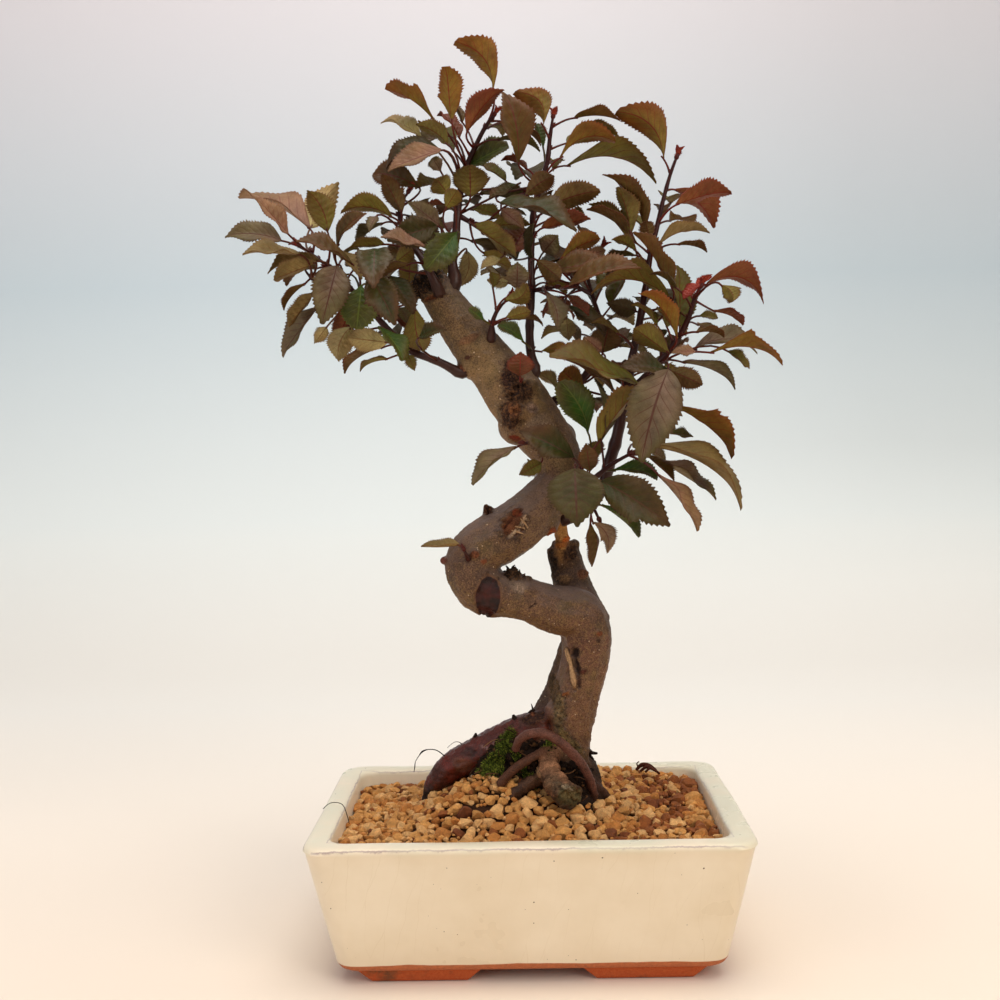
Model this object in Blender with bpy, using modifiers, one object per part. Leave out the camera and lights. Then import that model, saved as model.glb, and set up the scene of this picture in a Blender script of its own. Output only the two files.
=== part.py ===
"""An apple bonsai with wine-tinted leaves, in a shallow cream glazed pot.

The pieces are the pot, two drainage screens, the soil with its gravel top, the
wood of the tree (roots, twisted trunk and old cut stubs) and its leafy shoots.
Sizes are written in millimetres in the frame of the pot: x to the right, y to
the back, z up from the floor. At the end all of it is moved so that the origin
is the middle of the whole object's footprint.
"""
import math
import random
from collections import namedtuple

import bmesh
import bpy
from mathutils import Matrix, Vector
from mathutils.bvhtree import BVHTree

MM = 0.001
GAP = 0.35                     # air between pieces that touch on the real tree

# Pot
POT_WIDTH = 170.0
POT_DEPTH = 120.0
POT_HEIGHT = 55.4
LIP = 9.6                      # wall thickness at the mouth
GLAZE_FOOT = 7.7               # height of the lower edge of the glaze
OUTER_TAPER = 0.214            # how far a wall leans in for each mm down
INNER_TAPER = 0.12
CORNER = 7.4                   # outer corner radius
INNER_CORNER = 8.2
LIP_ROUND = 2.0
POT_FLOOR = 13.0               # top of the pot's floor
FOOT_HEIGHT = 5.0
FOOT_LENGTH = 50.2             # along the front and the back, under the base
FOOT_SIDE_LENGTH = 34.0
FOOT_THICKNESS = 11.0
FOOT_SLANT = 6.8               # how far a foot's ends and outer side lean in
FOOT_FACE_SLANT = 1.5          # the same of its front
FOOT_INSET = 1.0
FOOT_END_INSET = 3.6
SUNK = 1.0                     # how far joined forms run into each other
BASE_INSET = 2.0               # the bare clay base stands back under the glaze
DRAIN_RADIUS = 8.0
DRAIN_X = 36.0

# Drainage screens
SCREEN_SIDE = 24.0
SCREEN_CELLS = 5
SCREEN_THICKNESS = 0.9

# Soil and its gravel top
SOIL_EDGE = 49.5               # level at the pot wall
MOUND_HEIGHT = 20.0            # of the highest place where the mounds meet
# The gravel is heaped up to the trunk, against the roots and at the back: x, y, rise, spread
MOUNDS = [
    (14.0, 2.0, 9.0, 21.0), (-6.0, -8.0, 7.0, 12.0), (-24.0, -4.0, 12.5, 15.0),
    (40.0, 36.0, 4.5, 24.0), (5.0, 42.0, 3.5, 20.0),
]
GRAIN_PITCH = 8.0
GRAIN_RISE = 3.0
LEAST_GRAIN = 0.3              # share of the rise that the lowest grain has
GRAVEL_SEED = 4
JITTER = 0.22                  # how far a grain's corners stray, in pitches

PIT_ABOVE = 26.0               # how far the roots' pit is cut above the mound

# Wood
WOOD_STEP = 3.0
VOXEL = 1.15
WOOD_TRIANGLES = 2050

# Stems and leaves
STEM_STEP = 13.0
BLADE_THICKNESS = 0.8
PETIOLE_HALF = 0.5
STEM_GAP = 0.5                 # a stem's foot stands this far off the bark
STEM_HEEL = 2.5
FOOT_POINTS = 2                # points of a shoot's path that are its foot, where no stalk springs
STALK_SLOPE = 0.35             # how far down the stem a stalk springs to its reach
STALK_LENGTHS = (7.0, 12.0)
SHARP_TURN = math.radians(60)  # a stalk that turns more than this is drawn round a bend
STALK_BEND = 1.3
BEND_UPWARD = 0.1              # sets which way a stalk that turns right back goes round
BASE_SHARES = (0.25, 0.8)      # how far a blade's base moves for its tip when it is moved aside
BACKWARD = 0.35                # a rule-made leaf points at least this much to the back
STALK_RISE = 0.55
SIZE_SPREAD = (0.78, 1.12)
DROOP = (-0.75, 0.05)
TILT = 0.5
SHARP_EDGE = math.radians(45)
LARGE_LEAF = 27.0              # blades longer than this have the fuller outline
LEAF_RATIO = 0.5               # width to length of an open blade
LEAF_HEART = 0.42              # where along the rib a blade is cut up from
# One side of a toothed blade: place along the rib, half width
LARGE_SIDE = [(0.14, 0.68), (0.40, 1.02), (0.45, 0.90), (0.68, 0.80), (0.72, 0.62)]
SMALL_SIDE = [(0.20, 0.82), (0.52, 1.0), (0.57, 0.82)]
ARCH = 0.09                    # rise of a blade's middle to its length
FOLD = 0.16                    # how far the two halves fold up from the rib
GUARD = 0.8                    # room kept between the leaves of two shoots
TWIST_STEP = math.radians(137.5)
SPIRAL_START = 0.3             # the bare lower stretch of a stem
SPIRAL_STEP = 4.0

# The eye from which the leaves and limbs were laid out, and the upright plane
# through the pot's middle on which their places (u, v) are given
EYE = Vector((-0.7, -500.0, 202.0))

Shoot = namedtuple("Shoot", "name stems leaves")
# Blade base (u0, v0, depth y0), tip (u1, v1, depth y1), the width as seen, 1 where
# the upper face is turned to the eye or -1 where the underside is, and how far the
# rib bows to the right of the way from base to tip
Leaf = namedtuple("Leaf", "u0 v0 y0 u1 v1 y1 seen face bow")

# Each stem is a row of knots (u, v, depth, radius)
SHOOTS = [
    Shoot(
        "left_shoot",
        stems=[
            [(-22, 233.5, -5, 1.8), (-32.5, 237, -7, 1.6), (-44.5, 242, -9, 1.5),
             (-50.5, 248, -10, 1.4), (-57.5, 255.5, -11, 1.4), (-64.5, 264, -12, 1.2),
             (-70.5, 270, -12, 1.2), (-77.5, 277, -12, 1.0), (-83.5, 282, -12, 1.0),
             (-88.5, 285.5, -12, 0.8)],
            [(-57.5, 255.5, -11, 1.2), (-53, 262, -15, 1.0), (-55.5, 268, -19, 1.0),
             (-58.5, 272.5, -21, 0.8), (-57.5, 278.5, -22, 0.8)],
            [(-70.5, 270, -12, 0.8), (-77.5, 270.5, -14, 0.8), (-84, 272, -16, 0.8),
             (-87.5, 277.5, -16, 0.7)],
            [(-64.5, 264, -12, 1.0), (-68, 258.5, -10, 0.8), (-69.5, 253.5, -10, 0.8)],
        ],
        leaves=[
            Leaf(-96, 288, -12, -119, 290.5, -18, 8, 1, 1.5),
            Leaf(-84, 292.5, -8, -112.5, 306, 6, 6, 1, 3),
            Leaf(-91, 288.5, -14, -103.5, 303, -22, 5.5, 1, 0),
            Leaf(-86, 295, -2, -74.5, 313.5, 8, 12.5, -1, -1.5),
            Leaf(-77, 291, -14, -85, 308, -20, 10.5, -1, 2),
            Leaf(-73.5, 285, -12, -61, 298, -20, 5, 1, -2),
            Leaf(-87.5, 285.5, -20, -110, 288, -28, 3.5, 1, 0),
            Leaf(-80.5, 279.5, -16, -102.5, 276, -24, 5, -1, 1.5),
            Leaf(-82, 279, -20, -99.5, 272.5, -32, 6.5, -1, 0),
            Leaf(-67.5, 278, -18, -88.5, 287.5, -24, 4.5, 1, 1),
            Leaf(-74.5, 283, -14, -63.5, 272, -20, 5, 1, -1),
            Leaf(-71.5, 275.5, -14.5, -84.5, 271.5, -25, 4.5, 1, 1),
            Leaf(-73, 276.5, -22, -79.5, 253.5, -30, 14, 1, 0),
            Leaf(-83.5, 266.5, -14, -94.5, 253, -18, 5, -1, 0),
            Leaf(-82.5, 260.5, -10, -97.5, 241, -4, 6.5, 1, 0),
            Leaf(-64, 269.5, -24, -67, 252, -32, 14, 1, 0),
            Leaf(-71.5, 262, -10, -75.5, 248.5, -16, 8.5, -1, -2.5),
            Leaf(-59, 271.5, -25, -49, 251.5, -31.5, 11.5, 1, -0.5),
            Leaf(-52, 272.5, -18, -42.5, 257.5, -22, 7.5, 1, 0),
            Leaf(-67.5, 251.5, -12, -72.5, 237.5, -10, 10.5, -1, 2),
            Leaf(-79, 253, 2, -84.5, 246.5, 6, 5, -1, 0),
            Leaf(-53.5, 245.5, -14, -69.5, 247.5, -20, 9, -1, 0),
            Leaf(-57, 251.5, -16, -47, 238.5, -24, 6, 1, -1),
            Leaf(-42, 259.5, -12, -39, 241.5, -16, 10.5, -1, 1.5),
            Leaf(-57.5, 283, -25, -57, 266, -34, 12.5, 1, 0),
            Leaf(-45.5, 240.5, -10, -43, 234, -12, 4, 1, 0),
            Leaf(-39.5, 246.5, -14, -29, 249, -20, 5, 1, -0.5),
        ],
    ),
    Shoot(
        "crown_left_shoot",
        stems=[
            [(-32, 265.5, -12, 1.8), (-35.5, 273, -13, 1.7), (-39.5, 280.5, -10, 1.6),
             (-44, 287, -4, 1.4), (-47, 293, -2, 1.2), (-47.5, 300, 0, 1.0), (-44, 306, 3, 0.9)],
        ],
        leaves=[
            Leaf(-39, 308, 4, -58.5, 314, 10, 10.5, 1, 1.5),
            Leaf(-46.5, 298, -4, -54, 313.5, -6, 8, -1, 0),
            Leaf(-50.5, 296.5, -6, -71.5, 299, -12, 7, -1, 3),
            Leaf(-32.5, 292.5, -16, -52.5, 287, -26, 11.5, 1, 0),
            Leaf(-32.5, 295, -12, -45, 305.5, -20, 7, 1, 0),
            Leaf(-54, 285.5, -4, -68, 285, -8, 4, -1, 0),
            Leaf(-56.5, 295, -10, -59, 289, -14, 3.5, 1, 0),
            Leaf(-49, 277.5, -6, -42, 282.5, -10, 6.5, -1, 0),
            Leaf(-36.5, 282, -14, -53.5, 286, -20, 4, 1, 0),
        ],
    ),
    Shoot(
        "crown_shoot",
        stems=[
            [(-27.5, 267, -4, 2.3), (-26.5, 277.5, -3, 2.0), (-25, 287, -1, 1.9),
             (-24, 296.5, 1, 1.8), (-22.5, 306.5, 3, 1.7), (-20, 315.5, 4, 1.6),
             (-16.5, 323, 4, 1.6), (-12.5, 330.5, 2, 1.5), (-8.5, 336, 0, 1.4)],
            [(-24, 296.5, 1, 1.2), (-19, 293.5, 2, 1.0), (-14, 289.5, 1, 0.8)],
        ],
        leaves=[
            Leaf(-24, 289, -12, -36.5, 274.5, -22, 11.5, 1, 0),
            Leaf(-27.5, 305, -6, -32.5, 311.5, -10, 9, -1, 0),
            Leaf(-28, 297, -8, -23, 303.5, -12, 6.5, -1, 0),
            Leaf(-20.5, 282, 6, -24.5, 267.5, 10, 8, -1, -2.5),
            Leaf(-18.5, 303.5, -4, -18.5, 316.5, -10, 14, -1, 0),
            Leaf(-8.5, 346, 0, -23, 366, 2, 10.5, -1, 5),
            Leaf(-32.5, 335, 0, -52, 348, 4, 5, -1, 2),
            Leaf(-25, 331.5, -2, -26.5, 353, -6, 9.5, -1, 0),
            Leaf(-19.5, 329.5, -4, -4.5, 345.5, -8, 8, -1, -1.5),
            Leaf(-38, 328, 6, -54, 335.5, 12, 5, 1, 1.5),
            Leaf(-27, 324, 0, -39.5, 332, 4, 6.5, -1, 1.5),
            Leaf(-30, 323, -8, -52, 315.5, -14, 7, 1, 0),
            Leaf(-23, 317.5, -4, -3, 328, -12, 8, 1, 0),
            Leaf(-28, 328.5, 10, -44, 324.5, 14, 4, 1, 0.5),
            Leaf(-30.5, 323, -2, -52.5, 316, 0, 5, 1, 4.5),
            Leaf(-30.5, 314.5, -6, -34, 321, -8, 5, 1, 0),
            Leaf(-4, 310, 12, -14, 317, 18, 3.5, 1, 0),
            Leaf(0.5, 308.5, -6, -11, 304, -12, 4, 1, 0),
            Leaf(-17.5, 292.5, -8, 0, 279.5, -16, 7.5, -1, 0),
            Leaf(-14.5, 282, -4, -2.5, 275, -8, 5.5, -1, 0),
            Leaf(-7, 278.5, -10, -15, 275, -14, 3.5, 1, 0),
            Leaf(-18.5, 301, -4, -6.5, 297.5, -8, 5, 1, -1),
        ],
    ),
    Shoot(
        "tall_shoot",
        stems=[
            [(3, 228.5, -2, 1.8), (4.5, 241, 1, 1.8), (4.5, 253.5, 4, 1.8), (5.5, 265.5, 6, 1.7),
             (5.5, 275.5, 7, 1.6), (6, 286.5, 8, 1.6), (7, 297.5, 7, 1.6), (10, 307.5, 6, 1.6),
             (13, 317.5, 5, 1.6), (14, 325.5, 5, 1.5), (15.5, 334.5, 4, 1.0)],
            [(5.5, 265.5, 6, 1.0), (10, 265.5, 2, 1.0), (15.5, 266.5, -2, 0.8)],
            [(10, 307.5, 6, 1.0), (5, 305, 3, 0.8), (1, 303, 1, 0.7)],
        ],
        leaves=[
            Leaf(1, 317, -10, -4, 345.5, -16, 12, 1, 2),
            Leaf(11.5, 331.5, 2, 1, 345, 6, 10.5, -1, 5),
            Leaf(18, 318.5, 4, 40, 325.5, 8, 7.5, -1, -4.5),
            Leaf(21.5, 318, 6, 58.5, 311, 14, 6, -1, -7),
            Leaf(11.5, 320, 12, 9, 329.5, 14, 4, 1, 0),
            Leaf(3.5, 306, 0, 15.5, 314.5, -4, 8.5, -1, -1),
            Leaf(13, 299, 4, 34, 305, 2, 10.5, -1, -1),
            Leaf(-6.5, 301, -12, 24.5, 290, -18, 6.5, 1, -1.5),
            Leaf(-6, 299, -6, 3, 291.5, -10, 5.5, 1, 0),
            Leaf(10, 290.5, 2, 30, 294, -2, 6, -1, 0),
            Leaf(-9.5, 291.5, 8, 5.5, 291.5, 10, 6.5, -1, 0),
            Leaf(10.5, 280.5, 6, 16.5, 286.5, 4, 9, 1, 0),
            Leaf(7.5, 276, 2, 17, 267.5, -2, 7.5, -1, 0),
            Leaf(-0.5, 266, -14, 0, 277, -18, 9, 1, 0),
            Leaf(-3.5, 268.5, 4, -12.5, 270, 6, 5, -1, 0),
            Leaf(11.5, 264, -12, 16, 250, -20, 7, 1, -1.5),
            Leaf(20, 263.5, -6, 29, 255.5, -12, 4, 1, 0),
            Leaf(19.5, 254.5, 2, 20.5, 245, 4, 7, -1, 0),
            Leaf(0, 230.5, -13, 0.5, 240, -15, 10, 1, 0),
            Leaf(2, 242, -10, -8.5, 248.5, -14, 5, 1, 1),
            Leaf(8.5, 240.5, 2, 20, 238.5, -4, 6.5, -1, -2),
        ],
    ),
    Shoot(
        "crotch_spur",
        stems=[
            [(-12.5, 245, -7, 1.5), (-11, 251.5, -12, 1.2), (-9, 257, -14, 1.0),
             (-5, 261.5, -15, 0.8)],
        ],
        leaves=[
            Leaf(-6, 262, -20, 4, 268.5, -26, 6.5, -1, 3),
            Leaf(-5.5, 254, -18, 5, 256.5, -22, 5, -1, 0),
            Leaf(-14, 254, -18, -20.5, 259, -22, 3.5, 1, 0),
        ],
    ),
    Shoot(
        "centre_shoot",
        stems=[
            [(13.5, 220, 12, 1.8), (22.5, 225.5, 15, 1.6), (28.5, 233.5, 17, 1.6),
             (32, 242.5, 18, 1.4), (33, 252.5, 18, 1.4), (30, 263, 16, 1.2), (28.5, 273, 14, 1.1),
             (33.5, 281, 14, 0.8)],
            [(30, 263, 16, 1.0), (24.5, 266.5, 8, 0.8), (21, 271.5, 2, 0.8)],
        ],
        leaves=[
            Leaf(45, 285.5, 12, 30, 300, 16, 5, -1, 1.5),
            Leaf(17.5, 278, 0, 33.5, 286, -4, 7, -1, -1),
            Leaf(27.5, 278.5, 10, 36, 281, 12, 5, 1, 0),
            Leaf(13, 273.5, -6, 37.5, 277, -14, 8, 1, 0),
            Leaf(20.5, 266, -10, 48.5, 273.5, -20, 7, 1, -1),
            Leaf(19.5, 260, -10, 36.5, 248.5, -18, 6, 1, -1),
            Leaf(34, 239.5, 2, 36.5, 250, 0, 12.5, -1, 0),
            Leaf(33.5, 240, -2, 26.5, 246, -4, 5, 1, 0),
            Leaf(38.5, 223.5, -8, 19, 237, -16, 5, 1, 1.5),
            Leaf(26.5, 223.5, -2, 17.5, 232.5, -6, 10, -1, 0),
            Leaf(15.5, 224.5, 8, 6.5, 231.5, 12, 4.5, -1, 1.5),
        ],
    ),
    Shoot(
        "right_shoot",
        stems=[
            [(21.5, 172.5, 0.5, 2.5), (27.5, 177, 0, 2.6), (33, 185, -3, 2.5), (36, 195, -5, 2.5),
             (39, 204.5, -6, 2.5), (42, 218, -6, 2.3), (45, 232, -6, 2.0), (47.5, 244.5, -5, 1.8),
             (50, 255.5, -3, 1.8), (52, 266.5, -1, 1.7), (54, 278.5, 0, 1.6), (57, 290.5, 1, 1.5),
             (59.5, 300.5, 2, 1.4), (62.5, 310.5, 3, 1.3), (65, 317, 3, 1.0)],
        ],
        leaves=[
            Leaf(60, 317, 4, 42, 336.5, 8, 12.5, -1, 5.5),
            Leaf(64.5, 298.5, -2, 87, 303.5, -6, 7.5, -1, -1),
            Leaf(52, 290, 0, 36, 312, -4, 6, -1, 3),
            Leaf(45.5, 286, 4, 40.5, 304, 6, 7.5, -1, 1),
            Leaf(57.5, 283, 2, 78, 287, 6, 3.5, -1, -3),
            Leaf(53, 283.5, -6, 51, 290.5, -8, 5.5, -1, 0),
            Leaf(61.5, 263, -8, 46, 285.5, -10, 5, -1, 1),
            Leaf(61.5, 262, -14, 30.5, 266.5, -22, 7.5, -1, 5.5),
            Leaf(48.5, 226, -22, 13, 240, -32, 7.5, 1, 0),
            Leaf(48, 280.5, -4, 38.5, 285.5, -8, 4, -1, 1),
            Leaf(48, 256, 4, 36, 259.5, 8, 7.5, -1, 0),
        ],
    ),
    Shoot(
        "outer_right_shoot",
        stems=[
            [(46, 223, -11, 1.6), (51, 229, -16, 1.6), (55.5, 233.5, -20, 1.6),
             (60.5, 239, -22, 1.6), (65, 245, -23, 1.6), (69, 252.5, -24, 1.6),
             (71.5, 260, -25, 1.4), (74, 265, -25, 1.2)],
        ],
        leaves=[
            Leaf(76.5, 266.5, -24, 100, 259, -28, 7.5, -1, -6),
            Leaf(80.5, 264, -26, 84.5, 257, -28, 6, -1, -1.5),
            Leaf(65.5, 249.5, -10, 65.5, 274.5, -6, 8, 1, 0),
            Leaf(64.5, 244.5, -26, 50, 263.5, -34, 6, -1, 2.5),
            Leaf(60.5, 238.5, -22, 46, 249, -30, 9, -1, 0),
            Leaf(72, 240.5, -26, 99, 240, -30, 6.5, 1, -4),
            Leaf(77.5, 238.5, -30, 106, 234, -34, 3, -1, -4),
            Leaf(85, 239, -18, 94, 232, -14, 3.5, 1, 0),
            Leaf(73.5, 253.5, -22, 81, 252.5, -22, 3, 1, -0.5),
            Leaf(71.5, 239, -32, 62, 239, -34, 3.5, 1, 0),
            Leaf(73.5, 266.5, -28, 67, 260.5, -32, 3.5, 1, 0),
            Leaf(74, 267, -24, 81, 271.5, -22, 2.5, 1, 0),
            Leaf(60.5, 232, -28, 74.5, 225.5, -32, 8, -1, 0),
            Leaf(60.5, 232, -32, 41.5, 234.5, -38, 7.5, 1, 0),
            Leaf(60.5, 232, -36, 49, 195, -44, 20, 1, 1),
            Leaf(62, 217.5, -20, 87, 196.5, -26, 6, -1, -2.5),
            Leaf(60, 206.5, -16, 71, 204.5, -16, 3, 1, 0),
        ],
    ),
    Shoot(
        "low_right_shoot",
        stems=[
            [(19, 177.5, -12, 1.6), (23.5, 183, -20, 1.6), (30.5, 189, -25, 1.4),
             (37, 194, -27, 1.2), (43.5, 197.5, -27, 1.0), (50, 200.5, -27, 0.8)],
            [(23.5, 183, -20, 1.2), (28.5, 177, -24, 1.0), (31, 172, -26, 0.8)],
            [(23.5, 183, -20, 1.2), (24.5, 192, -24, 1.0), (26.5, 199, -22, 0.8)],
        ],
        leaves=[
            Leaf(27.5, 207, -12, 16.5, 228, -18, 13, 1, 2),
            Leaf(31.5, 204, -28, 51.5, 229, -34, 7, -1, -2),
            Leaf(53.5, 201, -30, 91, 176.5, -36, 4.5, 1, -5),
            Leaf(58, 195, -24, 81, 179.5, -28, 4, 1, 0),
            Leaf(51.5, 197.5, -26, 62.5, 187, -30, 3, 1, 0),
            Leaf(55, 189.5, -30, 70.5, 167, -36, 4, 1, -1),
            Leaf(32.5, 187, -34, 60, 168.5, -44, 15.5, 1, -1),
            Leaf(52.5, 200.5, -20, 61, 195, -22, 4, 1, 0),
            Leaf(27.5, 195.5, -24, 26, 208, -26, 7.5, 1, 0),
            Leaf(21.5, 197, -22, 0, 208.5, -28, 11.5, 1, 0.5),
            Leaf(21.5, 192.5, -36, 22, 169.5, -44, 23, 1, 0),
            Leaf(28.5, 170.5, -30, 34.5, 157.5, -32, 6, -1, -3),
            Leaf(28, 169, -26, 28, 151, -28, 4.5, -1, -2.5),
            Leaf(33, 173, -28, 48.5, 158, -34, 3.5, 1, -1),
            Leaf(37, 191.5, -16, 55.5, 188.5, -20, 5.5, 1, -1.5),
        ],
    ),
    Shoot(
        "trunk_spur",
        stems=[
            [(8, 203, -13, 1.2), (5, 203.5, -16, 1.0), (1, 203.5, -17, 0.8)],
        ],
        leaves=[
            Leaf(-2, 202, -16, -20.5, 187, -24, 5.5, 1, 1),
            Leaf(8, 195, -14, -1, 190.5, -18, 6, 1, 0),
        ],
    ),
    Shoot(
        "limb_leaf",
        stems=[
            [(-23, 156, -24, 1.0), (-24.5, 160, -27, 0.8)],
        ],
        leaves=[
            Leaf(-26.5, 162.5, -27, -42, 162, -22, 2.5, 1, -0.5),
        ],
    ),
]

# Hidden shoots' leaves follow the spiral: shoot name, stem number, leaves, their
# length and the turn at which the spiral starts
SPIRALS = [
    ("left_shoot", 0, 3, 23, 0.4),
    ("crown_left_shoot", 0, 2, 24, 1.9),
    ("crown_shoot", 0, 4, 25, 0.9),
    ("tall_shoot", 0, 4, 27, 2.6),
    ("centre_shoot", 0, 3, 27, 0.2),
    ("right_shoot", 0, 4, 28, 1.4),
    ("outer_right_shoot", 0, 2, 25, 3.0),
    ("low_right_shoot", 0, 1, 26, 0.0),
]

# The shoot that springs from another shoot's stem
BEARERS = {"outer_right_shoot": "right_shoot"}

# Trunk and roots: knots (u, v, depth, radius)
TRUNK = [
    (16, 55, 2, 11.5), (16, 64.5, 1, 10), (17, 79.5, 1, 9), (20, 97, 2, 10),
    (24.5, 113.5, 3, 10.2), (25, 125, 2, 10.8), (21.5, 132.8, 0, 10.8), (11.5, 134.8, -4, 10.2),
    (2.5, 138.6, -7, 8.9), (-6.5, 140.8, -9, 9), (-15.5, 142.8, -11, 10.2), (-22, 150.5, -12, 10.5),
    (-20, 159, -11, 10.5), (-10.5, 164.5, -9, 11.4), (-0.5, 170.8, -6, 11), (7.5, 178.5, -3, 9.8),
    (15.5, 188, 0, 9.5), (13.5, 200, 1, 10.5), (6, 210.5, 1, 12), (-2.3, 223, 0, 12.5),
    (-11.5, 235.5, -1, 10.5), (-20, 246.5, -2, 10), (-28, 258, -3, 8.5), (-35, 269, -4, 7),
]
LIMBS = {
    "old stump": [(27, 127, 6, 9.5), (22, 138.5, 11, 8.6), (18.6, 149, 13, 7.6), (15.8, 160.8, 14, 6.8)],
    "torn strip": [(15.8, 157, 10, 3.2), (15.8, 166.5, 5, 2.8), (15.3, 176.5, 1, 2.6)],
    "rear ridge": [(20, 122, 8, 5.5), (15, 111.5, 9, 4), (10, 99.5, 7, 3.5), (4, 88, 5, 4.5)],
    "left root": [
        (7.5, 86, 2, 7.2), (-2, 84.2, 2, 7), (-11, 80.5, 3, 6.9), (-19, 76.3, 4, 6.9),
        (-26.5, 72.4, 4, 6.9), (-33, 68.4, 5, 6.3), (-38, 63.6, 5, 4.6), (-41, 57, 6, 3.2),
        (-42, 50, 6, 2.6)],
    "arch root": [
        (-5, 76.5, -12, 2.2), (-3.6, 80.4, -15, 2.3), (0.5, 83.2, -17, 2.4), (7, 83.4, -17, 2.5),
        (12.8, 80, -17, 2.5), (18.2, 75, -15, 2.5), (22.6, 69.8, -13, 2.4), (26, 62.5, -11, 2.2),
        (27.5, 56, -9, 2)],
    "small root": [
        (-12, 62, -13, 2.2), (-7, 67.4, -14, 2.1), (-2, 71.2, -14, 2), (3.4, 74.2, -13, 2),
        (10, 78, -8, 2)],
    "front stub": [
        (9, 78, -4, 4.6), (8.6, 68, -13, 4.6), (11.5, 62.2, -18, 5), (15.5, 57.8, -22, 5.6),
        (18.3, 55.4, -24.5, 6.2)],
    "right root": [(18, 68, -4, 4), (25, 62, -4, 2.8), (32, 56.5, 0, 2.2), (38, 49, 4, 1.8)],
    "low left root": [(8, 66, -8, 4), (-2.5, 61, -14, 2.6), (-10, 55, -16, 2.2)],
    "dark knob": [(20, 72, 2, 5), (25, 69, 2, 4), (27, 62, 2, 4)],
    "back root": [(16, 70, 8, 5), (22, 65, 18, 4), (31.2, 58, 29, 2.7), (37, 49, 36, 2)],
    "root ball": [(14, 70, 2, 9), (14, 62, 1, 15), (14, 50, 1, 20), (14, 38, 1, 18), (14, 27, 1, 9)],
}
# Burls and old cut stubs: (u, v, depth, radius)
BURLS = [
    (-21.5, 141.5, -12, 6), (1, 142.5, -12, 4.5), (-25.5, 156.5, -15, 4.4), (-32, 156, -12, 1.9),
    (-14.6, 176.5, -9, 2), (-2, 216, -9, 5), (3, 226, -7, 5), (17, 206, 4, 5.5),
    (30.5, 128, 1, 2), (9, 172, -4, 6.5), (25, 132, 4, 8), (12, 92, 0, 5),
    (-1.5, 210.5, -3, 8), (-18.5, 236.5, -3, 7),
]

FINISHES = {
    "pot": ("Cream glaze", (0.80, 0.74, 0.56), 0.3),
    "soil": ("Tan gravel", (0.52, 0.29, 0.12), 0.95),
    "drain_screen": ("Black plastic mesh", (0.03, 0.03, 0.03), 0.6),
    "tree": ("Apple bark", (0.11, 0.075, 0.05), 0.8),
    "leaf": ("Wine-tinted apple leaf", (0.13, 0.10, 0.035), 0.55),
}


def seen(u, v, depth):
    """The point at a depth that the eye sees at (u, v) on the upright plane."""
    reach = (depth - EYE.y) / -EYE.y
    return Vector((EYE.x + (u - EYE.x) * reach, depth, EYE.z + (v - EYE.z) * reach))


def finish_material(kind):
    """The material of a kind of piece."""
    name, colour, roughness = FINISHES[kind]
    material = bpy.data.materials.get(name)
    if material is None:
        material = bpy.data.materials.new(name)
        material.use_nodes = True
        shader = material.node_tree.nodes["Principled BSDF"]
        shader.inputs["Base Color"].default_value = (*colour, 1.0)
        shader.inputs["Roughness"].default_value = roughness
        shader.inputs["Metallic"].default_value = 0.0
        material.diffuse_color = (*colour, 1.0)
    return material


def new_collection(name):
    """A collection linked to the scene."""
    collection = bpy.data.collections.new(name)
    bpy.context.scene.collection.children.link(collection)
    return collection


def clear_scene():
    """Remove what a new file holds."""
    for obj in list(bpy.data.objects):
        bpy.data.objects.remove(obj, do_unlink=True)


def mesh_object(name, bm, collection, kind=None):
    """Turn a bmesh in millimetres into an object in metres."""
    bmesh.ops.scale(bm, vec=(MM, MM, MM), verts=bm.verts)
    mesh = bpy.data.meshes.new(name)
    bm.to_mesh(mesh)
    bm.free()
    obj = bpy.data.objects.new(name, mesh)
    collection.objects.link(obj)
    if kind:
        mesh.materials.append(finish_material(kind))
    return obj


def settle(obj):
    """Replace an object's mesh by what its modifiers make of it."""
    graph = bpy.context.evaluated_depsgraph_get()
    mesh = bpy.data.meshes.new_from_object(obj.evaluated_get(graph))
    old = obj.data
    mesh.name = old.name
    obj.modifiers.clear()
    obj.data = mesh
    bpy.data.meshes.remove(old)


def as_cutter(obj):
    """Mark an object as a cutter that is left out of the model."""
    obj.hide_render = True
    obj.display_type = "WIRE"
    return obj


def boolean(obj, other, operation, solver="EXACT"):
    """Join to, cut from or keep inside an object another one, and drop that one."""
    modifier = obj.modifiers.new(operation.title(), "BOOLEAN")
    modifier.operation = operation
    modifier.solver = solver
    modifier.object = other
    settle(obj)
    bpy.data.objects.remove(other, do_unlink=True)


def tapered_block(half_x, half_y, low, high, taper, corner, segments):
    """A bmesh block whose walls lean in downwards, with rounded upright edges."""
    bm = bmesh.new()
    bmesh.ops.create_cube(bm, size=2.0)
    for vert in bm.verts:
        top = vert.co.z > 0
        lean = 0.0 if top else taper * (high - low)
        vert.co.x = math.copysign(half_x - lean, vert.co.x)
        vert.co.y = math.copysign(half_y - lean, vert.co.y)
        vert.co.z = high if top else low
    upright = [edge for edge in bm.edges if edge.verts[0].co.z != edge.verts[1].co.z]
    bmesh.ops.bevel(bm, geom=upright, offset=corner, segments=segments, profile=0.5, affect="EDGES")
    return bm


def round_lip(pot):
    """Round the inner and outer edges of the pot's mouth."""
    bm = bmesh.new()
    bm.from_mesh(pot.data)
    top = (POT_HEIGHT - 0.01) * MM
    lip = [
        edge for edge in bm.edges
        if all(vert.co.z > top for vert in edge.verts) and edge.calc_face_angle(0.0) > 0.5]
    bmesh.ops.bevel(
        bm, geom=lip, offset=LIP_ROUND * MM, segments=2, profile=0.5, affect="EDGES")
    bm.to_mesh(pot.data)
    bm.free()


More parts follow.
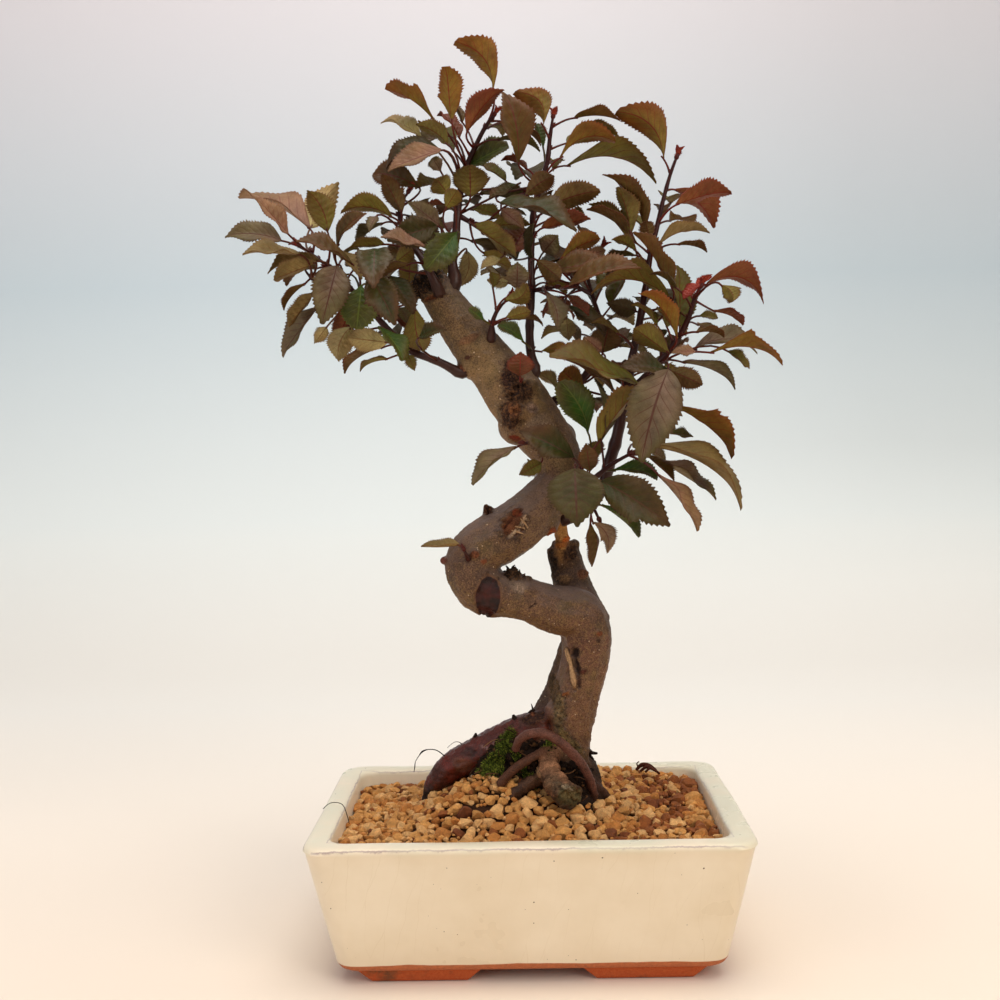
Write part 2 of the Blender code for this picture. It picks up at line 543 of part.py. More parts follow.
def corner_foot(side_x, side_y, corner_x, corner_y):
    """A foot under one corner of the base: two bars that meet, narrower at the floor."""
    long, short, thick = FOOT_LENGTH, FOOT_SIDE_LENGTH, FOOT_THICKNESS
    slant, front = FOOT_SLANT, FOOT_FACE_SLANT
    on_base = [(0, 0), (long, 0), (long, thick), (thick, thick), (thick, short), (0, short)]
    on_floor = [
        (slant, front), (long - slant, front), (long - slant, thick), (thick, thick),
        (thick, short - slant), (slant, short - slant)]
    bm = bmesh.new()
    rings = [
        [
            bm.verts.new((side_x * (corner_x - along), side_y * (corner_y - back), height))
            for along, back in outline]
        for outline, height in ((on_floor, 0.0), (on_base, FOOT_HEIGHT + SUNK))]
    for ring in rings:
        bm.faces.new(ring)
    for index in range(len(on_floor)):
        after = (index + 1) % len(on_floor)
        bm.faces.new((rings[0][index], rings[0][after], rings[1][after], rings[1][index]))
    bmesh.ops.recalc_face_normals(bm, faces=bm.faces)
    return bm


def build_pot(collection, cutters):
    """The glazed body, the bare clay base and the four corner feet, fired as one."""
    pot = mesh_object("pot", tapered_block(
        POT_WIDTH / 2, POT_DEPTH / 2, GLAZE_FOOT, POT_HEIGHT, OUTER_TAPER, CORNER, 3), collection, "pot")
    cavity = as_cutter(mesh_object("cavity", tapered_block(
        POT_WIDTH / 2 - LIP, POT_DEPTH / 2 - LIP, POT_FLOOR, POT_HEIGHT + 0.01, INNER_TAPER,
        INNER_CORNER, 3), cutters))
    boolean(pot, cavity, "DIFFERENCE")
    round_lip(pot)
    lean = OUTER_TAPER * (POT_HEIGHT - GLAZE_FOOT) + BASE_INSET
    base_x = POT_WIDTH / 2 - lean
    base_y = POT_DEPTH / 2 - lean
    base = mesh_object("base", tapered_block(
        base_x, base_y, FOOT_HEIGHT, GLAZE_FOOT + SUNK, 0.0, CORNER, 2), cutters)
    boolean(pot, base, "UNION")
    for side_x in (-1, 1):
        for side_y in (-1, 1):
            foot = corner_foot(side_x, side_y, base_x - FOOT_END_INSET, base_y - FOOT_INSET)
            boolean(pot, mesh_object("foot", foot, cutters), "UNION")
    for side in (-1, 1):
        bm = bmesh.new()
        bmesh.ops.create_cone(
            bm, cap_ends=True, segments=16, radius1=DRAIN_RADIUS, radius2=DRAIN_RADIUS,
            depth=3 * POT_FLOOR, matrix=Matrix.Translation((side * DRAIN_X, 0, 0)))
        boolean(pot, as_cutter(mesh_object("drain", bm, cutters)), "DIFFERENCE")
    return pot


def build_screen(name, centre_x, collection):
    """A plastic drainage screen on the pot's floor over a drain hole."""
    bm = bmesh.new()
    bmesh.ops.create_grid(bm, x_segments=SCREEN_CELLS, y_segments=SCREEN_CELLS, size=SCREEN_SIDE / 2)
    pitch = SCREEN_SIDE / SCREEN_CELLS
    holes = []
    for face in bm.faces:
        centre = face.calc_center_median()
        column = int((centre.x + SCREEN_SIDE / 2) / pitch)
        row = int((centre.y + SCREEN_SIDE / 2) / pitch)
        if column % 2 == 1 and row % 2 == 1:
            holes.append(face)
    bmesh.ops.delete(bm, geom=holes, context="FACES_ONLY")
    bmesh.ops.translate(bm, vec=(centre_x, 0, POT_FLOOR + GAP), verts=bm.verts)
    screen = mesh_object(name, bm, collection, "drain_screen")
    solid = screen.modifiers.new("Thickness", "SOLIDIFY")
    solid.thickness = SCREEN_THICKNESS * MM
    solid.offset = 1.0
    settle(screen)
    return screen


def soil_level(x, y):
    """Height of the gravel: level at the front wall, and heaped up in mounds."""
    level = SOIL_EDGE
    for mound_x, mound_y, rise, spread in MOUNDS:
        away = (x - mound_x) ** 2 + (y - mound_y) ** 2
        level += rise * math.exp(-away / (2 * spread ** 2))
    return level


def gravel_sheet(draw):
    """A sheet of grains: each jittered cell of a grid rises to a point."""
    bm = bmesh.new()
    columns = int(POT_WIDTH / GRAIN_PITCH)
    rows = int(POT_DEPTH / GRAIN_PITCH)
    bmesh.ops.create_grid(bm, x_segments=columns, y_segments=rows, size=0.5)
    for vert in bm.verts:
        vert.co.x = (vert.co.x * columns + draw.uniform(-JITTER, JITTER)) * GRAIN_PITCH
        vert.co.y = (vert.co.y * rows + draw.uniform(-JITTER, JITTER)) * GRAIN_PITCH
        vert.co.z = soil_level(vert.co.x, vert.co.y) - GRAIN_RISE / 2
    grains = bmesh.ops.poke(bm, faces=bm.faces)["verts"]
    for vert in grains:
        vert.co.x += draw.uniform(-JITTER, JITTER) * GRAIN_PITCH
        vert.co.y += draw.uniform(-JITTER, JITTER) * GRAIN_PITCH
        vert.co.z += draw.uniform(LEAST_GRAIN, 1.0) * GRAIN_RISE
    return bm


def build_soil(collection, cutters, wood, draw):
    """The soil: it fills the pot, its top is gravel, and the roots have their pit."""
    bm = gravel_sheet(draw)
    rim = [edge for edge in bm.edges if edge.is_boundary]
    skirt = bmesh.ops.extrude_edge_only(bm, edges=rim)["geom"]
    for vert in (item for item in skirt if isinstance(item, bmesh.types.BMVert)):
        vert.co.z = 0.0
    floor_rim = [edge for edge in bm.edges if edge.is_boundary]
    bmesh.ops.contextual_create(bm, geom=floor_rim)
    bmesh.ops.recalc_face_normals(bm, faces=bm.faces)
    gravel = mesh_object("gravel", bm, cutters)
    inside = GAP + LIP
    soil = mesh_object("soil", tapered_block(
        POT_WIDTH / 2 - inside, POT_DEPTH / 2 - inside, POT_FLOOR + GAP, POT_HEIGHT,
        INNER_TAPER, INNER_CORNER, 3), collection, "soil")
    raise_top(soil, POT_HEIGHT + MOUND_HEIGHT)
    boolean(soil, gravel, "INTERSECT")
    for side in (-1, 1):
        bm = bmesh.new()
        bmesh.ops.create_cube(bm, size=1.0)
        pocket = SCREEN_SIDE + 2 * GAP
        bmesh.ops.scale(bm, vec=(pocket, pocket, 2 * (SCREEN_THICKNESS + 2 * GAP)), verts=bm.verts)
        bmesh.ops.translate(bm, vec=(side * DRAIN_X, 0, POT_FLOOR), verts=bm.verts)
        boolean(soil, as_cutter(mesh_object("screen pocket", bm, cutters)), "DIFFERENCE")
    # The second, closer cut clears what the first one leaves where its skin crosses itself
    for swell in (GAP, GAP / 2):
        boolean(soil, as_cutter(root_pit(wood, cutters, swell)), "DIFFERENCE")
    keep_largest_body(soil)
    return soil


def raise_top(block, height):
    """Lift the top of a block straight up to a height."""
    top = max(vert.co.z for vert in block.data.vertices)
    for vert in block.data.vertices:
        if vert.co.z == top:
            vert.co.z = height * MM


def root_pit(wood, cutters, gap):
    """The lower wood swollen by an air gap, as a cutter for the soil."""
    bm = bmesh.new()
    bm.from_mesh(wood.data)
    cut_at = (SOIL_EDGE + MOUND_HEIGHT + PIT_ABOVE) * MM
    bmesh.ops.bisect_plane(
        bm, geom=bm.verts[:] + bm.edges[:] + bm.faces[:], plane_co=(0, 0, cut_at), plane_no=(0, 0, 1),
        clear_outer=True)
    open_edges = [edge for edge in bm.edges if edge.is_boundary]
    bmesh.ops.holes_fill(bm, edges=open_edges)
    bmesh.ops.scale(bm, vec=(1 / MM, 1 / MM, 1 / MM), verts=bm.verts)
    pit = mesh_object("root pit", bm, cutters)
    swell = pit.modifiers.new("Air gap", "DISPLACE")
    swell.strength = gap * MM
    swell.mid_level = 0.0
    swell.direction = "NORMAL"
    settle(pit)
    return pit


def bodies(bm):
    """The sets of vertices that hang together."""
    left = set(bm.verts)
    found = []
    while left:
        body = set()
        front = [left.pop()]
        while front:
            vert = front.pop()
            body.add(vert)
            for edge in vert.link_edges:
                other = edge.other_vert(vert)
                if other in left:
                    left.discard(other)
                    front.append(other)
        found.append(body)
    return sorted(found, key=len, reverse=True)


def keep_largest_body(obj):
    """Drop the loose scraps that a cut or a union left beside the main body."""
    bm = bmesh.new()
    bm.from_mesh(obj.data)
    scraps = [vert for body in bodies(bm)[1:] for vert in body]
    bmesh.ops.delete(bm, geom=scraps, context="VERTS")
    bm.to_mesh(obj.data)
    bm.free()


def triangulated(bm):
    """Cut the faces of a bmesh into triangles in place."""
    bmesh.ops.triangulate(bm, faces=bm.faces, quad_method="BEAUTY", ngon_method="EAR_CLIP")


def cut_into_triangles(obj):
    """Drop the vertices in the middle of an edge, and cut every face into triangles.

    Two faces that share the ends of one cut would be pinched together along it,
    so the first of them is cut from its middle.
    """
    bm = bmesh.new()
    bm.from_mesh(obj.data)
    spare = [vert for vert in bm.verts if len(vert.link_edges) == 2]
    bmesh.ops.dissolve_verts(bm, verts=spare)
    bm.verts.index_update()
    trial = bm.copy()
    triangulated(trial)
    pinched = [
        {vert.index for vert in edge.verts} for edge in trial.edges if len(edge.link_faces) > 2]
    trial.free()
    for ends in pinched:
        holders = [face for face in bm.faces if ends <= {vert.index for vert in face.verts}]
        bmesh.ops.poke(bm, faces=[max(holders, key=lambda face: len(face.verts))])
    triangulated(bm)
    bm.to_mesh(obj.data)
    bm.free()


def smooth_path(knots, step):
    """Points (position, radius) on a smooth curve through knots (position, radius)."""
    path = []
    for index in range(len(knots) - 1):
        spots = [knots[max(0, min(len(knots) - 1, index + k))] for k in (-1, 0, 1, 2)]
        length = (spots[2][0] - spots[1][0]).length
        count = max(1, round(length / step))
        for part in range(count):
            t = part / count
            weights = (
                -0.5 * t + t * t - 0.5 * t ** 3, 1 - 2.5 * t * t + 1.5 * t ** 3,
                0.5 * t + 2 * t * t - 1.5 * t ** 3, -0.5 * t * t + 0.5 * t ** 3)
            place = sum((spot[0] * weight for spot, weight in zip(spots, weights)), Vector())
            radius = spots[1][1] * (1 - t) + spots[2][1] * t
            path.append((place, radius))
    path.append(knots[-1])
    return path


def tube(name, path, resolution, collection):
    """A closed tube along points (position, radius), made a mesh."""
    curve = bpy.data.curves.new(name, "CURVE")
    curve.dimensions = "3D"
    curve.bevel_depth = MM
    curve.bevel_resolution = resolution
    curve.use_fill_caps = True
    spline = curve.splines.new("POLY")
    spline.points.add(len(path) - 1)
    for point, (place, radius) in zip(spline.points, path):
        point.co = (*(place * MM), 1.0)
        point.radius = radius
    wire = bpy.data.objects.new(name, curve)
    collection.objects.link(wire)
    graph = bpy.context.evaluated_depsgraph_get()
    mesh = bpy.data.meshes.new_from_object(wire.evaluated_get(graph))
    bm = bmesh.new()
    bm.from_mesh(mesh)
    bmesh.ops.remove_doubles(bm, verts=bm.verts, dist=0.01 * MM)
    bmesh.ops.recalc_face_normals(bm, faces=bm.faces)
    bm.to_mesh(mesh)
    bm.free()
    bpy.data.objects.remove(wire, do_unlink=True)
    obj = bpy.data.objects.new(name, mesh)
    collection.objects.link(obj)
    return obj


def limb_knots(rows):
    """Knots in the pot's frame from rows (u, v, depth, radius)."""
    return [(seen(u, v, depth), radius) for u, v, depth, radius in rows]


def join(objects, name, collection, kind):
    """Put the meshes of some objects into one object, and drop them."""
    bm = bmesh.new()
    for obj in objects:
        bm.from_mesh(obj.data)
        bpy.data.objects.remove(obj, do_unlink=True)
    bmesh.ops.scale(bm, vec=(1 / MM, 1 / MM, 1 / MM), verts=bm.verts)
    return mesh_object(name, bm, collection, kind)


def build_tree(collection, cutters):
    """Roots, trunk, stubs and burls, grown together as one piece of wood."""
    pieces = []
    for name, rows in {"trunk": TRUNK, **LIMBS}.items():
        pieces.append(tube(name, smooth_path(limb_knots(rows), WOOD_STEP), 4, cutters))
    for u, v, depth, radius in BURLS:
        bm = bmesh.new()
        place = Matrix.Translation(seen(u, v, depth))
        bmesh.ops.create_icosphere(bm, subdivisions=2, radius=radius, matrix=place)
        pieces.append(mesh_object("burl", bm, cutters))
    tree = join(pieces, "tree", collection, "tree")
    skin = tree.modifiers.new("One skin", "REMESH")
    skin.mode = "VOXEL"
    skin.voxel_size = VOXEL * MM
    smooth = tree.modifiers.new("Healed joints", "SMOOTH")
    smooth.factor = 0.5
    smooth.iterations = 4
    settle(tree)
    keep_largest_body(tree)
    thin = tree.modifiers.new("Fewer faces", "DECIMATE")
    thin.ratio = WOOD_TRIANGLES / (2 * len(tree.data.polygons))
    settle(tree)
    keep_largest_body(tree)
    return tree


def leaf_outline(length, width, half):
    """Points (place along the rib, place across it) round a toothed blade, and its middle."""
    side = LARGE_SIDE if length > LARGE_LEAF else SMALL_SIDE
    right = [(0.0, 2 * half / width), *side]
    left = [(along, -across) for along, across in reversed(right)]
    return [*right, (1.0, 0.0), *left]


def leaf_bmesh(root, base, tip, up, width, bow, thickness, half=PETIOLE_HALF):
    """A leaf with its stalk: one closed body, its upper and lower faces split alike."""
    chord = tip - base
    forward = chord.normalized()
    right = forward.cross(up).normalized()
    up = right.cross(forward).normalized()
    outline = leaf_outline(chord.length, width, half)
    bm = bmesh.new()
    bmesh.ops.create_circle(bm, segments=len(outline), radius=1.0, cap_ends=True)
    bm.verts.ensure_lookup_table()
    blade = bm.faces[:]
    heart = bmesh.ops.poke(bm, faces=blade)["verts"][0]
    rim = [vert for vert in bm.verts if vert is not heart]
    rim.sort(key=lambda vert: math.atan2(vert.co.x, vert.co.y))
    for vert, (along, across) in zip([*rim, heart], [*outline, (LEAF_HEART, 0.0)]):
        bend = 4 * along * (1 - along)
        lift = ARCH * chord.length * bend + FOLD * abs(across) * width - thickness / 2
        vert.co = base + chord * along + right * (across * width / 2) + up * lift + bow * bend
    raised = bmesh.ops.extrude_face_region(bm, geom=bm.faces[:], use_keep_orig=True)["geom"]
    bmesh.ops.translate(
        bm, vec=up * thickness, verts=[item for item in raised if isinstance(item, bmesh.types.BMVert)])
    heel = min(
        (face for face in bm.faces if len(face.verts) == 4),
        key=lambda face: (face.calc_center_median() - base).length)
    draw_stalk(bm, heel, -forward, up, root)
    bmesh.ops.triangulate(bm, faces=bm.faces)
    bmesh.ops.recalc_face_normals(bm, faces=bm.faces)
    return bm


def draw_stalk(bm, end, outward, up, root):
    """Draw a face out to the stalk's root, round a bend where the stalk turns back sharply."""
    centre = end.calc_center_median()
    reach = (root - centre).normalized()
    joints = [(root, reach)]
    if outward.angle(reach) > SHARP_TURN:
        halfway = (outward + reach + up * BEND_UPWARD).normalized()
        joints.insert(0, (centre + halfway * STALK_BEND, halfway))
    for spot, direction in joints:
        drawn = bmesh.ops.extrude_face_region(bm, geom=[end])["geom"]
        turn = outward.rotation_difference(direction)
        for item in drawn:
            if isinstance(item, bmesh.types.BMVert):
                item.co = spot + turn @ (item.co - centre)
        bmesh.ops.delete(bm, geom=[end], context="FACES_ONLY")
        end = next(item for item in drawn if isinstance(item, bmesh.types.BMFace))
        centre = spot
        outward = direction


def placed_leaf(leaf):
    """Base, tip, upward direction, width and bow of a leaf that was laid out by eye."""
    base = seen(leaf.u0, leaf.v0, leaf.y0)
    tip = seen(leaf.u1, leaf.v1, leaf.y1)
    chord = tip - base
    forward = chord.normalized()
    sight = ((base + tip) / 2 - EYE).normalized()
    facing = (sight - forward * sight.dot(forward)).normalized() * -leaf.face
    edge_up = forward.cross(sight).normalized()
    if edge_up.z < 0:
        edge_up = -edge_up
    width = max(leaf.seen, LEAF_RATIO * chord.length)
    lean = math.acos(min(1.0, leaf.seen / width))
    up = facing * math.cos(lean) + edge_up * math.sin(lean)
    bow = sight.cross(forward).normalized() * leaf.bow
    arch = up - facing * up.dot(facing)
    bow -= arch * ARCH * chord.length
    return base, tip, up, width, bow


def nearest_on_stems(stems, place):
    """The stem point from which a stalk to a place springs, a little below the nearest."""
    best = None
    for number, path in enumerate(stems):
        lowest = FOOT_POINTS if number == 0 else 0
        for index in range(lowest, len(path)):
            away = (path[index][0] - place).length
            if best is None or away < best[0]:
                best = (away, path, index, lowest)
    away, path, index, lowest = best
    back = away * STALK_SLOPE
    while index > lowest and back > 0:
        back -= (path[index][0] - path[index - 1][0]).length
        index -= 1
    return path[index][0]


def spiral_leaves(path, count, length, start, draw):
    """Leaves along a stem in the spiral of an apple shoot, on the side away from the eye."""
    for number in range(count):
        place = SPIRAL_START + (1 - SPIRAL_START) * (number + 0.5) / count
        index = min(len(path) - 2, int(place * (len(path) - 1)))
        spot = path[index][0]
        along = (path[index + 1][0] - spot).normalized()
        side = along.cross(Vector((0, 1, 0))).normalized()
        back = side.cross(along).normalized()
        if back.y < 0:
            back = -back
        turn = start + number * TWIST_STEP
        out = side * math.cos(turn) + back * (BACKWARD + (1 - BACKWARD) * abs(math.sin(turn)))
        stalk = (along * STALK_RISE + out.normalized()).normalized()
        size = length * draw.uniform(*SIZE_SPREAD)
        base = spot + stalk * draw.uniform(*STALK_LENGTHS)
        forward = (stalk + Vector((0, 0, draw.uniform(*DROOP)))).normalized()
        up = (Vector((0, 0, 1)) + along * STALK_RISE + side * draw.uniform(-TILT, TILT)).normalized()
        yield spot, base, base + forward * size, up, size * LEAF_RATIO, Vector()


def guard_tree(root, base, tip, up, width, bow):
    """A search tree over a leaf with the room that it needs round it."""
    bm = leaf_bmesh(
        root, base, tip, up, width + GUARD, bow, BLADE_THICKNESS + 2 * GUARD, PETIOLE_HALF + GUARD)
    guard = BVHTree.FromBMesh(bm)
    bm.free()
    return guard


NUDGES = [
    Vector((0, 0, 0)), Vector((0, -5, 0)), Vector((0, 5, 0)), Vector((0, -10, 0)), Vector((0, 10, 0)),
    Vector((0, 0, 3)), Vector((0, 0, -3)), Vector((3, 0, 0)), Vector((-3, 0, 0)), Vector((0, -15, 0)),
    Vector((0, 15, 0)), Vector((0, -8, 5)), Vector((0, 8, 5)), Vector((0, -8, -5)), Vector((0, 8, -5))]


def clear_place(leaf, others, mates):
    """The leaf moved as little as clears it of its neighbours, or None."""
    root, base, tip, up, width, bow = leaf
    fallback = None
    for nudge in NUDGES:
        for share in BASE_SHARES:
            tried = (root, base + nudge * share, tip + nudge, up, width, bow)
            guard = guard_tree(*tried)
            if any(guard.overlap(other) for other in others):
                continue
            if not any(guard.overlap(mate) for mate in mates):
                return tried
            fallback = fallback or tried
    return fallback


def shoot_stems(shoot, bearer):
    """The smoothed stems of a shoot; the first one springs from what bears it."""
    paths = []
    for number, rows in enumerate(shoot.stems):
        knots = limb_knots(rows)
        if number == 0:
            spot, normal, _index, _away = bearer.find_nearest(knots[0][0])
            radius = knots[0][1]
            foot = spot + normal * STEM_GAP
            knots[0] = (foot, radius)
            knots.insert(1, (foot + normal * STEM_HEEL, radius))
        paths.append(smooth_path(knots, STEM_STEP))
    return paths


def search_tree(obj):
    """A search tree in millimetres over an object's mesh."""
    bm = bmesh.new()
    bm.from_mesh(obj.data)
    bmesh.ops.scale(bm, vec=(1 / MM, 1 / MM, 1 / MM), verts=bm.verts)
    found = BVHTree.FromBMesh(bm)
    bm.free()
    return found


def build_shoots(collection, cutters, wood):
    """All leafy shoots: stems first, then their leaves, each in a place that is free."""
    stems = {}
    stem_objects = {}
    taken = {"tree": [search_tree(wood)]}
    for shoot in SHOOTS:
        paths = shoot_stems(shoot, taken[BEARERS.get(shoot.name, "tree")][0])
        stems[shoot.name] = paths
        stem_objects[shoot.name] = []
        taken[shoot.name] = []
        for number, path in enumerate(paths):
            resolution = 1 if number == 0 else 0
            stem = tube(shoot.name + " stem", path, resolution, cutters)
            stem_objects[shoot.name].append(stem)
            taken[shoot.name].append(search_tree(stem))
    blades = {shoot.name: [] for shoot in SHOOTS}

    def place(name, leaf):
        others = [tree for key, trees in taken.items() if key != name for tree in trees]
        mates = taken[name][len(stems[name]):]
        found = clear_place(leaf, others, mates)
        if found is not None:
            bm = leaf_bmesh(*found, BLADE_THICKNESS)
            taken[name].append(BVHTree.FromBMesh(bm))
            bm.free()
            blades[name].append(found)

    for shoot in SHOOTS:
        for leaf in shoot.leaves:
            placed = placed_leaf(leaf)
            place(shoot.name, (nearest_on_stems(stems[shoot.name], placed[0]), *placed))
    for name, stem, count, length, start in SPIRALS:
        draw = random.Random(name)
        for leaf in spiral_leaves(smooth_path(stems[name][stem], SPIRAL_STEP), count, length, start, draw):
            place(name, leaf)
    for shoot in SHOOTS:
        fuse_shoot(shoot.name, stem_objects[shoot.name], blades[shoot.name], collection)
        print(shoot.name, "has", len(blades[shoot.name]), "leaves")


def move_to(obj, collection):
    """Unlink an object from its collections and link it to another one."""
    for holder in list(obj.users_collection):
        holder.objects.unlink(obj)
    collection.objects.link(obj)


def fuse_shoot(name, stem_objects, blades, collection):
    """Join a shoot's stems and leaves into one body."""
    heap = new_collection(name + " leaves")
    for leaf in blades:
        mesh_object("leaf", leaf_bmesh(*leaf, BLADE_THICKNESS), heap)
    for stem in stem_objects[1:]:
        move_to(stem, heap)
    shoot = stem_objects[0]
    move_to(shoot, collection)
    shoot.name = name
    shoot.data.name = name
    shoot.data.materials.append(finish_material("leaf"))
    union = shoot.modifiers.new("Grown together", "BOOLEAN")
    union.operation = "UNION"
    union.operand_type = "COLLECTION"
    union.collection = heap
    union.solver = "MANIFOLD"
    settle(shoot)
    for obj in list(heap.objects):
        bpy.data.objects.remove(obj, do_unlink=True)
    bpy.data.collections.remove(heap)
    keep_largest_body(shoot)
    cut_into_triangles(shoot)


def centre_on_footprint(collection):
    """Move everything so that the origin is the middle of the object's footprint."""
    corners = [obj.matrix_world @ vert.co for obj in collection.objects for vert in obj.data.vertices]
    shift = Vector((
        -(min(c.x for c in corners) + max(c.x for c in corners)) / 2,
        -(min(c.y for c in corners) + max(c.y for c in corners)) / 2,
        -min(c.z for c in corners)))
    for obj in collection.objects:
        obj.data.transform(Matrix.Translation(shift))
    return shift


def shade(collection):
    """Shade round pieces smooth, with their sharp edges kept."""
    for obj in collection.objects:
        if obj.name in ("pot", "tree"):
            obj.data.shade_smooth()
            obj.data.set_sharp_from_angle(angle=SHARP_EDGE)


def main():
    """Build the bonsai."""
    clear_scene()
    bonsai = new_collection("Apple bonsai")
    cutters = new_collection("Cutters")
    build_pot(bonsai, cutters)
    build_screen("drain_screen_left", -DRAIN_X, bonsai)
    build_screen("drain_screen_right", DRAIN_X, bonsai)
    tree = build_tree(bonsai, cutters)
    build_soil(bonsai, cutters, tree, random.Random(GRAVEL_SEED))
    build_shoots(bonsai, cutters, tree)
    shade(bonsai)
    shift = centre_on_footprint(bonsai)
    print("origin moved by", [round(value / MM, 2) for value in shift], "mm")


main()
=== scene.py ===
"""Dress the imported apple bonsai: pot, drainage screens, gravel, wood and leafy shoots.

Sizes are in millimetres in the pot's frame: x to the right, y to the back, z up
from the floor, with the origin under the middle of the pot. Finished meshes are
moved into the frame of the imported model, in metres. Leaves and limbs are laid out
as (u, v, depth): where an eye in front of the tree sees them on the upright plane
through the pot's middle, and how far in front of or behind that plane they stand.
"""
import logging
import math
import random
from collections.abc import Callable, Iterable, Iterator, Sequence
from dataclasses import dataclass, field, replace
from enum import Enum
from functools import partial

import bmesh
import bpy
import numpy as np
from mathutils import Matrix, Vector, noise
from mathutils.bvhtree import BVHTree


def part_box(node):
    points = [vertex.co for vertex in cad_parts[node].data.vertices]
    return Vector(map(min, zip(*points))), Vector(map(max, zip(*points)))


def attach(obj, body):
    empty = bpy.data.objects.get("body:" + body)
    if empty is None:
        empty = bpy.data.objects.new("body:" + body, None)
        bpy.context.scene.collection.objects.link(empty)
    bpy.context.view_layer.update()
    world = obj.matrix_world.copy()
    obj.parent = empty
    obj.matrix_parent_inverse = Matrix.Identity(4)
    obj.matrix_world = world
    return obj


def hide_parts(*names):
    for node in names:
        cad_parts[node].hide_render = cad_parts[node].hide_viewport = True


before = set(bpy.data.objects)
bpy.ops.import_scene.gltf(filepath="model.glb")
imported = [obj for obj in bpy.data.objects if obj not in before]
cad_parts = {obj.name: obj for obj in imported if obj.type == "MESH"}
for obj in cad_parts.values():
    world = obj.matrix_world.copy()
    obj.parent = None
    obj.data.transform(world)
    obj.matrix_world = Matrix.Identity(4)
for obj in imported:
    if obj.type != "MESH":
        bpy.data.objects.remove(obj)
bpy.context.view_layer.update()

LOG = logging.getLogger("bonsai")
MM = 0.001
ROOT_BODY = "root"

EYE = Vector((-0.7, -500.0, 202.0))     # where the camera stands
BLADE_THICKNESS = 0.8          # of the solid model's leaves, whose places these leaves take
PETIOLE_HALF = 0.5
STEM_GAP = 0.5                 # between a stem's foot and the wood that bears it
STEM_HEEL = 2.5                # how far a stem runs straight out of the wood
STEM_STEP = 13.0
FOOT_POINTS = 2                # points at a stem's foot from which no stalk springs
STALK_SLOPE = 0.35             # how far down the stem a stalk springs, to its length
STALK_LENGTHS = (7.0, 12.0)
BASE_SHARES = (0.25, 0.8)      # how far a leaf's base follows when its tip is moved
BACKWARD = 0.35                # how much the leaves of a spiral keep to the far side
STALK_RISE = 0.55
SIZE_SPREAD = (0.78, 1.12)
DROOP = (-0.75, 0.05)
TILT = 0.5
LEAF_RATIO = 0.5               # width to length of an open blade
ARCH = 0.09                    # rise of a blade's middle to its length
FOLD = 0.16                    # how far the two halves fold up from the rib
VEIN_PAIRS = 7.5               # side veins on each side of the rib
VEIN_SLOPE = 0.30              # how far forward they run, to the blade's length
VEIN_BEND = 0.8
GUARD = 0.8                    # room kept between two leaves
TWIST_STEP = math.radians(137.5)
SPIRAL_START = 0.3
SPIRAL_STEP = 4.0

Numbers = np.ndarray
Knot = tuple[float, float, float, float]
Path = Sequence[tuple[Vector, float]]
AddNode = Callable[..., bpy.types.Node]


def linear(code: str) -> Numbers:
    """Turn an sRGB hex colour into a linear one.

    Args:
        code: The colour as "#rrggbb".

    Returns:
        Red, green, blue and an alpha of 1.
    """
    parts = [int(code[place:place + 2], 16) / 255 for place in (1, 3, 5)]
    return np.array([
        part / 12.92 if part <= 0.04045 else ((part + 0.055) / 1.055) ** 2.4 for part in parts] + [1.0])


def seen(u: float, v: float, depth: float) -> Vector:
    """Find the point at a depth that the eye sees at (u, v) on the upright plane.

    Args:
        u: Place to the right, in millimetres.
        v: Height.
        depth: How far behind the plane the point is.

    Returns:
        The point in the pot's frame.
    """
    reach = (depth - EYE.y) / -EYE.y
    return Vector((EYE.x + (u - EYE.x) * reach, depth, EYE.z + (v - EYE.z) * reach))


def seen_places(points: Numbers) -> tuple[Numbers, Numbers]:
    """Where on the upright plane, u and v, the eye sees each of some points."""
    reach = (points[:, 1] - EYE.y) / -EYE.y
    return EYE.x + (points[:, 0] - EYE.x) / reach, EYE.z + (points[:, 2] - EYE.z) / reach


class Tone(Enum):
    """The named tints of a leaf: its upper face, the flush on it, its underside, ribs and gloss."""

    MAUVE = ("#866a54", "#706438", "#88744c", "#643a2a", 0.35)
    ROSE = ("#a0745c", "#907048", "#a48466", "#7c4234", 0.35)
    PALE = ("#b0a46a", "#aa8c5c", "#bcac74", "#96704a", 0.35)
    OLIVE = ("#6c6822", "#745a2a", "#84762e", "#783c22", 0.40)
    BRONZE = ("#5c481a", "#6a4420", "#705828", "#6c301c", 0.45)
    TAN = ("#927a48", "#846c3e", "#a08652", "#845434", 0.35)
    GREEN = ("#3c5e1a", "#5c4a22", "#6a702e", "#66702a", 0.60)
    WINE = ("#6c4222", "#7e3c24", "#945a30", "#8c3020", 0.45)
    DEEP = ("#3c4114", "#5c3e22", "#5c4e22", "#583a22", 0.60)
    DUSK = ("#5a4a2a", "#524c20", "#665a34", "#5e3c2a", 0.35)
    # Amber: the leaf's own tint, painted brighter and warmer as the light that shines through it from behind
    AMBER = ("#766420", "#8e5520", "#8c7228", "#8a381e", 0.40)
    RED = ("#a83c26", "#94301e", "#b44c30", "#8c1c18", 0.60)


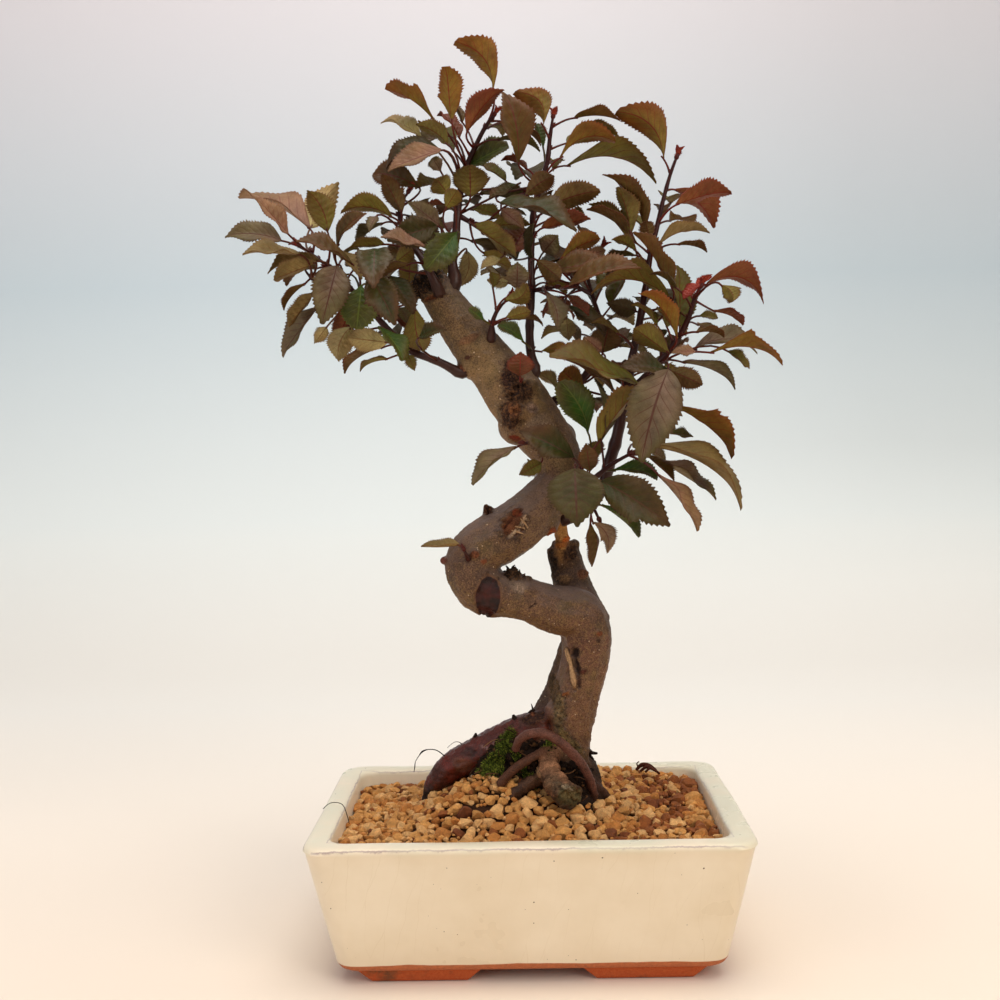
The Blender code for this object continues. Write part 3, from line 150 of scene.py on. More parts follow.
@dataclass(frozen=True)
class Leaf:
    """A leaf, laid out as listed.

    The blade runs from its base (u0, v0, y0) to its tip (u1, v1, y1). The width is
    the one that the eye sees, face is 1 where the upper face is turned to the eye and
    -1 where the underside is, and bow is how far the rib bends to the right.
    """

    u0: float
    v0: float
    y0: float
    u1: float
    v1: float
    y1: float
    width: float
    face: int
    bow: float
    tone: str

    def placed(self) -> "Blade":
        """Turn the leaf's place on the upright plane into a blade in space."""
        base = seen(self.u0, self.v0, self.y0)
        tip = seen(self.u1, self.v1, self.y1)
        chord = tip - base
        forward = chord.normalized()
        sight = ((base + tip) / 2 - EYE).normalized()
        facing = (sight - forward * sight.dot(forward)).normalized() * -self.face
        edge_up = forward.cross(sight).normalized()
        if edge_up.z < 0:
            edge_up = -edge_up
        width = max(self.width, LEAF_RATIO * chord.length)
        lean = math.acos(min(1.0, self.width / width))
        up = facing * math.cos(lean) + edge_up * math.sin(lean)
        bow = sight.cross(forward).normalized() * self.bow
        arch = up - facing * up.dot(facing)
        bow -= arch * ARCH * chord.length
        return Blade(base, base, tip, up, width, bow, Tone[self.tone.upper()])


@dataclass(frozen=True)
class Shoot:
    """A leafy shoot: its stems as knots (u, v, depth, radius), and the leaves laid out on it."""

    name: str
    stems: list[list[Knot]]
    rows: list[tuple[float | str, ...]]

    @property
    def leaves(self) -> list[Leaf]:
        """The leaves, one for each row."""
        return [Leaf(*row) for row in self.rows]


@dataclass(frozen=True)
class Blade:
    """A leaf in space: the root of its stalk, base, tip, upward direction, width, bow and tone."""

    root: Vector
    base: Vector
    tip: Vector
    up: Vector
    width: float
    bow: Vector
    tone: Tone

    def moved(self, nudge: Vector, share: float) -> "Blade":
        """The same blade with its tip moved by a nudge and its base by a share of it."""
        return replace(self, base=self.base + nudge * share, tip=self.tip + nudge)

    def axes(self) -> tuple[Vector, Vector, Vector]:
        """The blade's chord, its direction across and its upward direction."""
        chord = self.tip - self.base
        right = chord.normalized().cross(self.up).normalized()
        return chord, right, right.cross(chord.normalized()).normalized()

    def surface(self, along: Numbers, across: Numbers, half: Numbers, raise_by: Numbers) -> Numbers:
        """Points of the blade's curved surface.

        Args:
            along: Shares of the way from base to tip.
            across: Shares of the half width, negative to the left.
            half: Half the blade's outline at each place, as a share of half its width.
            raise_by: How far above the middle surface each point is, in millimetres.

        Returns:
            The points, one row each.
        """
        chord, right, up = self.axes()
        bend = 4 * along * (1 - along)
        reach = across * half
        lift = ARCH * chord.length * bend + FOLD * np.abs(reach) * self.width + raise_by
        return (
            np.array(self.base) + np.outer(along, chord) + np.outer(reach * self.width / 2, right)
            + np.outer(lift, up) + np.outer(bend, self.bow))


# Each leaf is a row of the fields of Leaf
SHOOTS = [
    Shoot("left_shoot", [
        [(-22, 233.5, -5, 1.8), (-32.5, 237, -7, 1.6), (-44.5, 242, -9, 1.5), (-50.5, 248, -10, 1.4),
         (-57.5, 255.5, -11, 1.4), (-64.5, 264, -12, 1.2), (-70.5, 270, -12, 1.2), (-77.5, 277, -12, 1.0),
         (-83.5, 282, -12, 1.0), (-88.5, 285.5, -12, 0.8)],
        [(-57.5, 255.5, -11, 1.2), (-53, 262, -15, 1.0), (-55.5, 268, -19, 1.0), (-58.5, 272.5, -21, 0.8),
         (-57.5, 278.5, -22, 0.8)],
        [(-70.5, 270, -12, 0.8), (-77.5, 270.5, -14, 0.8), (-84, 272, -16, 0.8), (-87.5, 277.5, -16, 0.7)],
        [(-64.5, 264, -12, 1.0), (-68, 258.5, -10, 0.8), (-69.5, 253.5, -10, 0.8)]], [
        (-96, 288, -12, -119, 290.5, -18, 8, 1, 1.5, "mauve"),
        (-84, 292.5, -8, -112.5, 306, 6, 6, 1, 3, "rose"),
        (-91, 288.5, -14, -103.5, 303, -22, 5.5, 1, 0, "rose"),
        (-86, 295, -2, -74.5, 313.5, 8, 12.5, -1, -1.5, "pale"),
        (-77, 291, -14, -85, 308, -20, 10.5, -1, 2, "olive"),
        (-73.5, 285, -12, -61, 298, -20, 5, 1, -2, "bronze"),
        (-87.5, 285.5, -20, -110, 288, -28, 3.5, 1, 0, "tan"),
        (-80.5, 279.5, -16, -102.5, 276, -24, 5, -1, 1.5, "tan"),
        (-82, 279, -20, -99.5, 272.5, -32, 6.5, -1, 0, "tan"),
        (-67.5, 278, -18, -88.5, 287.5, -24, 4.5, 1, 1, "bronze"),
        (-74.5, 283, -14, -63.5, 272, -20, 5, 1, -1, "tan"),
        (-71.5, 275.5, -14.5, -84.5, 271.5, -25, 4.5, 1, 1, "green"),
        (-73, 276.5, -22, -79.5, 253.5, -30, 14, 1, 0, "mauve"),
        (-83.5, 266.5, -14, -94.5, 253, -18, 5, -1, 0, "tan"),
        (-82.5, 260.5, -10, -97.5, 241, -4, 6.5, 1, 0, "mauve"),
        (-64, 269.5, -24, -67, 252, -32, 14, 1, 0, "green"),
        (-71.5, 262, -10, -75.5, 248.5, -16, 8.5, -1, -2.5, "wine"),
        (-59, 271.5, -25, -49, 251.5, -31.5, 11.5, 1, -0.5, "deep"),
        (-52, 272.5, -18, -42.5, 257.5, -22, 7.5, 1, 0, "deep"),
        (-67.5, 251.5, -12, -72.5, 237.5, -10, 10.5, -1, 2, "pale"),
        (-79, 253, 2, -84.5, 246.5, 6, 5, -1, 0, "pale"),
        (-53.5, 245.5, -14, -69.5, 247.5, -20, 9, -1, 0, "pale"),
        (-57, 251.5, -16, -47, 238.5, -24, 6, 1, -1, "green"),
        (-42, 259.5, -12, -39, 241.5, -16, 10.5, -1, 1.5, "olive"),
        (-57.5, 283, -25, -57, 266, -34, 12.5, 1, 0, "deep"),
        (-45.5, 240.5, -10, -43, 234, -12, 4, 1, 0, "olive"),
        (-39.5, 246.5, -14, -29, 249, -20, 5, 1, -0.5, "deep")]),
    Shoot("crown_left_shoot", [
        [(-32, 265.5, -12, 1.8), (-35.5, 273, -13, 1.7), (-39.5, 280.5, -10, 1.6), (-44, 287, -4, 1.4),
         (-47, 293, -2, 1.2), (-47.5, 300, 0, 1.0), (-44, 306, 3, 0.9)]], [
        (-39, 308, 4, -58.5, 314, 10, 10.5, 1, 1.5, "bronze"),
        (-46.5, 298, -4, -54, 313.5, -6, 8, -1, 0, "bronze"),
        (-50.5, 296.5, -6, -71.5, 299, -12, 7, -1, 3, "olive"),
        (-32.5, 292.5, -16, -52.5, 287, -26, 11.5, 1, 0, "deep"),
        (-32.5, 295, -12, -45, 305.5, -20, 7, 1, 0, "mauve"),
        (-54, 285.5, -4, -68, 285, -8, 4, -1, 0, "olive"),
        (-56.5, 295, -10, -59, 289, -14, 3.5, 1, 0, "mauve"),
        (-49, 277.5, -6, -42, 282.5, -10, 6.5, -1, 0, "olive"),
        (-36.5, 282, -14, -53.5, 286, -20, 4, 1, 0, "rose")]),
    Shoot("crown_shoot", [
        [(-27.5, 267, -4, 2.3), (-26.5, 277.5, -3, 2.0), (-25, 287, -1, 1.9), (-24, 296.5, 1, 1.8),
         (-22.5, 306.5, 3, 1.7), (-20, 315.5, 4, 1.6), (-16.5, 323, 4, 1.6), (-12.5, 330.5, 2, 1.5),
         (-8.5, 336, 0, 1.4)],
        [(-24, 296.5, 1, 1.2), (-19, 293.5, 2, 1.0), (-14, 289.5, 1, 0.8)]], [
        (-24, 289, -12, -36.5, 274.5, -22, 11.5, 1, 0, "green"),
        (-27.5, 305, -6, -32.5, 311.5, -10, 9, -1, 0, "olive"),
        (-28, 297, -8, -23, 303.5, -12, 6.5, -1, 0, "olive"),
        (-20.5, 282, 6, -24.5, 267.5, 10, 8, -1, -2.5, "pale"),
        (-18.5, 303.5, -4, -18.5, 316.5, -10, 14, -1, 0, "olive"),
        (-8.5, 346, 0, -23, 366, 2, 10.5, -1, 5, "amber"),
        (-32.5, 335, 0, -52, 348, 4, 5, -1, 2, "amber"),
        (-25, 331.5, -2, -26.5, 353, -6, 9.5, -1, 0, "amber"),
        (-19.5, 329.5, -4, -4.5, 345.5, -8, 8, -1, -1.5, "wine"),
        (-38, 328, 6, -54, 335.5, 12, 5, 1, 1.5, "pale"),
        (-27, 324, 0, -39.5, 332, 4, 6.5, -1, 1.5, "olive"),
        (-30, 323, -8, -52, 315.5, -14, 7, 1, 0, "rose"),
        (-23, 317.5, -4, -3, 328, -12, 8, 1, 0, "green"),
        (-28, 328.5, 10, -44, 324.5, 14, 4, 1, 0.5, "mauve"),
        (-30.5, 323, -2, -52.5, 316, 0, 5, 1, 4.5, "deep"),
        (-30.5, 314.5, -6, -34, 321, -8, 5, 1, 0, "mauve"),
        (-4, 310, 12, -14, 317, 18, 3.5, 1, 0, "olive"), (0.5, 308.5, -6, -11, 304, -12, 4, 1, 0, "deep"),
        (-17.5, 292.5, -8, 0, 279.5, -16, 7.5, -1, 0, "olive"),
        (-14.5, 282, -4, -2.5, 275, -8, 5.5, -1, 0, "olive"),
        (-7, 278.5, -10, -15, 275, -14, 3.5, 1, 0, "pale"),
        (-18.5, 301, -4, -6.5, 297.5, -8, 5, 1, -1, "olive")]),
    Shoot("tall_shoot", [
        [(3, 228.5, -2, 1.8), (4.5, 241, 1, 1.8), (4.5, 253.5, 4, 1.8), (5.5, 265.5, 6, 1.7),
         (5.5, 275.5, 7, 1.6), (6, 286.5, 8, 1.6), (7, 297.5, 7, 1.6), (10, 307.5, 6, 1.6),
         (13, 317.5, 5, 1.6), (14, 325.5, 5, 1.5), (15.5, 334.5, 4, 1.0)],
        [(5.5, 265.5, 6, 1.0), (10, 265.5, 2, 1.0), (15.5, 266.5, -2, 0.8)],
        [(10, 307.5, 6, 1.0), (5, 305, 3, 0.8), (1, 303, 1, 0.7)]], [
        (1, 317, -10, -4, 345.5, -16, 12, 1, 2, "bronze"),
        (11.5, 331.5, 2, 1, 345, 6, 10.5, -1, 5, "amber"),
        (18, 318.5, 4, 40, 325.5, 8, 7.5, -1, -4.5, "amber"),
        (21.5, 318, 6, 58.5, 311, 14, 6, -1, -7, "olive"),
        (11.5, 320, 12, 9, 329.5, 14, 4, 1, 0, "green"),
        (3.5, 306, 0, 15.5, 314.5, -4, 8.5, -1, -1, "bronze"),
        (13, 299, 4, 34, 305, 2, 10.5, -1, -1, "bronze"),
        (-6.5, 301, -12, 24.5, 290, -18, 6.5, 1, -1.5, "deep"),
        (-6, 299, -6, 3, 291.5, -10, 5.5, 1, 0, "rose"), (10, 290.5, 2, 30, 294, -2, 6, -1, 0, "wine"),
        (-9.5, 291.5, 8, 5.5, 291.5, 10, 6.5, -1, 0, "olive"),
        (10.5, 280.5, 6, 16.5, 286.5, 4, 9, 1, 0, "mauve"),
        (7.5, 276, 2, 17, 267.5, -2, 7.5, -1, 0, "bronze"),
        (-0.5, 266, -14, 0, 277, -18, 9, 1, 0, "mauve"),
        (-3.5, 268.5, 4, -12.5, 270, 6, 5, -1, 0, "pale"),
        (11.5, 264, -12, 16, 250, -20, 7, 1, -1.5, "mauve"),
        (20, 263.5, -6, 29, 255.5, -12, 4, 1, 0, "wine"),
        (19.5, 254.5, 2, 20.5, 245, 4, 7, -1, 0, "pale"),
        (0, 230.5, -13, 0.5, 240, -15, 10, 1, 0, "wine"),
        (2, 242, -10, -8.5, 248.5, -14, 5, 1, 1, "green"),
        (8.5, 240.5, 2, 20, 238.5, -4, 6.5, -1, -2, "amber")]),
    Shoot("crotch_spur", [
        [(-12.5, 245, -7, 1.5), (-11, 251.5, -12, 1.2), (-9, 257, -14, 1.0), (-5, 261.5, -15, 0.8)]], [
        (-6, 262, -20, 4, 268.5, -26, 6.5, -1, 3, "olive"),
        (-5.5, 254, -18, 5, 256.5, -22, 5, -1, 0, "olive"),
        (-14, 254, -18, -20.5, 259, -22, 3.5, 1, 0, "green")]),
    Shoot("centre_shoot", [
        [(13.5, 220, 12, 1.8), (22.5, 225.5, 15, 1.6), (28.5, 233.5, 17, 1.6), (32, 242.5, 18, 1.4),
         (33, 252.5, 18, 1.4), (30, 263, 16, 1.2), (28.5, 273, 14, 1.1), (33.5, 281, 14, 0.8)],
        [(30, 263, 16, 1.0), (24.5, 266.5, 8, 0.8), (21, 271.5, 2, 0.8)]], [
        (45, 285.5, 12, 30, 300, 16, 5, -1, 1.5, "olive"),
        (17.5, 278, 0, 33.5, 286, -4, 7, -1, -1, "amber"),
        (27.5, 278.5, 10, 36, 281, 12, 5, 1, 0, "rose"),
        (13, 273.5, -6, 37.5, 277, -14, 8, 1, 0, "bronze"),
        (20.5, 266, -10, 48.5, 273.5, -20, 7, 1, -1, "bronze"),
        (19.5, 260, -10, 36.5, 248.5, -18, 6, 1, -1, "deep"),
        (34, 239.5, 2, 36.5, 250, 0, 12.5, -1, 0, "bronze"),
        (33.5, 240, -2, 26.5, 246, -4, 5, 1, 0, "rose"),
        (38.5, 223.5, -8, 19, 237, -16, 5, 1, 1.5, "bronze"),
        (26.5, 223.5, -2, 17.5, 232.5, -6, 10, -1, 0, "amber"),
        (15.5, 224.5, 8, 6.5, 231.5, 12, 4.5, -1, 1.5, "pale")]),
    Shoot("right_shoot", [
        [(21.5, 172.5, 0.5, 2.5), (27.5, 177, 0, 2.6), (33, 185, -3, 2.5), (36, 195, -5, 2.5),
         (39, 204.5, -6, 2.5), (42, 218, -6, 2.3), (45, 232, -6, 2.0), (47.5, 244.5, -5, 1.8),
         (50, 255.5, -3, 1.8), (52, 266.5, -1, 1.7), (54, 278.5, 0, 1.6), (57, 290.5, 1, 1.5),
         (59.5, 300.5, 2, 1.4), (62.5, 310.5, 3, 1.3), (65, 317, 3, 1.0)]], [
        (60, 317, 4, 42, 336.5, 8, 12.5, -1, 5.5, "amber"),
        (64.5, 298.5, -2, 87, 303.5, -6, 7.5, -1, -1, "wine"),
        (52, 290, 0, 36, 312, -4, 6, -1, 3, "bronze"), (45.5, 286, 4, 40.5, 304, 6, 7.5, -1, 1, "olive"),
        (57.5, 283, 2, 78, 287, 6, 3.5, -1, -3, "tan"),
        (53, 283.5, -6, 51, 290.5, -8, 5.5, -1, 0, "bronze"),
        (61.5, 263, -8, 46, 285.5, -10, 5, -1, 1, "bronze"),
        (61.5, 262, -14, 30.5, 266.5, -22, 7.5, -1, 5.5, "olive"),
        (48.5, 226, -22, 13, 240, -32, 7.5, 1, 0, "olive"),
        (48, 280.5, -4, 38.5, 285.5, -8, 4, -1, 1, "olive"),
        (48, 256, 4, 36, 259.5, 8, 7.5, -1, 0, "deep")]),
    Shoot("outer_right_shoot", [
        [(46, 223, -11, 1.6), (51, 229, -16, 1.6), (55.5, 233.5, -20, 1.6), (60.5, 239, -22, 1.6),
         (65, 245, -23, 1.6), (69, 252.5, -24, 1.6), (71.5, 260, -25, 1.4), (74, 265, -25, 1.2)]], [
        (76.5, 266.5, -24, 100, 259, -28, 7.5, -1, -6, "wine"),
        (80.5, 264, -26, 84.5, 257, -28, 6, -1, -1.5, "olive"),
        (65.5, 249.5, -10, 65.5, 274.5, -6, 8, 1, 0, "olive"),
        (64.5, 244.5, -26, 50, 263.5, -34, 6, -1, 2.5, "amber"),
        (60.5, 238.5, -22, 46, 249, -30, 9, -1, 0, "olive"),
        (72, 240.5, -26, 99, 240, -30, 6.5, 1, -4, "mauve"),
        (77.5, 238.5, -30, 106, 234, -34, 3, -1, -4, "amber"),
        (85, 239, -18, 94, 232, -14, 3.5, 1, 0, "olive"),
        (73.5, 253.5, -22, 81, 252.5, -22, 3, 1, -0.5, "olive"),
        (71.5, 239, -32, 62, 239, -34, 3.5, 1, 0, "rose"),
        (73.5, 266.5, -28, 67, 260.5, -32, 3.5, 1, 0, "red"),
        (74, 267, -24, 81, 271.5, -22, 2.5, 1, 0, "red"),
        (60.5, 232, -28, 74.5, 225.5, -32, 8, -1, 0, "bronze"),
        (60.5, 232, -32, 41.5, 234.5, -38, 7.5, 1, 0, "deep"),
        (60.5, 232, -36, 49, 195, -44, 20, 1, 1, "mauve"),
        (62, 217.5, -20, 87, 196.5, -26, 6, -1, -2.5, "amber"),
        (60, 206.5, -16, 71, 204.5, -16, 3, 1, 0, "olive")]),
    Shoot("low_right_shoot", [
        [(19, 177.5, -12, 1.6), (23.5, 183, -20, 1.6), (30.5, 189, -25, 1.4), (37, 194, -27, 1.2),
         (43.5, 197.5, -27, 1.0), (50, 200.5, -27, 0.8)],
        [(23.5, 183, -20, 1.2), (28.5, 177, -24, 1.0), (31, 172, -26, 0.8)],
        [(23.5, 183, -20, 1.2), (24.5, 192, -24, 1.0), (26.5, 199, -22, 0.8)]], [
        (27.5, 207, -12, 16.5, 228, -18, 13, 1, 2, "green"),
        (31.5, 204, -28, 51.5, 229, -34, 7, -1, -2, "olive"),
        (53.5, 201, -30, 91, 176.5, -36, 4.5, 1, -5, "tan"),
        (58, 195, -24, 81, 179.5, -28, 4, 1, 0, "mauve"),
        (51.5, 197.5, -26, 62.5, 187, -30, 3, 1, 0, "bronze"),
        (55, 189.5, -30, 70.5, 167, -36, 4, 1, -1, "rose"),
        (32.5, 187, -34, 60, 168.5, -44, 15.5, 1, -1, "deep"),
        (52.5, 200.5, -20, 61, 195, -22, 4, 1, 0, "mauve"),
        (27.5, 195.5, -24, 26, 208, -26, 7.5, 1, 0, "bronze"),
        (21.5, 197, -22, 0, 208.5, -28, 11.5, 1, 0.5, "deep"),
        (21.5, 192.5, -36, 22, 169.5, -44, 21, 1, 0, "dusk"),
        (28.5, 170.5, -30, 34.5, 157.5, -32, 6, -1, -3, "rose"),
        (28, 169, -26, 28, 151, -28, 4.5, -1, -2.5, "bronze"),
        (33, 173, -28, 48.5, 158, -34, 3.5, 1, -1, "green"),
        (37, 191.5, -16, 55.5, 188.5, -20, 5.5, 1, -1.5, "green")]),
    Shoot("trunk_spur", [
        [(8, 203, -13, 1.2), (5, 203.5, -16, 1.0), (1, 203.5, -17, 0.8)]], [
        (-2, 202, -16, -20.5, 187, -24, 5.5, 1, 1, "mauve"),
        (8, 195, -14, -1, 190.5, -18, 6, 1, 0, "olive")]),
    Shoot("limb_leaf", [
        [(-23, 156, -24, 1.0), (-24.5, 160, -27, 0.8)]], [
        (-26.5, 162.5, -27, -42, 162, -22, 2.5, 1, -0.5, "tan")]),
]


# Leaves that follow the spiral of an apple shoot, mostly on its far side: shoot name,
# stem number, how many, their length and the turn at which the spiral starts. The first
# rows are in the solid model too, and the rest fill the crown between them.
SPIRALS = [
    ("left_shoot", 0, 3, 23, 0.4), ("crown_left_shoot", 0, 2, 24, 1.9),
    ("crown_shoot", 0, 4, 25, 0.9), ("tall_shoot", 0, 4, 27, 2.6),
    ("centre_shoot", 0, 3, 27, 0.2), ("right_shoot", 0, 4, 28, 1.4),
    ("outer_right_shoot", 0, 2, 25, 3.0), ("low_right_shoot", 0, 1, 26, 0.0),
    ("left_shoot", 0, 9, 17, 2.2), ("left_shoot", 1, 3, 15, 0.3),
    ("crown_left_shoot", 0, 8, 17, 0.2), ("crown_shoot", 0, 11, 19, 2.4),
    ("crown_shoot", 1, 4, 14, 1.1), ("tall_shoot", 0, 10, 19, 0.6),
    ("tall_shoot", 1, 3, 14, 2.0), ("tall_shoot", 2, 3, 14, 0.1),
    ("centre_shoot", 0, 8, 18, 1.3), ("centre_shoot", 1, 3, 14, 0.5),
    ("right_shoot", 0, 9, 18, 0.3), ("outer_right_shoot", 0, 7, 17, 1.5),
    ("low_right_shoot", 0, 5, 17, 1.1), ("crotch_spur", 0, 3, 13, 0.9),
    ("left_shoot", 0, 14, 15, 4.1), ("left_shoot", 2, 4, 14, 1.0), ("left_shoot", 3, 4, 14, 2.6),
    ("crown_left_shoot", 0, 12, 15, 3.3), ("crown_shoot", 0, 16, 15, 5.0),
    ("tall_shoot", 0, 14, 16, 3.8), ("centre_shoot", 0, 12, 15, 4.4),
    ("right_shoot", 0, 12, 15, 5.2), ("outer_right_shoot", 0, 8, 15, 4.6),
]
SOLID_SPIRALS = 8              # how many of those rows the solid model has

# The shoot that springs from another shoot's stem
BEARERS = {"outer_right_shoot": "right_shoot"}

# Trunk and roots: knots (u, v, depth, radius)
TRUNK = [
    (16, 55, 2, 11.5), (16, 64.5, 1, 10), (17, 79.5, 1, 9), (20, 97, 2, 10),
    (24.5, 113.5, 3, 10.2), (25, 125, 2, 10.8), (21.5, 132.8, 0, 10.8), (11.5, 134.8, -4, 10.2),
    (2.5, 138.6, -7, 8.9), (-6.5, 140.8, -9, 9), (-15.5, 142.8, -11, 10.2), (-22, 150.5, -12, 10.5),
    (-20, 159, -11, 10.5), (-10.5, 164.5, -9, 11.4), (-0.5, 170.8, -6, 11), (7.5, 178.5, -3, 9.8),
    (15.5, 188, 0, 9.5), (13.5, 200, 1, 10.5), (6, 210.5, 1, 12), (-2.3, 223, 0, 12.5),
    (-11.5, 235.5, -1, 10.5), (-20, 246.5, -2, 10), (-28, 258, -3, 8.5), (-35, 269, -4, 7),
]
LIMBS = {
    "old stump": [(27, 127, 6, 9.5), (22, 138.5, 11, 8.6), (18.6, 149, 13, 7.6), (15.8, 160.8, 14, 6.8)],
    "torn strip": [(15.8, 157, 10, 3.2), (15.8, 166.5, 5, 2.8), (15.3, 176.5, 1, 2.6)],
    "rear ridge": [(20, 122, 8, 5.5), (15, 111.5, 9, 4), (10, 99.5, 7, 3.5), (4, 88, 5, 4.5)],
    "left root": [
        (7.5, 86, 2, 7.2), (-2, 84.2, 2, 7), (-11, 80.5, 3, 6.9), (-19, 76.3, 4, 6.9),
        (-26.5, 72.4, 4, 6.9), (-33, 68.4, 5, 6.3), (-38, 63.6, 5, 4.6), (-41, 57, 6, 3.2),
        (-42, 50, 6, 2.6)],
    "arch root": [
        (-5, 76.5, -12, 2.2), (-3.6, 80.4, -15, 2.3), (0.5, 83.2, -17, 2.4), (7, 83.4, -17, 2.5),
        (12.8, 80, -17, 2.5), (18.2, 75, -15, 2.5), (22.6, 69.8, -13, 2.4), (26, 62.5, -11, 2.2),
        (27.5, 56, -9, 2)],
    "small root": [
        (-12, 62, -13, 2.2), (-7, 67.4, -14, 2.1), (-2, 71.2, -14, 2), (3.4, 74.2, -13, 2),
        (10, 78, -8, 2)],
    "front stub": [
        (9, 78, -4, 4.6), (8.6, 68, -13, 4.6), (11.5, 62.2, -18, 5), (15.5, 57.8, -22, 5.6),
        (18.3, 55.4, -24.5, 6.2)],
    "right root": [(18, 68, -4, 4), (25, 62, -4, 2.8), (32, 56.5, 0, 2.2), (38, 49, 4, 1.8)],
    "low left root": [(8, 66, -8, 4), (-2.5, 61, -14, 2.6), (-10, 55, -16, 2.2)],
    "dark knob": [(20, 72, 2, 5), (25, 69, 2, 4), (27, 62, 2, 4)],
    "back root": [(16, 70, 8, 5), (22, 65, 18, 4), (31.2, 58, 29, 2.7), (37, 49, 36, 2)],
    "root ball": [(14, 70, 2, 9), (14, 62, 1, 15), (14, 50, 1, 20), (14, 38, 1, 18), (14, 27, 1, 9)],
}
# Burls and old cut stubs: (u, v, depth, radius)
BURLS = [
    (-21.5, 141.5, -12, 6), (1, 142.5, -12, 4.5), (-25.5, 156.5, -15, 4.4), (-32, 156, -12, 1.9),
    (-14.6, 176.5, -9, 2), (-2, 216, -9, 5), (3, 226, -7, 5), (17, 206, 4, 5.5),
    (30.5, 128, 1, 2), (9, 172, -4, 6.5), (25, 132, 4, 8), (12, 92, 0, 5),
    (-1.5, 210.5, -3, 8), (-18.5, 236.5, -3, 7),
]
# The broken rim round the trunk's top, where the old leader was cut away, and a dead twig's nub
KNOBS = [
    (-42, 266.5, -4, 3.3), (-38.5, 271, -4, 3.6), (-33.5, 272.8, -3, 3.2), (-43.2, 262.5, -3, 2.4),
    (-21.5, 82.2, 3, 1.1), (-36, 270, 4, 3.4), (-5.4, 149.6, -9, 1.9), (-1.8, 148.4, -8, 1.5),
]


def add_node(
        tree: bpy.types.NodeTree, kind: str, inputs: dict[str | int, object] | None = None,
        **settings: object) -> bpy.types.Node:
    """Add a node to a material, with its settings, values and links.

    Args:
        tree: The material's node tree.
        kind: The node's type, without the word ShaderNode.
        inputs: For each input a value, a hex colour, another node or one of its sockets. A
            node stands for its first socket in use.
        settings: The node's own properties.

    Returns:
        The new node.
    """
    node = tree.nodes.new("ShaderNode" + kind)
    for name, value in settings.items():
        setattr(node, name, value)
    for key, value in (inputs or {}).items():
        if isinstance(value, bpy.types.Node):
            value = next(socket for socket in value.outputs if socket.enabled)
        if isinstance(value, bpy.types.NodeSocket):
            tree.links.new(value, node.inputs[key])
        else:
            node.inputs[key].default_value = linear(value) if isinstance(value, str) else value
    return node


def new_material(name: str) -> tuple[bpy.types.Material, AddNode, bpy.types.NodeSocket]:
    """Make an empty material.

    Args:
        name: The material's name.

    Returns:
        The material, the function that adds a node to it, and its Object coordinates.
    """
    material = bpy.data.materials.new(name)
    material.use_nodes = True
    material.node_tree.nodes.clear()
    add = partial(add_node, material.node_tree)
    return material, add, add("TexCoord").outputs["Object"]


def deselect_all() -> None:
    """Deselect every object."""
    bpy.ops.object.select_all(action="DESELECT")


def make_active(obj: bpy.types.Object) -> None:
    """Select one object alone and make it the active one."""
    deselect_all()
    obj.select_set(True)
    bpy.context.view_layer.objects.active = obj


def apply_modifier(obj: bpy.types.Object, kind: str, **settings: object) -> None:
    """Add a modifier to an object and apply it.

    Args:
        obj: The object.
        kind: The modifier's type.
        settings: The modifier's own properties.
    """
    make_active(obj)
    modifier = obj.modifiers.new(kind, kind)
    for name, value in settings.items():
        setattr(modifier, name, value)
    bpy.ops.object.modifier_apply(modifier=modifier.name)


def turn_out() -> None:
    """Turn all faces outwards and leave edit mode."""
    bpy.ops.mesh.select_all(action="SELECT")
    bpy.ops.mesh.normals_make_consistent(inside=False)
    bpy.ops.object.mode_set(mode="OBJECT")


def select_edges(obj: bpy.types.Object, wanted: Callable[[bmesh.types.BMEdge], bool]) -> None:
    """Select, in edit mode, the edges that a test picks."""
    bm = bmesh.from_edit_mesh(obj.data)
    for edge in bm.edges:
        edge.select_set(False)
    for edge in bm.edges:
        if wanted(edge):
            edge.select_set(True)
    bm.select_flush_mode()
    bmesh.update_edit_mesh(obj.data)


def smooth_below(obj: bpy.types.Object, degrees: float) -> None:
    """Shade an object smooth, apart from edges sharper than an angle."""
    make_active(obj)
    bpy.ops.object.shade_smooth_by_angle(angle=math.radians(degrees))


def cut_away(obj: bpy.types.Object, tool: bpy.types.Object, operation: str = "DIFFERENCE") -> None:
    """Cut one object from another, or join them, and drop the first one.

    Args:
        obj: The object that stays.
        tool: The object that is cut from it or joined to it.
        operation: The Boolean modifier's operation.
    """
    apply_modifier(obj, "BOOLEAN", operation=operation, object=tool, solver="EXACT")
    bpy.data.objects.remove(tool, do_unlink=True)


def points_of(mesh: bpy.types.Mesh) -> Numbers:
    """The vertices of a mesh as rows of coordinates."""
    found = np.empty(len(mesh.vertices) * 3, np.float64)
    mesh.vertices.foreach_get("co", found)
    return found.reshape(-1, 3)


def move_points(mesh: bpy.types.Mesh, points: Numbers) -> None:
    """Put the vertices of a mesh at new coordinates."""
    mesh.vertices.foreach_set("co", np.asarray(points, np.float32).ravel())
    mesh.update()


def faces_of(mesh: bpy.types.Mesh) -> Numbers:
    """The faces of a mesh as rows of vertex numbers, all with as many corners."""
    return np.array([tuple(face.vertices) for face in mesh.polygons])


def taken_apart(obj: bpy.types.Object) -> tuple[Numbers, Numbers]:
    """The points and faces of an object, which is removed."""
    found = points_of(obj.data), faces_of(obj.data)
    bpy.data.objects.remove(obj, do_unlink=True)
    return found


def unit_ball(fineness: int) -> tuple[Numbers, Numbers]:
    """Model a ball of radius 1, for lumps of all kinds, and take it apart."""
    deselect_all()
    bpy.ops.mesh.primitive_ico_sphere_add(subdivisions=fineness, radius=1.0)
    return taken_apart(bpy.context.object)


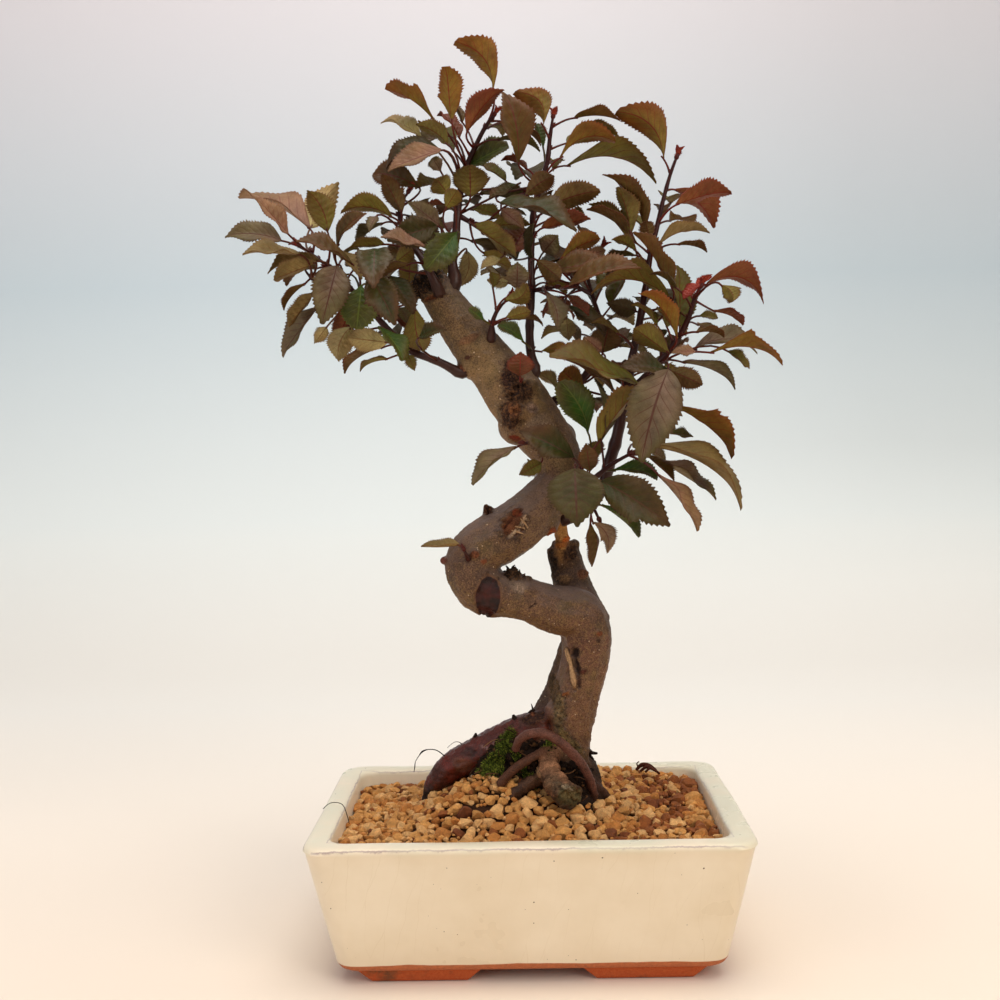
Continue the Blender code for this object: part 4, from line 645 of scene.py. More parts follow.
def surface_tree(mesh: bpy.types.Mesh, origin: Sequence[float] = (0.0, 0.0, 0.0)) -> BVHTree:
    """A search tree, in millimetres from an origin, over a mesh in metres."""
    points = ((points_of(mesh) - np.array(origin)) / MM).tolist()
    return BVHTree.FromPolygons(points, [tuple(face.vertices) for face in mesh.polygons])


def ripple(points: Numbers, size: float, seed: float) -> Numbers:
    """Smooth noise at some points.

    Args:
        points: The points, in millimetres.
        size: The size of the noise's swellings, in millimetres.
        seed: Shifts the noise, so that two uses differ.

    Returns:
        A value of about -1 to 1 for each point.
    """
    shift = Vector((seed, -seed, 2 * seed))
    return np.array([noise.noise(Vector(point) / size + shift) for point in points])


def fade(values: Numbers, low: float, high: float) -> Numbers:
    """A smooth step that rises from 0 at one value to 1 at another."""
    share = np.clip((values - low) / (high - low), 0.0, 1.0)
    return share * share * (3 - 2 * share)


def note(mesh: bpy.types.Mesh, **numbers: Numbers) -> None:
    """Store a number for each vertex of a mesh, under one name or more."""
    for name, values in numbers.items():
        layer = mesh.attributes.new(name, "FLOAT", "POINT")
        layer.data.foreach_set("value", values.astype(np.float32))


def paint(mesh: bpy.types.Mesh, name: str, colours: Numbers) -> None:
    """Store a colour for each vertex of a mesh.

    Args:
        mesh: The mesh.
        name: The attribute's name.
        colours: Rows of linear red, green and blue, and a fourth value.
    """
    layer = mesh.attributes.new(name, "FLOAT_COLOR", "POINT")
    layer.data.foreach_set("color", np.asarray(colours, np.float32).ravel())


@dataclass
class MeshHeap:
    """Meshes gathered into one: points, faces, and a colour and two UV values for each point."""

    points: list[Numbers] = field(default_factory=list)
    faces: list[Numbers] = field(default_factory=list)
    paints: list[Numbers] = field(default_factory=list)
    ribs: list[Numbers] = field(default_factory=list)
    places: list[Numbers] = field(default_factory=list)
    count: int = 0

    def put(
            self, points: Numbers, faces: Numbers, colour: Numbers, rib: Numbers | None = None,
            place: Numbers | None = None) -> None:
        """Add a mesh.

        Args:
            points: Its points, in millimetres.
            faces: Its faces, three or four corners each.
            colour: One colour for all of it, or one for each point.
            rib: The same for the colour of its veins.
            place: A UV place for each point, on blades.
        """
        number = len(points)
        self.points.append(points)
        self.faces.append(faces + self.count)
        self.paints.append(np.broadcast_to(colour, (number, 4)))
        self.ribs.append(np.broadcast_to(colour if rib is None else rib, (number, 4)))
        self.places.append(np.zeros((number, 2)) - 1.0 if place is None else place)
        self.count += number

    def piece(self, name: str) -> bpy.types.Object:
        """Make one object of all that was put on the heap."""
        rows = [tuple(face) for block in self.faces for face in block.tolist()]
        mesh = bpy.data.meshes.new(name)
        mesh.from_pydata((np.concatenate(self.points) * MM).tolist(), [], rows)
        mesh.validate()
        mesh.update()
        paint(mesh, "Tint", np.concatenate(self.paints))
        paint(mesh, "Vein tint", np.concatenate(self.ribs))
        corners = np.empty(len(mesh.loops), np.int64)
        mesh.loops.foreach_get("vertex_index", corners)
        layer = mesh.uv_layers.new(name="Blade")
        layer.data.foreach_set("uv", np.concatenate(self.places)[corners].astype(np.float32).ravel())
        mesh.shade_smooth()
        obj = bpy.data.objects.new(name, mesh)
        bpy.context.scene.collection.objects.link(obj)
        return obj


POT_LOW, POT_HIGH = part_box("pot")
ORIGIN = Vector(((POT_LOW.x + POT_HIGH.x) / 2, (POT_LOW.y + POT_HIGH.y) / 2, 0.0))


def hand_over(piece: bpy.types.Object, slot: str, material: bpy.types.Material | None, *nodes: str) -> None:
    """Move a finished piece from the pot's frame to the model's and say what it stands for.

    Args:
        piece: The piece, modelled about the pot's middle.
        slot: Not used.
        material: Its material, or None if it has its own already.
        nodes: The solid model's nodes that it replaces.
    """
    piece.data.transform(Matrix.Translation(ORIGIN))
    if material is not None:
        piece.data.materials.clear()
        piece.data.materials.append(material)
    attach(piece, ROOT_BODY)
    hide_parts(*nodes)
    LOG.info("%s: %d faces, stands for %s", piece.name, len(piece.data.polygons), ", ".join(nodes))


def smooth_path(knots: Path, step: float) -> Path:
    """Points on a smooth curve through knots.

    Args:
        knots: Rows of a place and a radius.
        step: About how far apart the points are.

    Returns:
        Rows of a place and a radius.
    """
    path = []
    for index in range(len(knots) - 1):
        spots = [knots[max(0, min(len(knots) - 1, index + k))] for k in (-1, 0, 1, 2)]
        count = max(1, round((spots[2][0] - spots[1][0]).length / step))
        for part in range(count):
            t = part / count
            weights = (
                -0.5 * t + t * t - 0.5 * t ** 3, 1 - 2.5 * t * t + 1.5 * t ** 3,
                0.5 * t + 2 * t * t - 1.5 * t ** 3, -0.5 * t * t + 0.5 * t ** 3)
            place = sum((spot[0] * weight for spot, weight in zip(spots, weights)), Vector())
            path.append((place, spots[1][1] * (1 - t) + spots[2][1] * t))
    path.append(knots[-1])
    return path


def limb_knots(rows: Iterable[Knot]) -> Path:
    """Knots in space from rows (u, v, depth, radius)."""
    return [(seen(u, v, depth), radius) for u, v, depth, radius in rows]


def tube(path: Path, sides: int) -> tuple[Numbers, Numbers]:
    """A closed round tube along a path.

    Args:
        path: Rows of a place and a radius.
        sides: How many corners its section has.

    Returns:
        Its points and its four-cornered faces.
    """
    spots = np.array([place for place, _ in path])
    radii = np.array([radius for _, radius in path])
    along = np.gradient(spots, axis=0)
    along /= np.linalg.norm(along, axis=1)[:, None]
    across = np.cross(along[0], (0.31, 0.52, 0.79))
    rings = []
    for spot, radius, forward in zip(spots, radii, along):
        across = across - forward * across.dot(forward)
        across /= np.linalg.norm(across)
        beside = np.cross(forward, across)
        turns = np.arange(sides) * 2 * math.pi / sides
        rings.append(spot + radius * (np.outer(np.cos(turns), across) + np.outer(np.sin(turns), beside)))
    ends = [spots[0] - along[0] * radii[0] * 0.4, spots[-1] + along[-1] * radii[-1] * 0.4]
    points = np.concatenate([*rings, ends])
    faces = []
    for ring in range(len(path) - 1):
        for side in range(sides):
            after = (side + 1) % sides
            start = ring * sides
            faces.append((start + side, start + after, start + sides + after, start + sides + side))
    last = (len(path) - 1) * sides
    foot, top = len(points) - 2, len(points) - 1
    for side in range(0, sides, 2):
        one, two = (side + 1) % sides, (side + 2) % sides
        faces.append((foot, two, one, side))
        faces.append((top, last + side, last + one, last + two))
    return points, np.array(faces)


@dataclass(frozen=True)
class CreamGlaze:
    """Stoneware glaze, poured and fired: a soft satin gloss with pinholes and a fine crackle."""

    body: str = "#e2d1b4"
    pale: str = "#ebdcc2"
    rim_green: str = "#dbdcc4"
    crackle: str = "#d2bd98"
    pinhole: str = "#5a4228"
    edge: str = "#9c8280"
    bare: str = "#b2643a"
    chip: str = "#3a1a0c"
    glaze_end_mm: float = 7.9
    crackle_width_mm: float = 7.0
    crackle_length_mm: float = 60.0
    pinhole_step_mm: float = 2.6
    mottle_mm: float = 38.0
    edge_mm: float = 0.55
    edge_width_mm: float = 0.22

    def material(self, top_mm: float, lip_mm: float) -> bpy.types.Material:
        """Build the material.

        Args:
            top_mm: The height of the pot's rim.
            lip_mm: How wide the rim is.

        Returns:
            The material.
        """
        made, add, place = new_material("Cream stoneware glaze, poured and fired")
        split = add("SeparateXYZ", {0: place})
        height = split.outputs["Z"]
        mottle = add("TexNoise", {"Vector": place, "Scale": 1 / (self.mottle_mm * MM), "Detail": 4.0,
            "Roughness": 0.6})
        base = add("Mix", {0: add("MapRange", {0: mottle, 1: 0.38, 2: 0.66}), 6: self.body, 7: self.pale},
            data_type="RGBA")
        on_rim = add("MapRange", {0: height, 1: (top_mm - 4.0) * MM, 2: (top_mm - 0.5) * MM})
        cooler = add("MapRange", {0: mottle, 1: 0.62, 2: 0.40, 4: 0.55})
        greenish = add("Math", {0: on_rim, 1: cooler}, operation="MULTIPLY")
        # The crackle runs mostly down the walls, so its cells are tall
        bend = add("TexNoise", {"Vector": place, "Scale": 70.0, "Detail": 3.0})
        shift = add("VectorMath", {0: bend.outputs["Color"], "Scale": 0.003}, operation="SCALE")
        wavy = add("VectorMath", {0: place, 1: shift})
        spread = add("SeparateXYZ", {0: wavy})
        around = add("Math", {0: spread.outputs["X"], 1: spread.outputs["Y"]})
        squeeze = self.crackle_width_mm / self.crackle_length_mm
        squeezed = add("Math", {0: spread.outputs["Z"], 1: squeeze}, operation="MULTIPLY")
        stretched = add("CombineXYZ", {"X": around, "Y": squeezed})
        cells = add("TexVoronoi", {"Vector": stretched, "Scale": 1 / (self.crackle_width_mm * MM)},
            feature="DISTANCE_TO_EDGE", voronoi_dimensions="2D")
        on_wall = add("MapRange", {0: height, 1: (top_mm - 1.0) * MM, 2: (top_mm - 2.5) * MM})
        line = add("Math", {0: add("MapRange", {0: cells, 1: 0.014, 2: 0.004}), 1: on_wall},
            operation="MULTIPLY")
        patchy = add("MapRange", {0: add("TexNoise", {"Vector": place, "Scale": 34.0}), 1: 0.44, 2: 0.62,
            4: 0.30})
        crackle = add("Math", {0: line, 1: patchy}, operation="MULTIPLY")
        # Pinholes sit in a few of the cells of a fine pattern, and are of all sizes
        pits = add("TexVoronoi", {"Vector": wavy, "Scale": 1 / (self.pinhole_step_mm * MM)})
        chosen = add("SeparateColor", {0: pits.outputs["Color"]})
        clusters = add("TexNoise", {"Vector": place, "Scale": 52.0, "Detail": 2.0})
        denser = add("MapRange", {0: clusters, 1: 0.35, 2: 0.75, 3: -0.16, 4: 0.08})
        chance = add("Math", {0: chosen, 1: denser}, operation="ADD")
        how_wide = add("MapRange", {0: chance, 1: 0.72, 2: 1.04, 3: 0.0, 4: 0.17})
        hole = add("Math", {0: how_wide, 1: pits.outputs["Distance"]}, operation="SUBTRACT")
        pinhole = add("MapRange", {0: hole, 1: 0.0, 2: 0.035})
        # The glaze breaks in a thin mauve line along both edges of the rim. "Edge" holds how
        # far a point is from the middle of the rim, in millimetres.
        away = add("Attribute", attribute_name="Edge")
        ragged = add("TexNoise", {"Vector": place, "Scale": 160.0, "Detail": 5.0, "Roughness": 0.7})
        off_line = add("Math", {0: add("Math", {0: ragged, 1: 1.6, 2: away.outputs["Fac"]},
            operation="MULTIPLY_ADD"), 1: lip_mm / 2 - self.edge_mm + 0.8}, operation="SUBTRACT")
        on_line = add("MapRange", {0: add("Math", {0: off_line}, operation="ABSOLUTE"),
            1: 1.5 * self.edge_width_mm, 2: 0.5 * self.edge_width_mm})
        near_top = add("MapRange", {0: height, 1: (top_mm - 1.9) * MM, 2: (top_mm - 1.2) * MM})
        broken = add("Math", {0: add("Math", {0: on_line, 1: near_top}, operation="MULTIPLY"),
            1: add("MapRange", {0: mottle, 1: 0.36, 2: 0.60, 3: 0.2, 4: 0.75})}, operation="MULTIPLY")
        # Below a slightly wavy line the clay was wiped clean of glaze
        line_wave = add("TexNoise", {"Vector": place, "Scale": 60.0, "Detail": 2.0})
        line_height = add("Math", {0: line_wave, 1: 1.6 * MM, 2: (self.glaze_end_mm - 0.8) * MM},
            operation="MULTIPLY_ADD")
        wiped = add("MapRange", {0: add("Math", {0: height, 1: line_height}, operation="SUBTRACT"),
            1: 0.12 * MM, 2: -0.12 * MM})
        sandy = add("TexNoise", {"Vector": place, "Scale": 900.0, "Detail": 3.0, "Roughness": 0.7})
        clay = add("VectorMath", {0: linear(self.bare)[:3], "Scale": add("MapRange",
            {0: sandy, 1: 0.3, 2: 0.7, 3: 0.8, 4: 1.18})}, operation="SCALE")
        chips = add("Attribute", attribute_name="Chip").outputs["Fac"]
        for amount, colour in (
                (greenish, self.rim_green), (crackle, self.crackle), (pinhole, self.pinhole),
                (broken, self.edge), (wiped, clay), (chips, self.chip)):
            base = add("Mix", {0: amount, 6: base, 7: colour}, data_type="RGBA")
        orange_peel = add("TexNoise", {"Vector": place, "Scale": 330.0, "Detail": 2.0})
        deep = add("Math", {0: orange_peel, 1: add("Math", {0: pinhole, 1: 3.0}, operation="MULTIPLY")},
            operation="SUBTRACT")
        bump = add("Bump", {"Height": deep, "Strength": 0.25, "Distance": 0.12 * MM})
        gloss = add("MapRange", {0: mottle, 1: 0.3, 2: 0.7, 3: 0.24, 4: 0.36})
        dulled = add("Math", {0: wiped, 1: 0.5, 2: gloss}, operation="MULTIPLY_ADD")
        shader = add("BsdfPrincipled", {"Base Color": base, "Roughness": dulled, "Normal": bump})
        add("OutputMaterial", {0: shader})
        return made


@dataclass(frozen=True)
class BareTerracotta:
    """Fired red clay left bare: matt, sandy, smudged dark where it has stood wet."""

    clay: str = "#a8420f"
    pale: str = "#b85a28"
    smudge: str = "#4a3220"
    moss: str = "#3e3a20"
    sand_mm: float = 0.9
    smudge_mm: float = 9.0

    def material(self) -> bpy.types.Material:
        """Build the material."""
        made, add, place = new_material("Bare terracotta, fired")
        cloud = add("TexNoise", {"Vector": place, "Scale": 1 / (self.smudge_mm * MM), "Detail": 6.0,
            "Roughness": 0.65})
        sand = add("TexNoise", {"Vector": place, "Scale": 1 / (self.sand_mm * MM), "Detail": 4.0,
            "Roughness": 0.7})
        tone = add("Mix", {0: add("MapRange", {0: sand, 1: 0.3, 2: 0.7}), 6: self.clay, 7: self.pale},
            data_type="RGBA")
        dark = add("MapRange", {0: cloud, 1: 0.56, 2: 0.72, 4: 0.85})
        smudged = add("Mix", {0: dark, 6: tone, 7: self.smudge}, data_type="RGBA")
        split = add("SeparateXYZ", {0: place})
        damp = add("Math", {0: add("MapRange", {0: split.outputs["X"], 1: -0.030, 2: -0.060, 4: 0.9}),
            1: add("MapRange", {0: cloud, 1: 0.44, 2: 0.58})}, operation="MULTIPLY")
        green = add("Mix", {0: damp, 6: smudged, 7: self.moss}, data_type="RGBA")
        bump = add("Bump", {"Height": sand, "Strength": 0.5, "Distance": 0.25 * MM})
        shader = add("BsdfPrincipled", {"Base Color": green, "Roughness": 0.88, "Normal": bump})
        add("OutputMaterial", {0: shader})
        return made


@dataclass
class Pot:
    """The shallow pot: a glazed body over a bare clay base with four corner feet."""

    width: float = 170.0
    depth: float = 120.0
    height: float = 55.4
    lip: float = 9.6
    glaze_foot: float = 7.7
    outer_taper: float = 0.214
    inner_taper: float = 0.12
    corner: float = 7.4
    corner_segments: int = 8
    lip_round: float = 2.1
    floor_top: float = 13.0
    foot_height: float = 5.0
    foot_length: float = 50.2
    foot_side_length: float = 34.0
    foot_thickness: float = 11.0
    foot_slant: float = 6.8
    foot_face_slant: float = 1.5
    foot_inset: float = -0.9
    foot_end_inset: float = 3.6
    base_inset: float = 3.4
    sunk: float = 1.0
    drain_radius: float = 8.0
    drain_x: float = 36.0
    long_cuts: int = 16
    unevenness: float = 0.28
    chip: float = 1.5
    chip_below: float = 2.6

    def outer(self, z: float) -> float:
        """How far the outer wall has leaned in at a height."""
        return self.outer_taper * (self.height - z)

    def profile(self) -> list[tuple[float, float]]:
        """The wall's section as rows of how far in from the rim's edge, and the height."""
        foot, top, bend = self.glaze_foot, self.height, self.lip_round
        low = self.foot_height
        rows = [(self.outer(foot) + 4.4, low + 0.6), (self.outer(foot) + 3.2, low),
                (self.outer(foot) + 2.0, low + 0.1), (self.outer(foot) + 1.0, low + 0.8),
                (self.outer(foot) + 0.4, low + 1.9), (self.outer(foot), foot)]
        rows += [(self.outer(z), z) for z in (14.0, 21.0, 28.0, 35.0, 42.0, 48.0, top - bend - 1.0)]
        for turn in (0, 30, 60, 90):
            angle = math.radians(turn)
            rows.append((bend * (1 - math.cos(angle)), top - bend * (1 - math.sin(angle))))
        rows.append((self.lip / 2, top + 0.1))
        for turn in (90, 60, 30, 0):
            angle = math.radians(turn)
            rows.append((self.lip - bend * (1 - math.cos(angle)), top - bend * (1 - math.sin(angle))))
        rows += [(self.lip + self.inner_taper * (top - z), z) for z in (44.0, 30.0, self.floor_top)]
        return rows

    def body(self) -> bpy.types.Object:
        """Model the glazed body: a rounded ring drawn up the wall, over the lip and down inside."""
        inset, low = self.profile()[0]
        deselect_all()
        bpy.ops.mesh.primitive_plane_add(size=1.0, location=(0.0, 0.0, low * MM))
        body = bpy.context.object
        body.name = "pot_glazed_body"
        body.scale = ((self.width - 2 * inset) * MM, (self.depth - 2 * inset) * MM, 1.0)
        bpy.ops.object.transform_apply(location=True, rotation=True, scale=True)
        bpy.ops.object.mode_set(mode="EDIT")
        bpy.ops.mesh.select_all(action="SELECT")
        bpy.ops.mesh.bevel(offset=self.corner * MM, segments=self.corner_segments, affect="VERTICES")
        select_edges(body, lambda edge: edge.calc_length() > 4 * self.corner * MM)
        bpy.ops.mesh.subdivide(number_cuts=self.long_cuts)
        bpy.ops.mesh.select_all(action="SELECT")
        bpy.ops.mesh.delete(type="ONLY_FACE")
        bpy.ops.mesh.select_all(action="SELECT")
        bpy.ops.mesh.edge_face_add()
        old_in, old_z = inset, low
        for new_in, new_z in self.profile()[1:]:
            bpy.ops.mesh.extrude_region_move(
                TRANSFORM_OT_translate={"value": (0.0, 0.0, (new_z - old_z) * MM)})
            bpy.ops.transform.resize(value=(
                (self.width / 2 - new_in) / (self.width / 2 - old_in),
                (self.depth / 2 - new_in) / (self.depth / 2 - old_in), 1.0),
                center_override=(0.0, 0.0, new_z * MM))
            old_in, old_z = new_in, new_z
        turn_out()
        return body

    def uneven(self, body: bpy.types.Object) -> None:
        """Give the body the slight waves of a hand-made pot, and mark where the glaze breaks."""
        points = points_of(body.data) / MM
        raised = fade(points[:, 2], self.glaze_foot, self.height)
        outward = points * (1.0, 1.0, 0.0)
        outward /= np.maximum(np.linalg.norm(outward, axis=1), 1.0)[:, None]
        wave = ripple(points, 34.0, 3.1) * self.unevenness * (0.4 + raised)
        shaped = points + outward * wave[:, None]
        shaped[:, 2] += ripple(points * (1, 1, 0), 26.0, 8.4) * self.unevenness * raised
        move_points(body.data, shaped * MM)
        half = np.array([self.width, self.depth]) / 2
        past = np.abs(points[:, :2]) - half + self.corner
        inward = self.corner - np.linalg.norm(np.maximum(past, 0), axis=1)
        inward -= np.minimum(past.max(axis=1), 0)
        from_middle = np.abs(inward - self.lip / 2)
        corner = (-half[0] + 1.3, -half[1] + 1.3, self.height - self.chip_below)
        chip = 1 - fade(np.linalg.norm(points - corner, axis=1), 0.5 * self.chip, self.chip)
        note(body.data, Edge=from_middle, Chip=chip)

    def block(self, half_x: float, half_y: float, low: float, high: float) -> bpy.types.Object:
        """A clay block with rounded upright edges.

        Args:
            half_x: Half its width.
            half_y: Half its depth.
            low: Height of its underside.
            high: Height of its top.

        Returns:
            The block.
        """
        deselect_all()
        bpy.ops.mesh.primitive_cube_add(size=2.0, location=(0.0, 0.0, (low + high) / 2 * MM))
        block = bpy.context.object
        block.scale = (half_x * MM, half_y * MM, (high - low) / 2 * MM)
        bpy.ops.object.transform_apply(location=True, rotation=True, scale=True)
        bpy.ops.object.mode_set(mode="EDIT")
        select_edges(block, lambda edge: edge.verts[0].co.z != edge.verts[1].co.z)
        bpy.ops.mesh.bevel(offset=self.corner * MM, segments=5, affect="EDGES")
        bpy.ops.object.mode_set(mode="OBJECT")
        return block

    def foot(self, side_x: int, side_y: int, corner_x: float, corner_y: float) -> bpy.types.Object:
        """A foot under a corner: two bars that meet, narrower at the floor, with worn edges.

        Args:
            side_x: 1 on the right, -1 on the left.
            side_y: 1 at the back, -1 in front.
            corner_x: How far from the middle its outer end is.
            corner_y: How far from the middle its outer face is.

        Returns:
            The foot.
        """
        long, short, thick = self.foot_length, self.foot_side_length, self.foot_thickness
        slant, front = self.foot_slant, self.foot_face_slant
        outline = [(0, 0), (long, 0), (long, thick), (thick, thick), (thick, short), (0, short)]
        on_floor = [
            (slant, front), (long - slant, front), (long - slant, thick), (thick, thick),
            (thick, short - slant), (slant, short - slant)]
        rows = [(*spot, 0.0) for spot in on_floor]
        rows += [(*spot, self.foot_height + self.sunk) for spot in outline]
        corners = [
            (side_x * (corner_x - along) * MM, side_y * (corner_y - back) * MM, height * MM)
            for along, back, height in rows]
        count = len(outline)
        sides = [(k, (k + 1) % count, count + (k + 1) % count, count + k) for k in range(count)]
        mesh = bpy.data.meshes.new("foot")
        mesh.from_pydata(corners, [], [tuple(range(count)), tuple(range(count, 2 * count)), *sides])
        foot = bpy.data.objects.new("foot", mesh)
        bpy.context.scene.collection.objects.link(foot)
        make_active(foot)
        bpy.ops.object.mode_set(mode="EDIT")
        bpy.ops.mesh.select_all(action="SELECT")
        bpy.ops.mesh.normals_make_consistent(inside=False)
        select_edges(foot, lambda edge: min(vert.co.z for vert in edge.verts) < MM)
        bpy.ops.mesh.bevel(offset=0.8 * MM, segments=3, affect="EDGES")
        bpy.ops.object.mode_set(mode="OBJECT")
        return foot

    def drill(self, obj: bpy.types.Object) -> None:
        """Cut the two drain holes."""
        for side in (-1, 1):
            deselect_all()
            bpy.ops.mesh.primitive_cylinder_add(
                vertices=40, radius=self.drain_radius * MM, depth=3 * self.floor_top * MM,
                location=(side * self.drain_x * MM, 0.0, 0.0))
            drain = bpy.context.object
            bpy.ops.object.transform_apply(location=True, rotation=True, scale=True)
            cut_away(obj, drain)

    def base(self) -> bpy.types.Object:
        """Model the bare clay base and its feet as one."""
        lean = self.outer(self.glaze_foot) + self.base_inset
        base_x = self.width / 2 - lean
        base_y = self.depth / 2 - lean
        base = self.block(base_x, base_y, self.foot_height, self.glaze_foot + self.sunk)
        base.name = "pot_clay_base"
        for side_x in (-1, 1):
            for side_y in (-1, 1):
                foot = self.foot(side_x, side_y, base_x - self.foot_end_inset, base_y - self.foot_inset)
                cut_away(base, foot, "UNION")
        return base

    def build(self) -> None:
        """Model and dress the pot."""
        body = self.body()
        self.drill(body)
        self.uneven(body)
        smooth_below(body, 50)
        hand_over(body, "pot", CreamGlaze().material(self.height, self.lip), "pot")
        base = self.base()
        self.drill(base)
        smooth_below(base, 35)
        hand_over(base, "pot", BareTerracotta().material(), "pot")


@dataclass(frozen=True)
class ScreenPlastic:
    """Black polyethylene mesh, moulded: dull, dusted with fine clay."""

    black: str = "#1d1c1a"
    dust: str = "#5c4630"
    dust_mm: float = 5.0

    def material(self) -> bpy.types.Material:
        """Build the material."""
        made, add, place = new_material("Black polyethylene mesh, moulded")
        cloud = add("TexNoise", {"Vector": place, "Scale": 1 / (self.dust_mm * MM), "Detail": 6.0,
            "Roughness": 0.7})
        dusty = add("MapRange", {0: cloud, 1: 0.45, 2: 0.7, 4: 0.7})
        tone = add("Mix", {0: dusty, 6: self.black, 7: self.dust}, data_type="RGBA")
        rough = add("MapRange", {0: cloud, 3: 0.45, 4: 0.8})
        grain = add("TexNoise", {"Vector": place, "Scale": 1400.0, "Detail": 2.0})
        bump = add("Bump", {"Height": grain, "Strength": 0.3, "Distance": 0.05 * MM})
        shader = add("BsdfPrincipled", {"Base Color": tone, "Roughness": rough, "Normal": bump})
        add("OutputMaterial", {0: shader})
        return made


@dataclass
class DrainScreens:
    """The two drainage screens, whose solids are right as they are and get their plastic."""

    nodes: tuple[str, ...] = ("drain_screen_left", "drain_screen_right")

    def build(self) -> None:
        """Dress the screens."""
        plastic = ScreenPlastic().material()
        for name in self.nodes:
            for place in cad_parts[name].material_slots:
                place.material = plastic
            LOG.info("%s: dressed", name)


@dataclass(frozen=True)
class ClayGranules:
    """Baked clay granules, sieved: dry, chalky and pitted, each a little lighter or darker."""

    pit_mm: float = 1.3

    def material(self) -> bpy.types.Material:
        """Build the material."""
        made, add, place = new_material("Baked clay granules, sieved")
        tint = add("Attribute", attribute_name="Tint")
        pits = add("TexNoise", {"Vector": place, "Scale": 1 / (self.pit_mm * MM), "Detail": 8.0,
            "Roughness": 0.78})
        cloud = add("TexNoise", {"Vector": place, "Scale": 420.0, "Detail": 2.0})
        light = add("MapRange", {0: pits, 1: 0.34, 2: 0.66, 3: 0.70, 4: 1.28})
        shade = add("MapRange", {0: cloud, 1: 0.3, 2: 0.7, 3: 0.86, 4: 1.12})
        both = add("Math", {0: light, 1: shade}, operation="MULTIPLY")
        tone = add("VectorMath", {0: tint.outputs["Color"], "Scale": both}, operation="SCALE")
        bump = add("Bump", {"Height": pits, "Strength": 1.0, "Distance": 0.9 * MM})
        shader = add("BsdfPrincipled", {"Base Color": tone, "Roughness": 0.93, "Normal": bump})
        add("OutputMaterial", {0: shader})
        return made


class Grain(Enum):
    """The kinds of clay granule by colour, from dry to wet, with how often each is met."""

    DRY = ("#e0ab6c", 7)
    SANDY = ("#d29550", 10)
    OCHRE = ("#c07c3a", 5)
    WET = ("#91501f", 3)
    RUST = ("#793f18", 1)


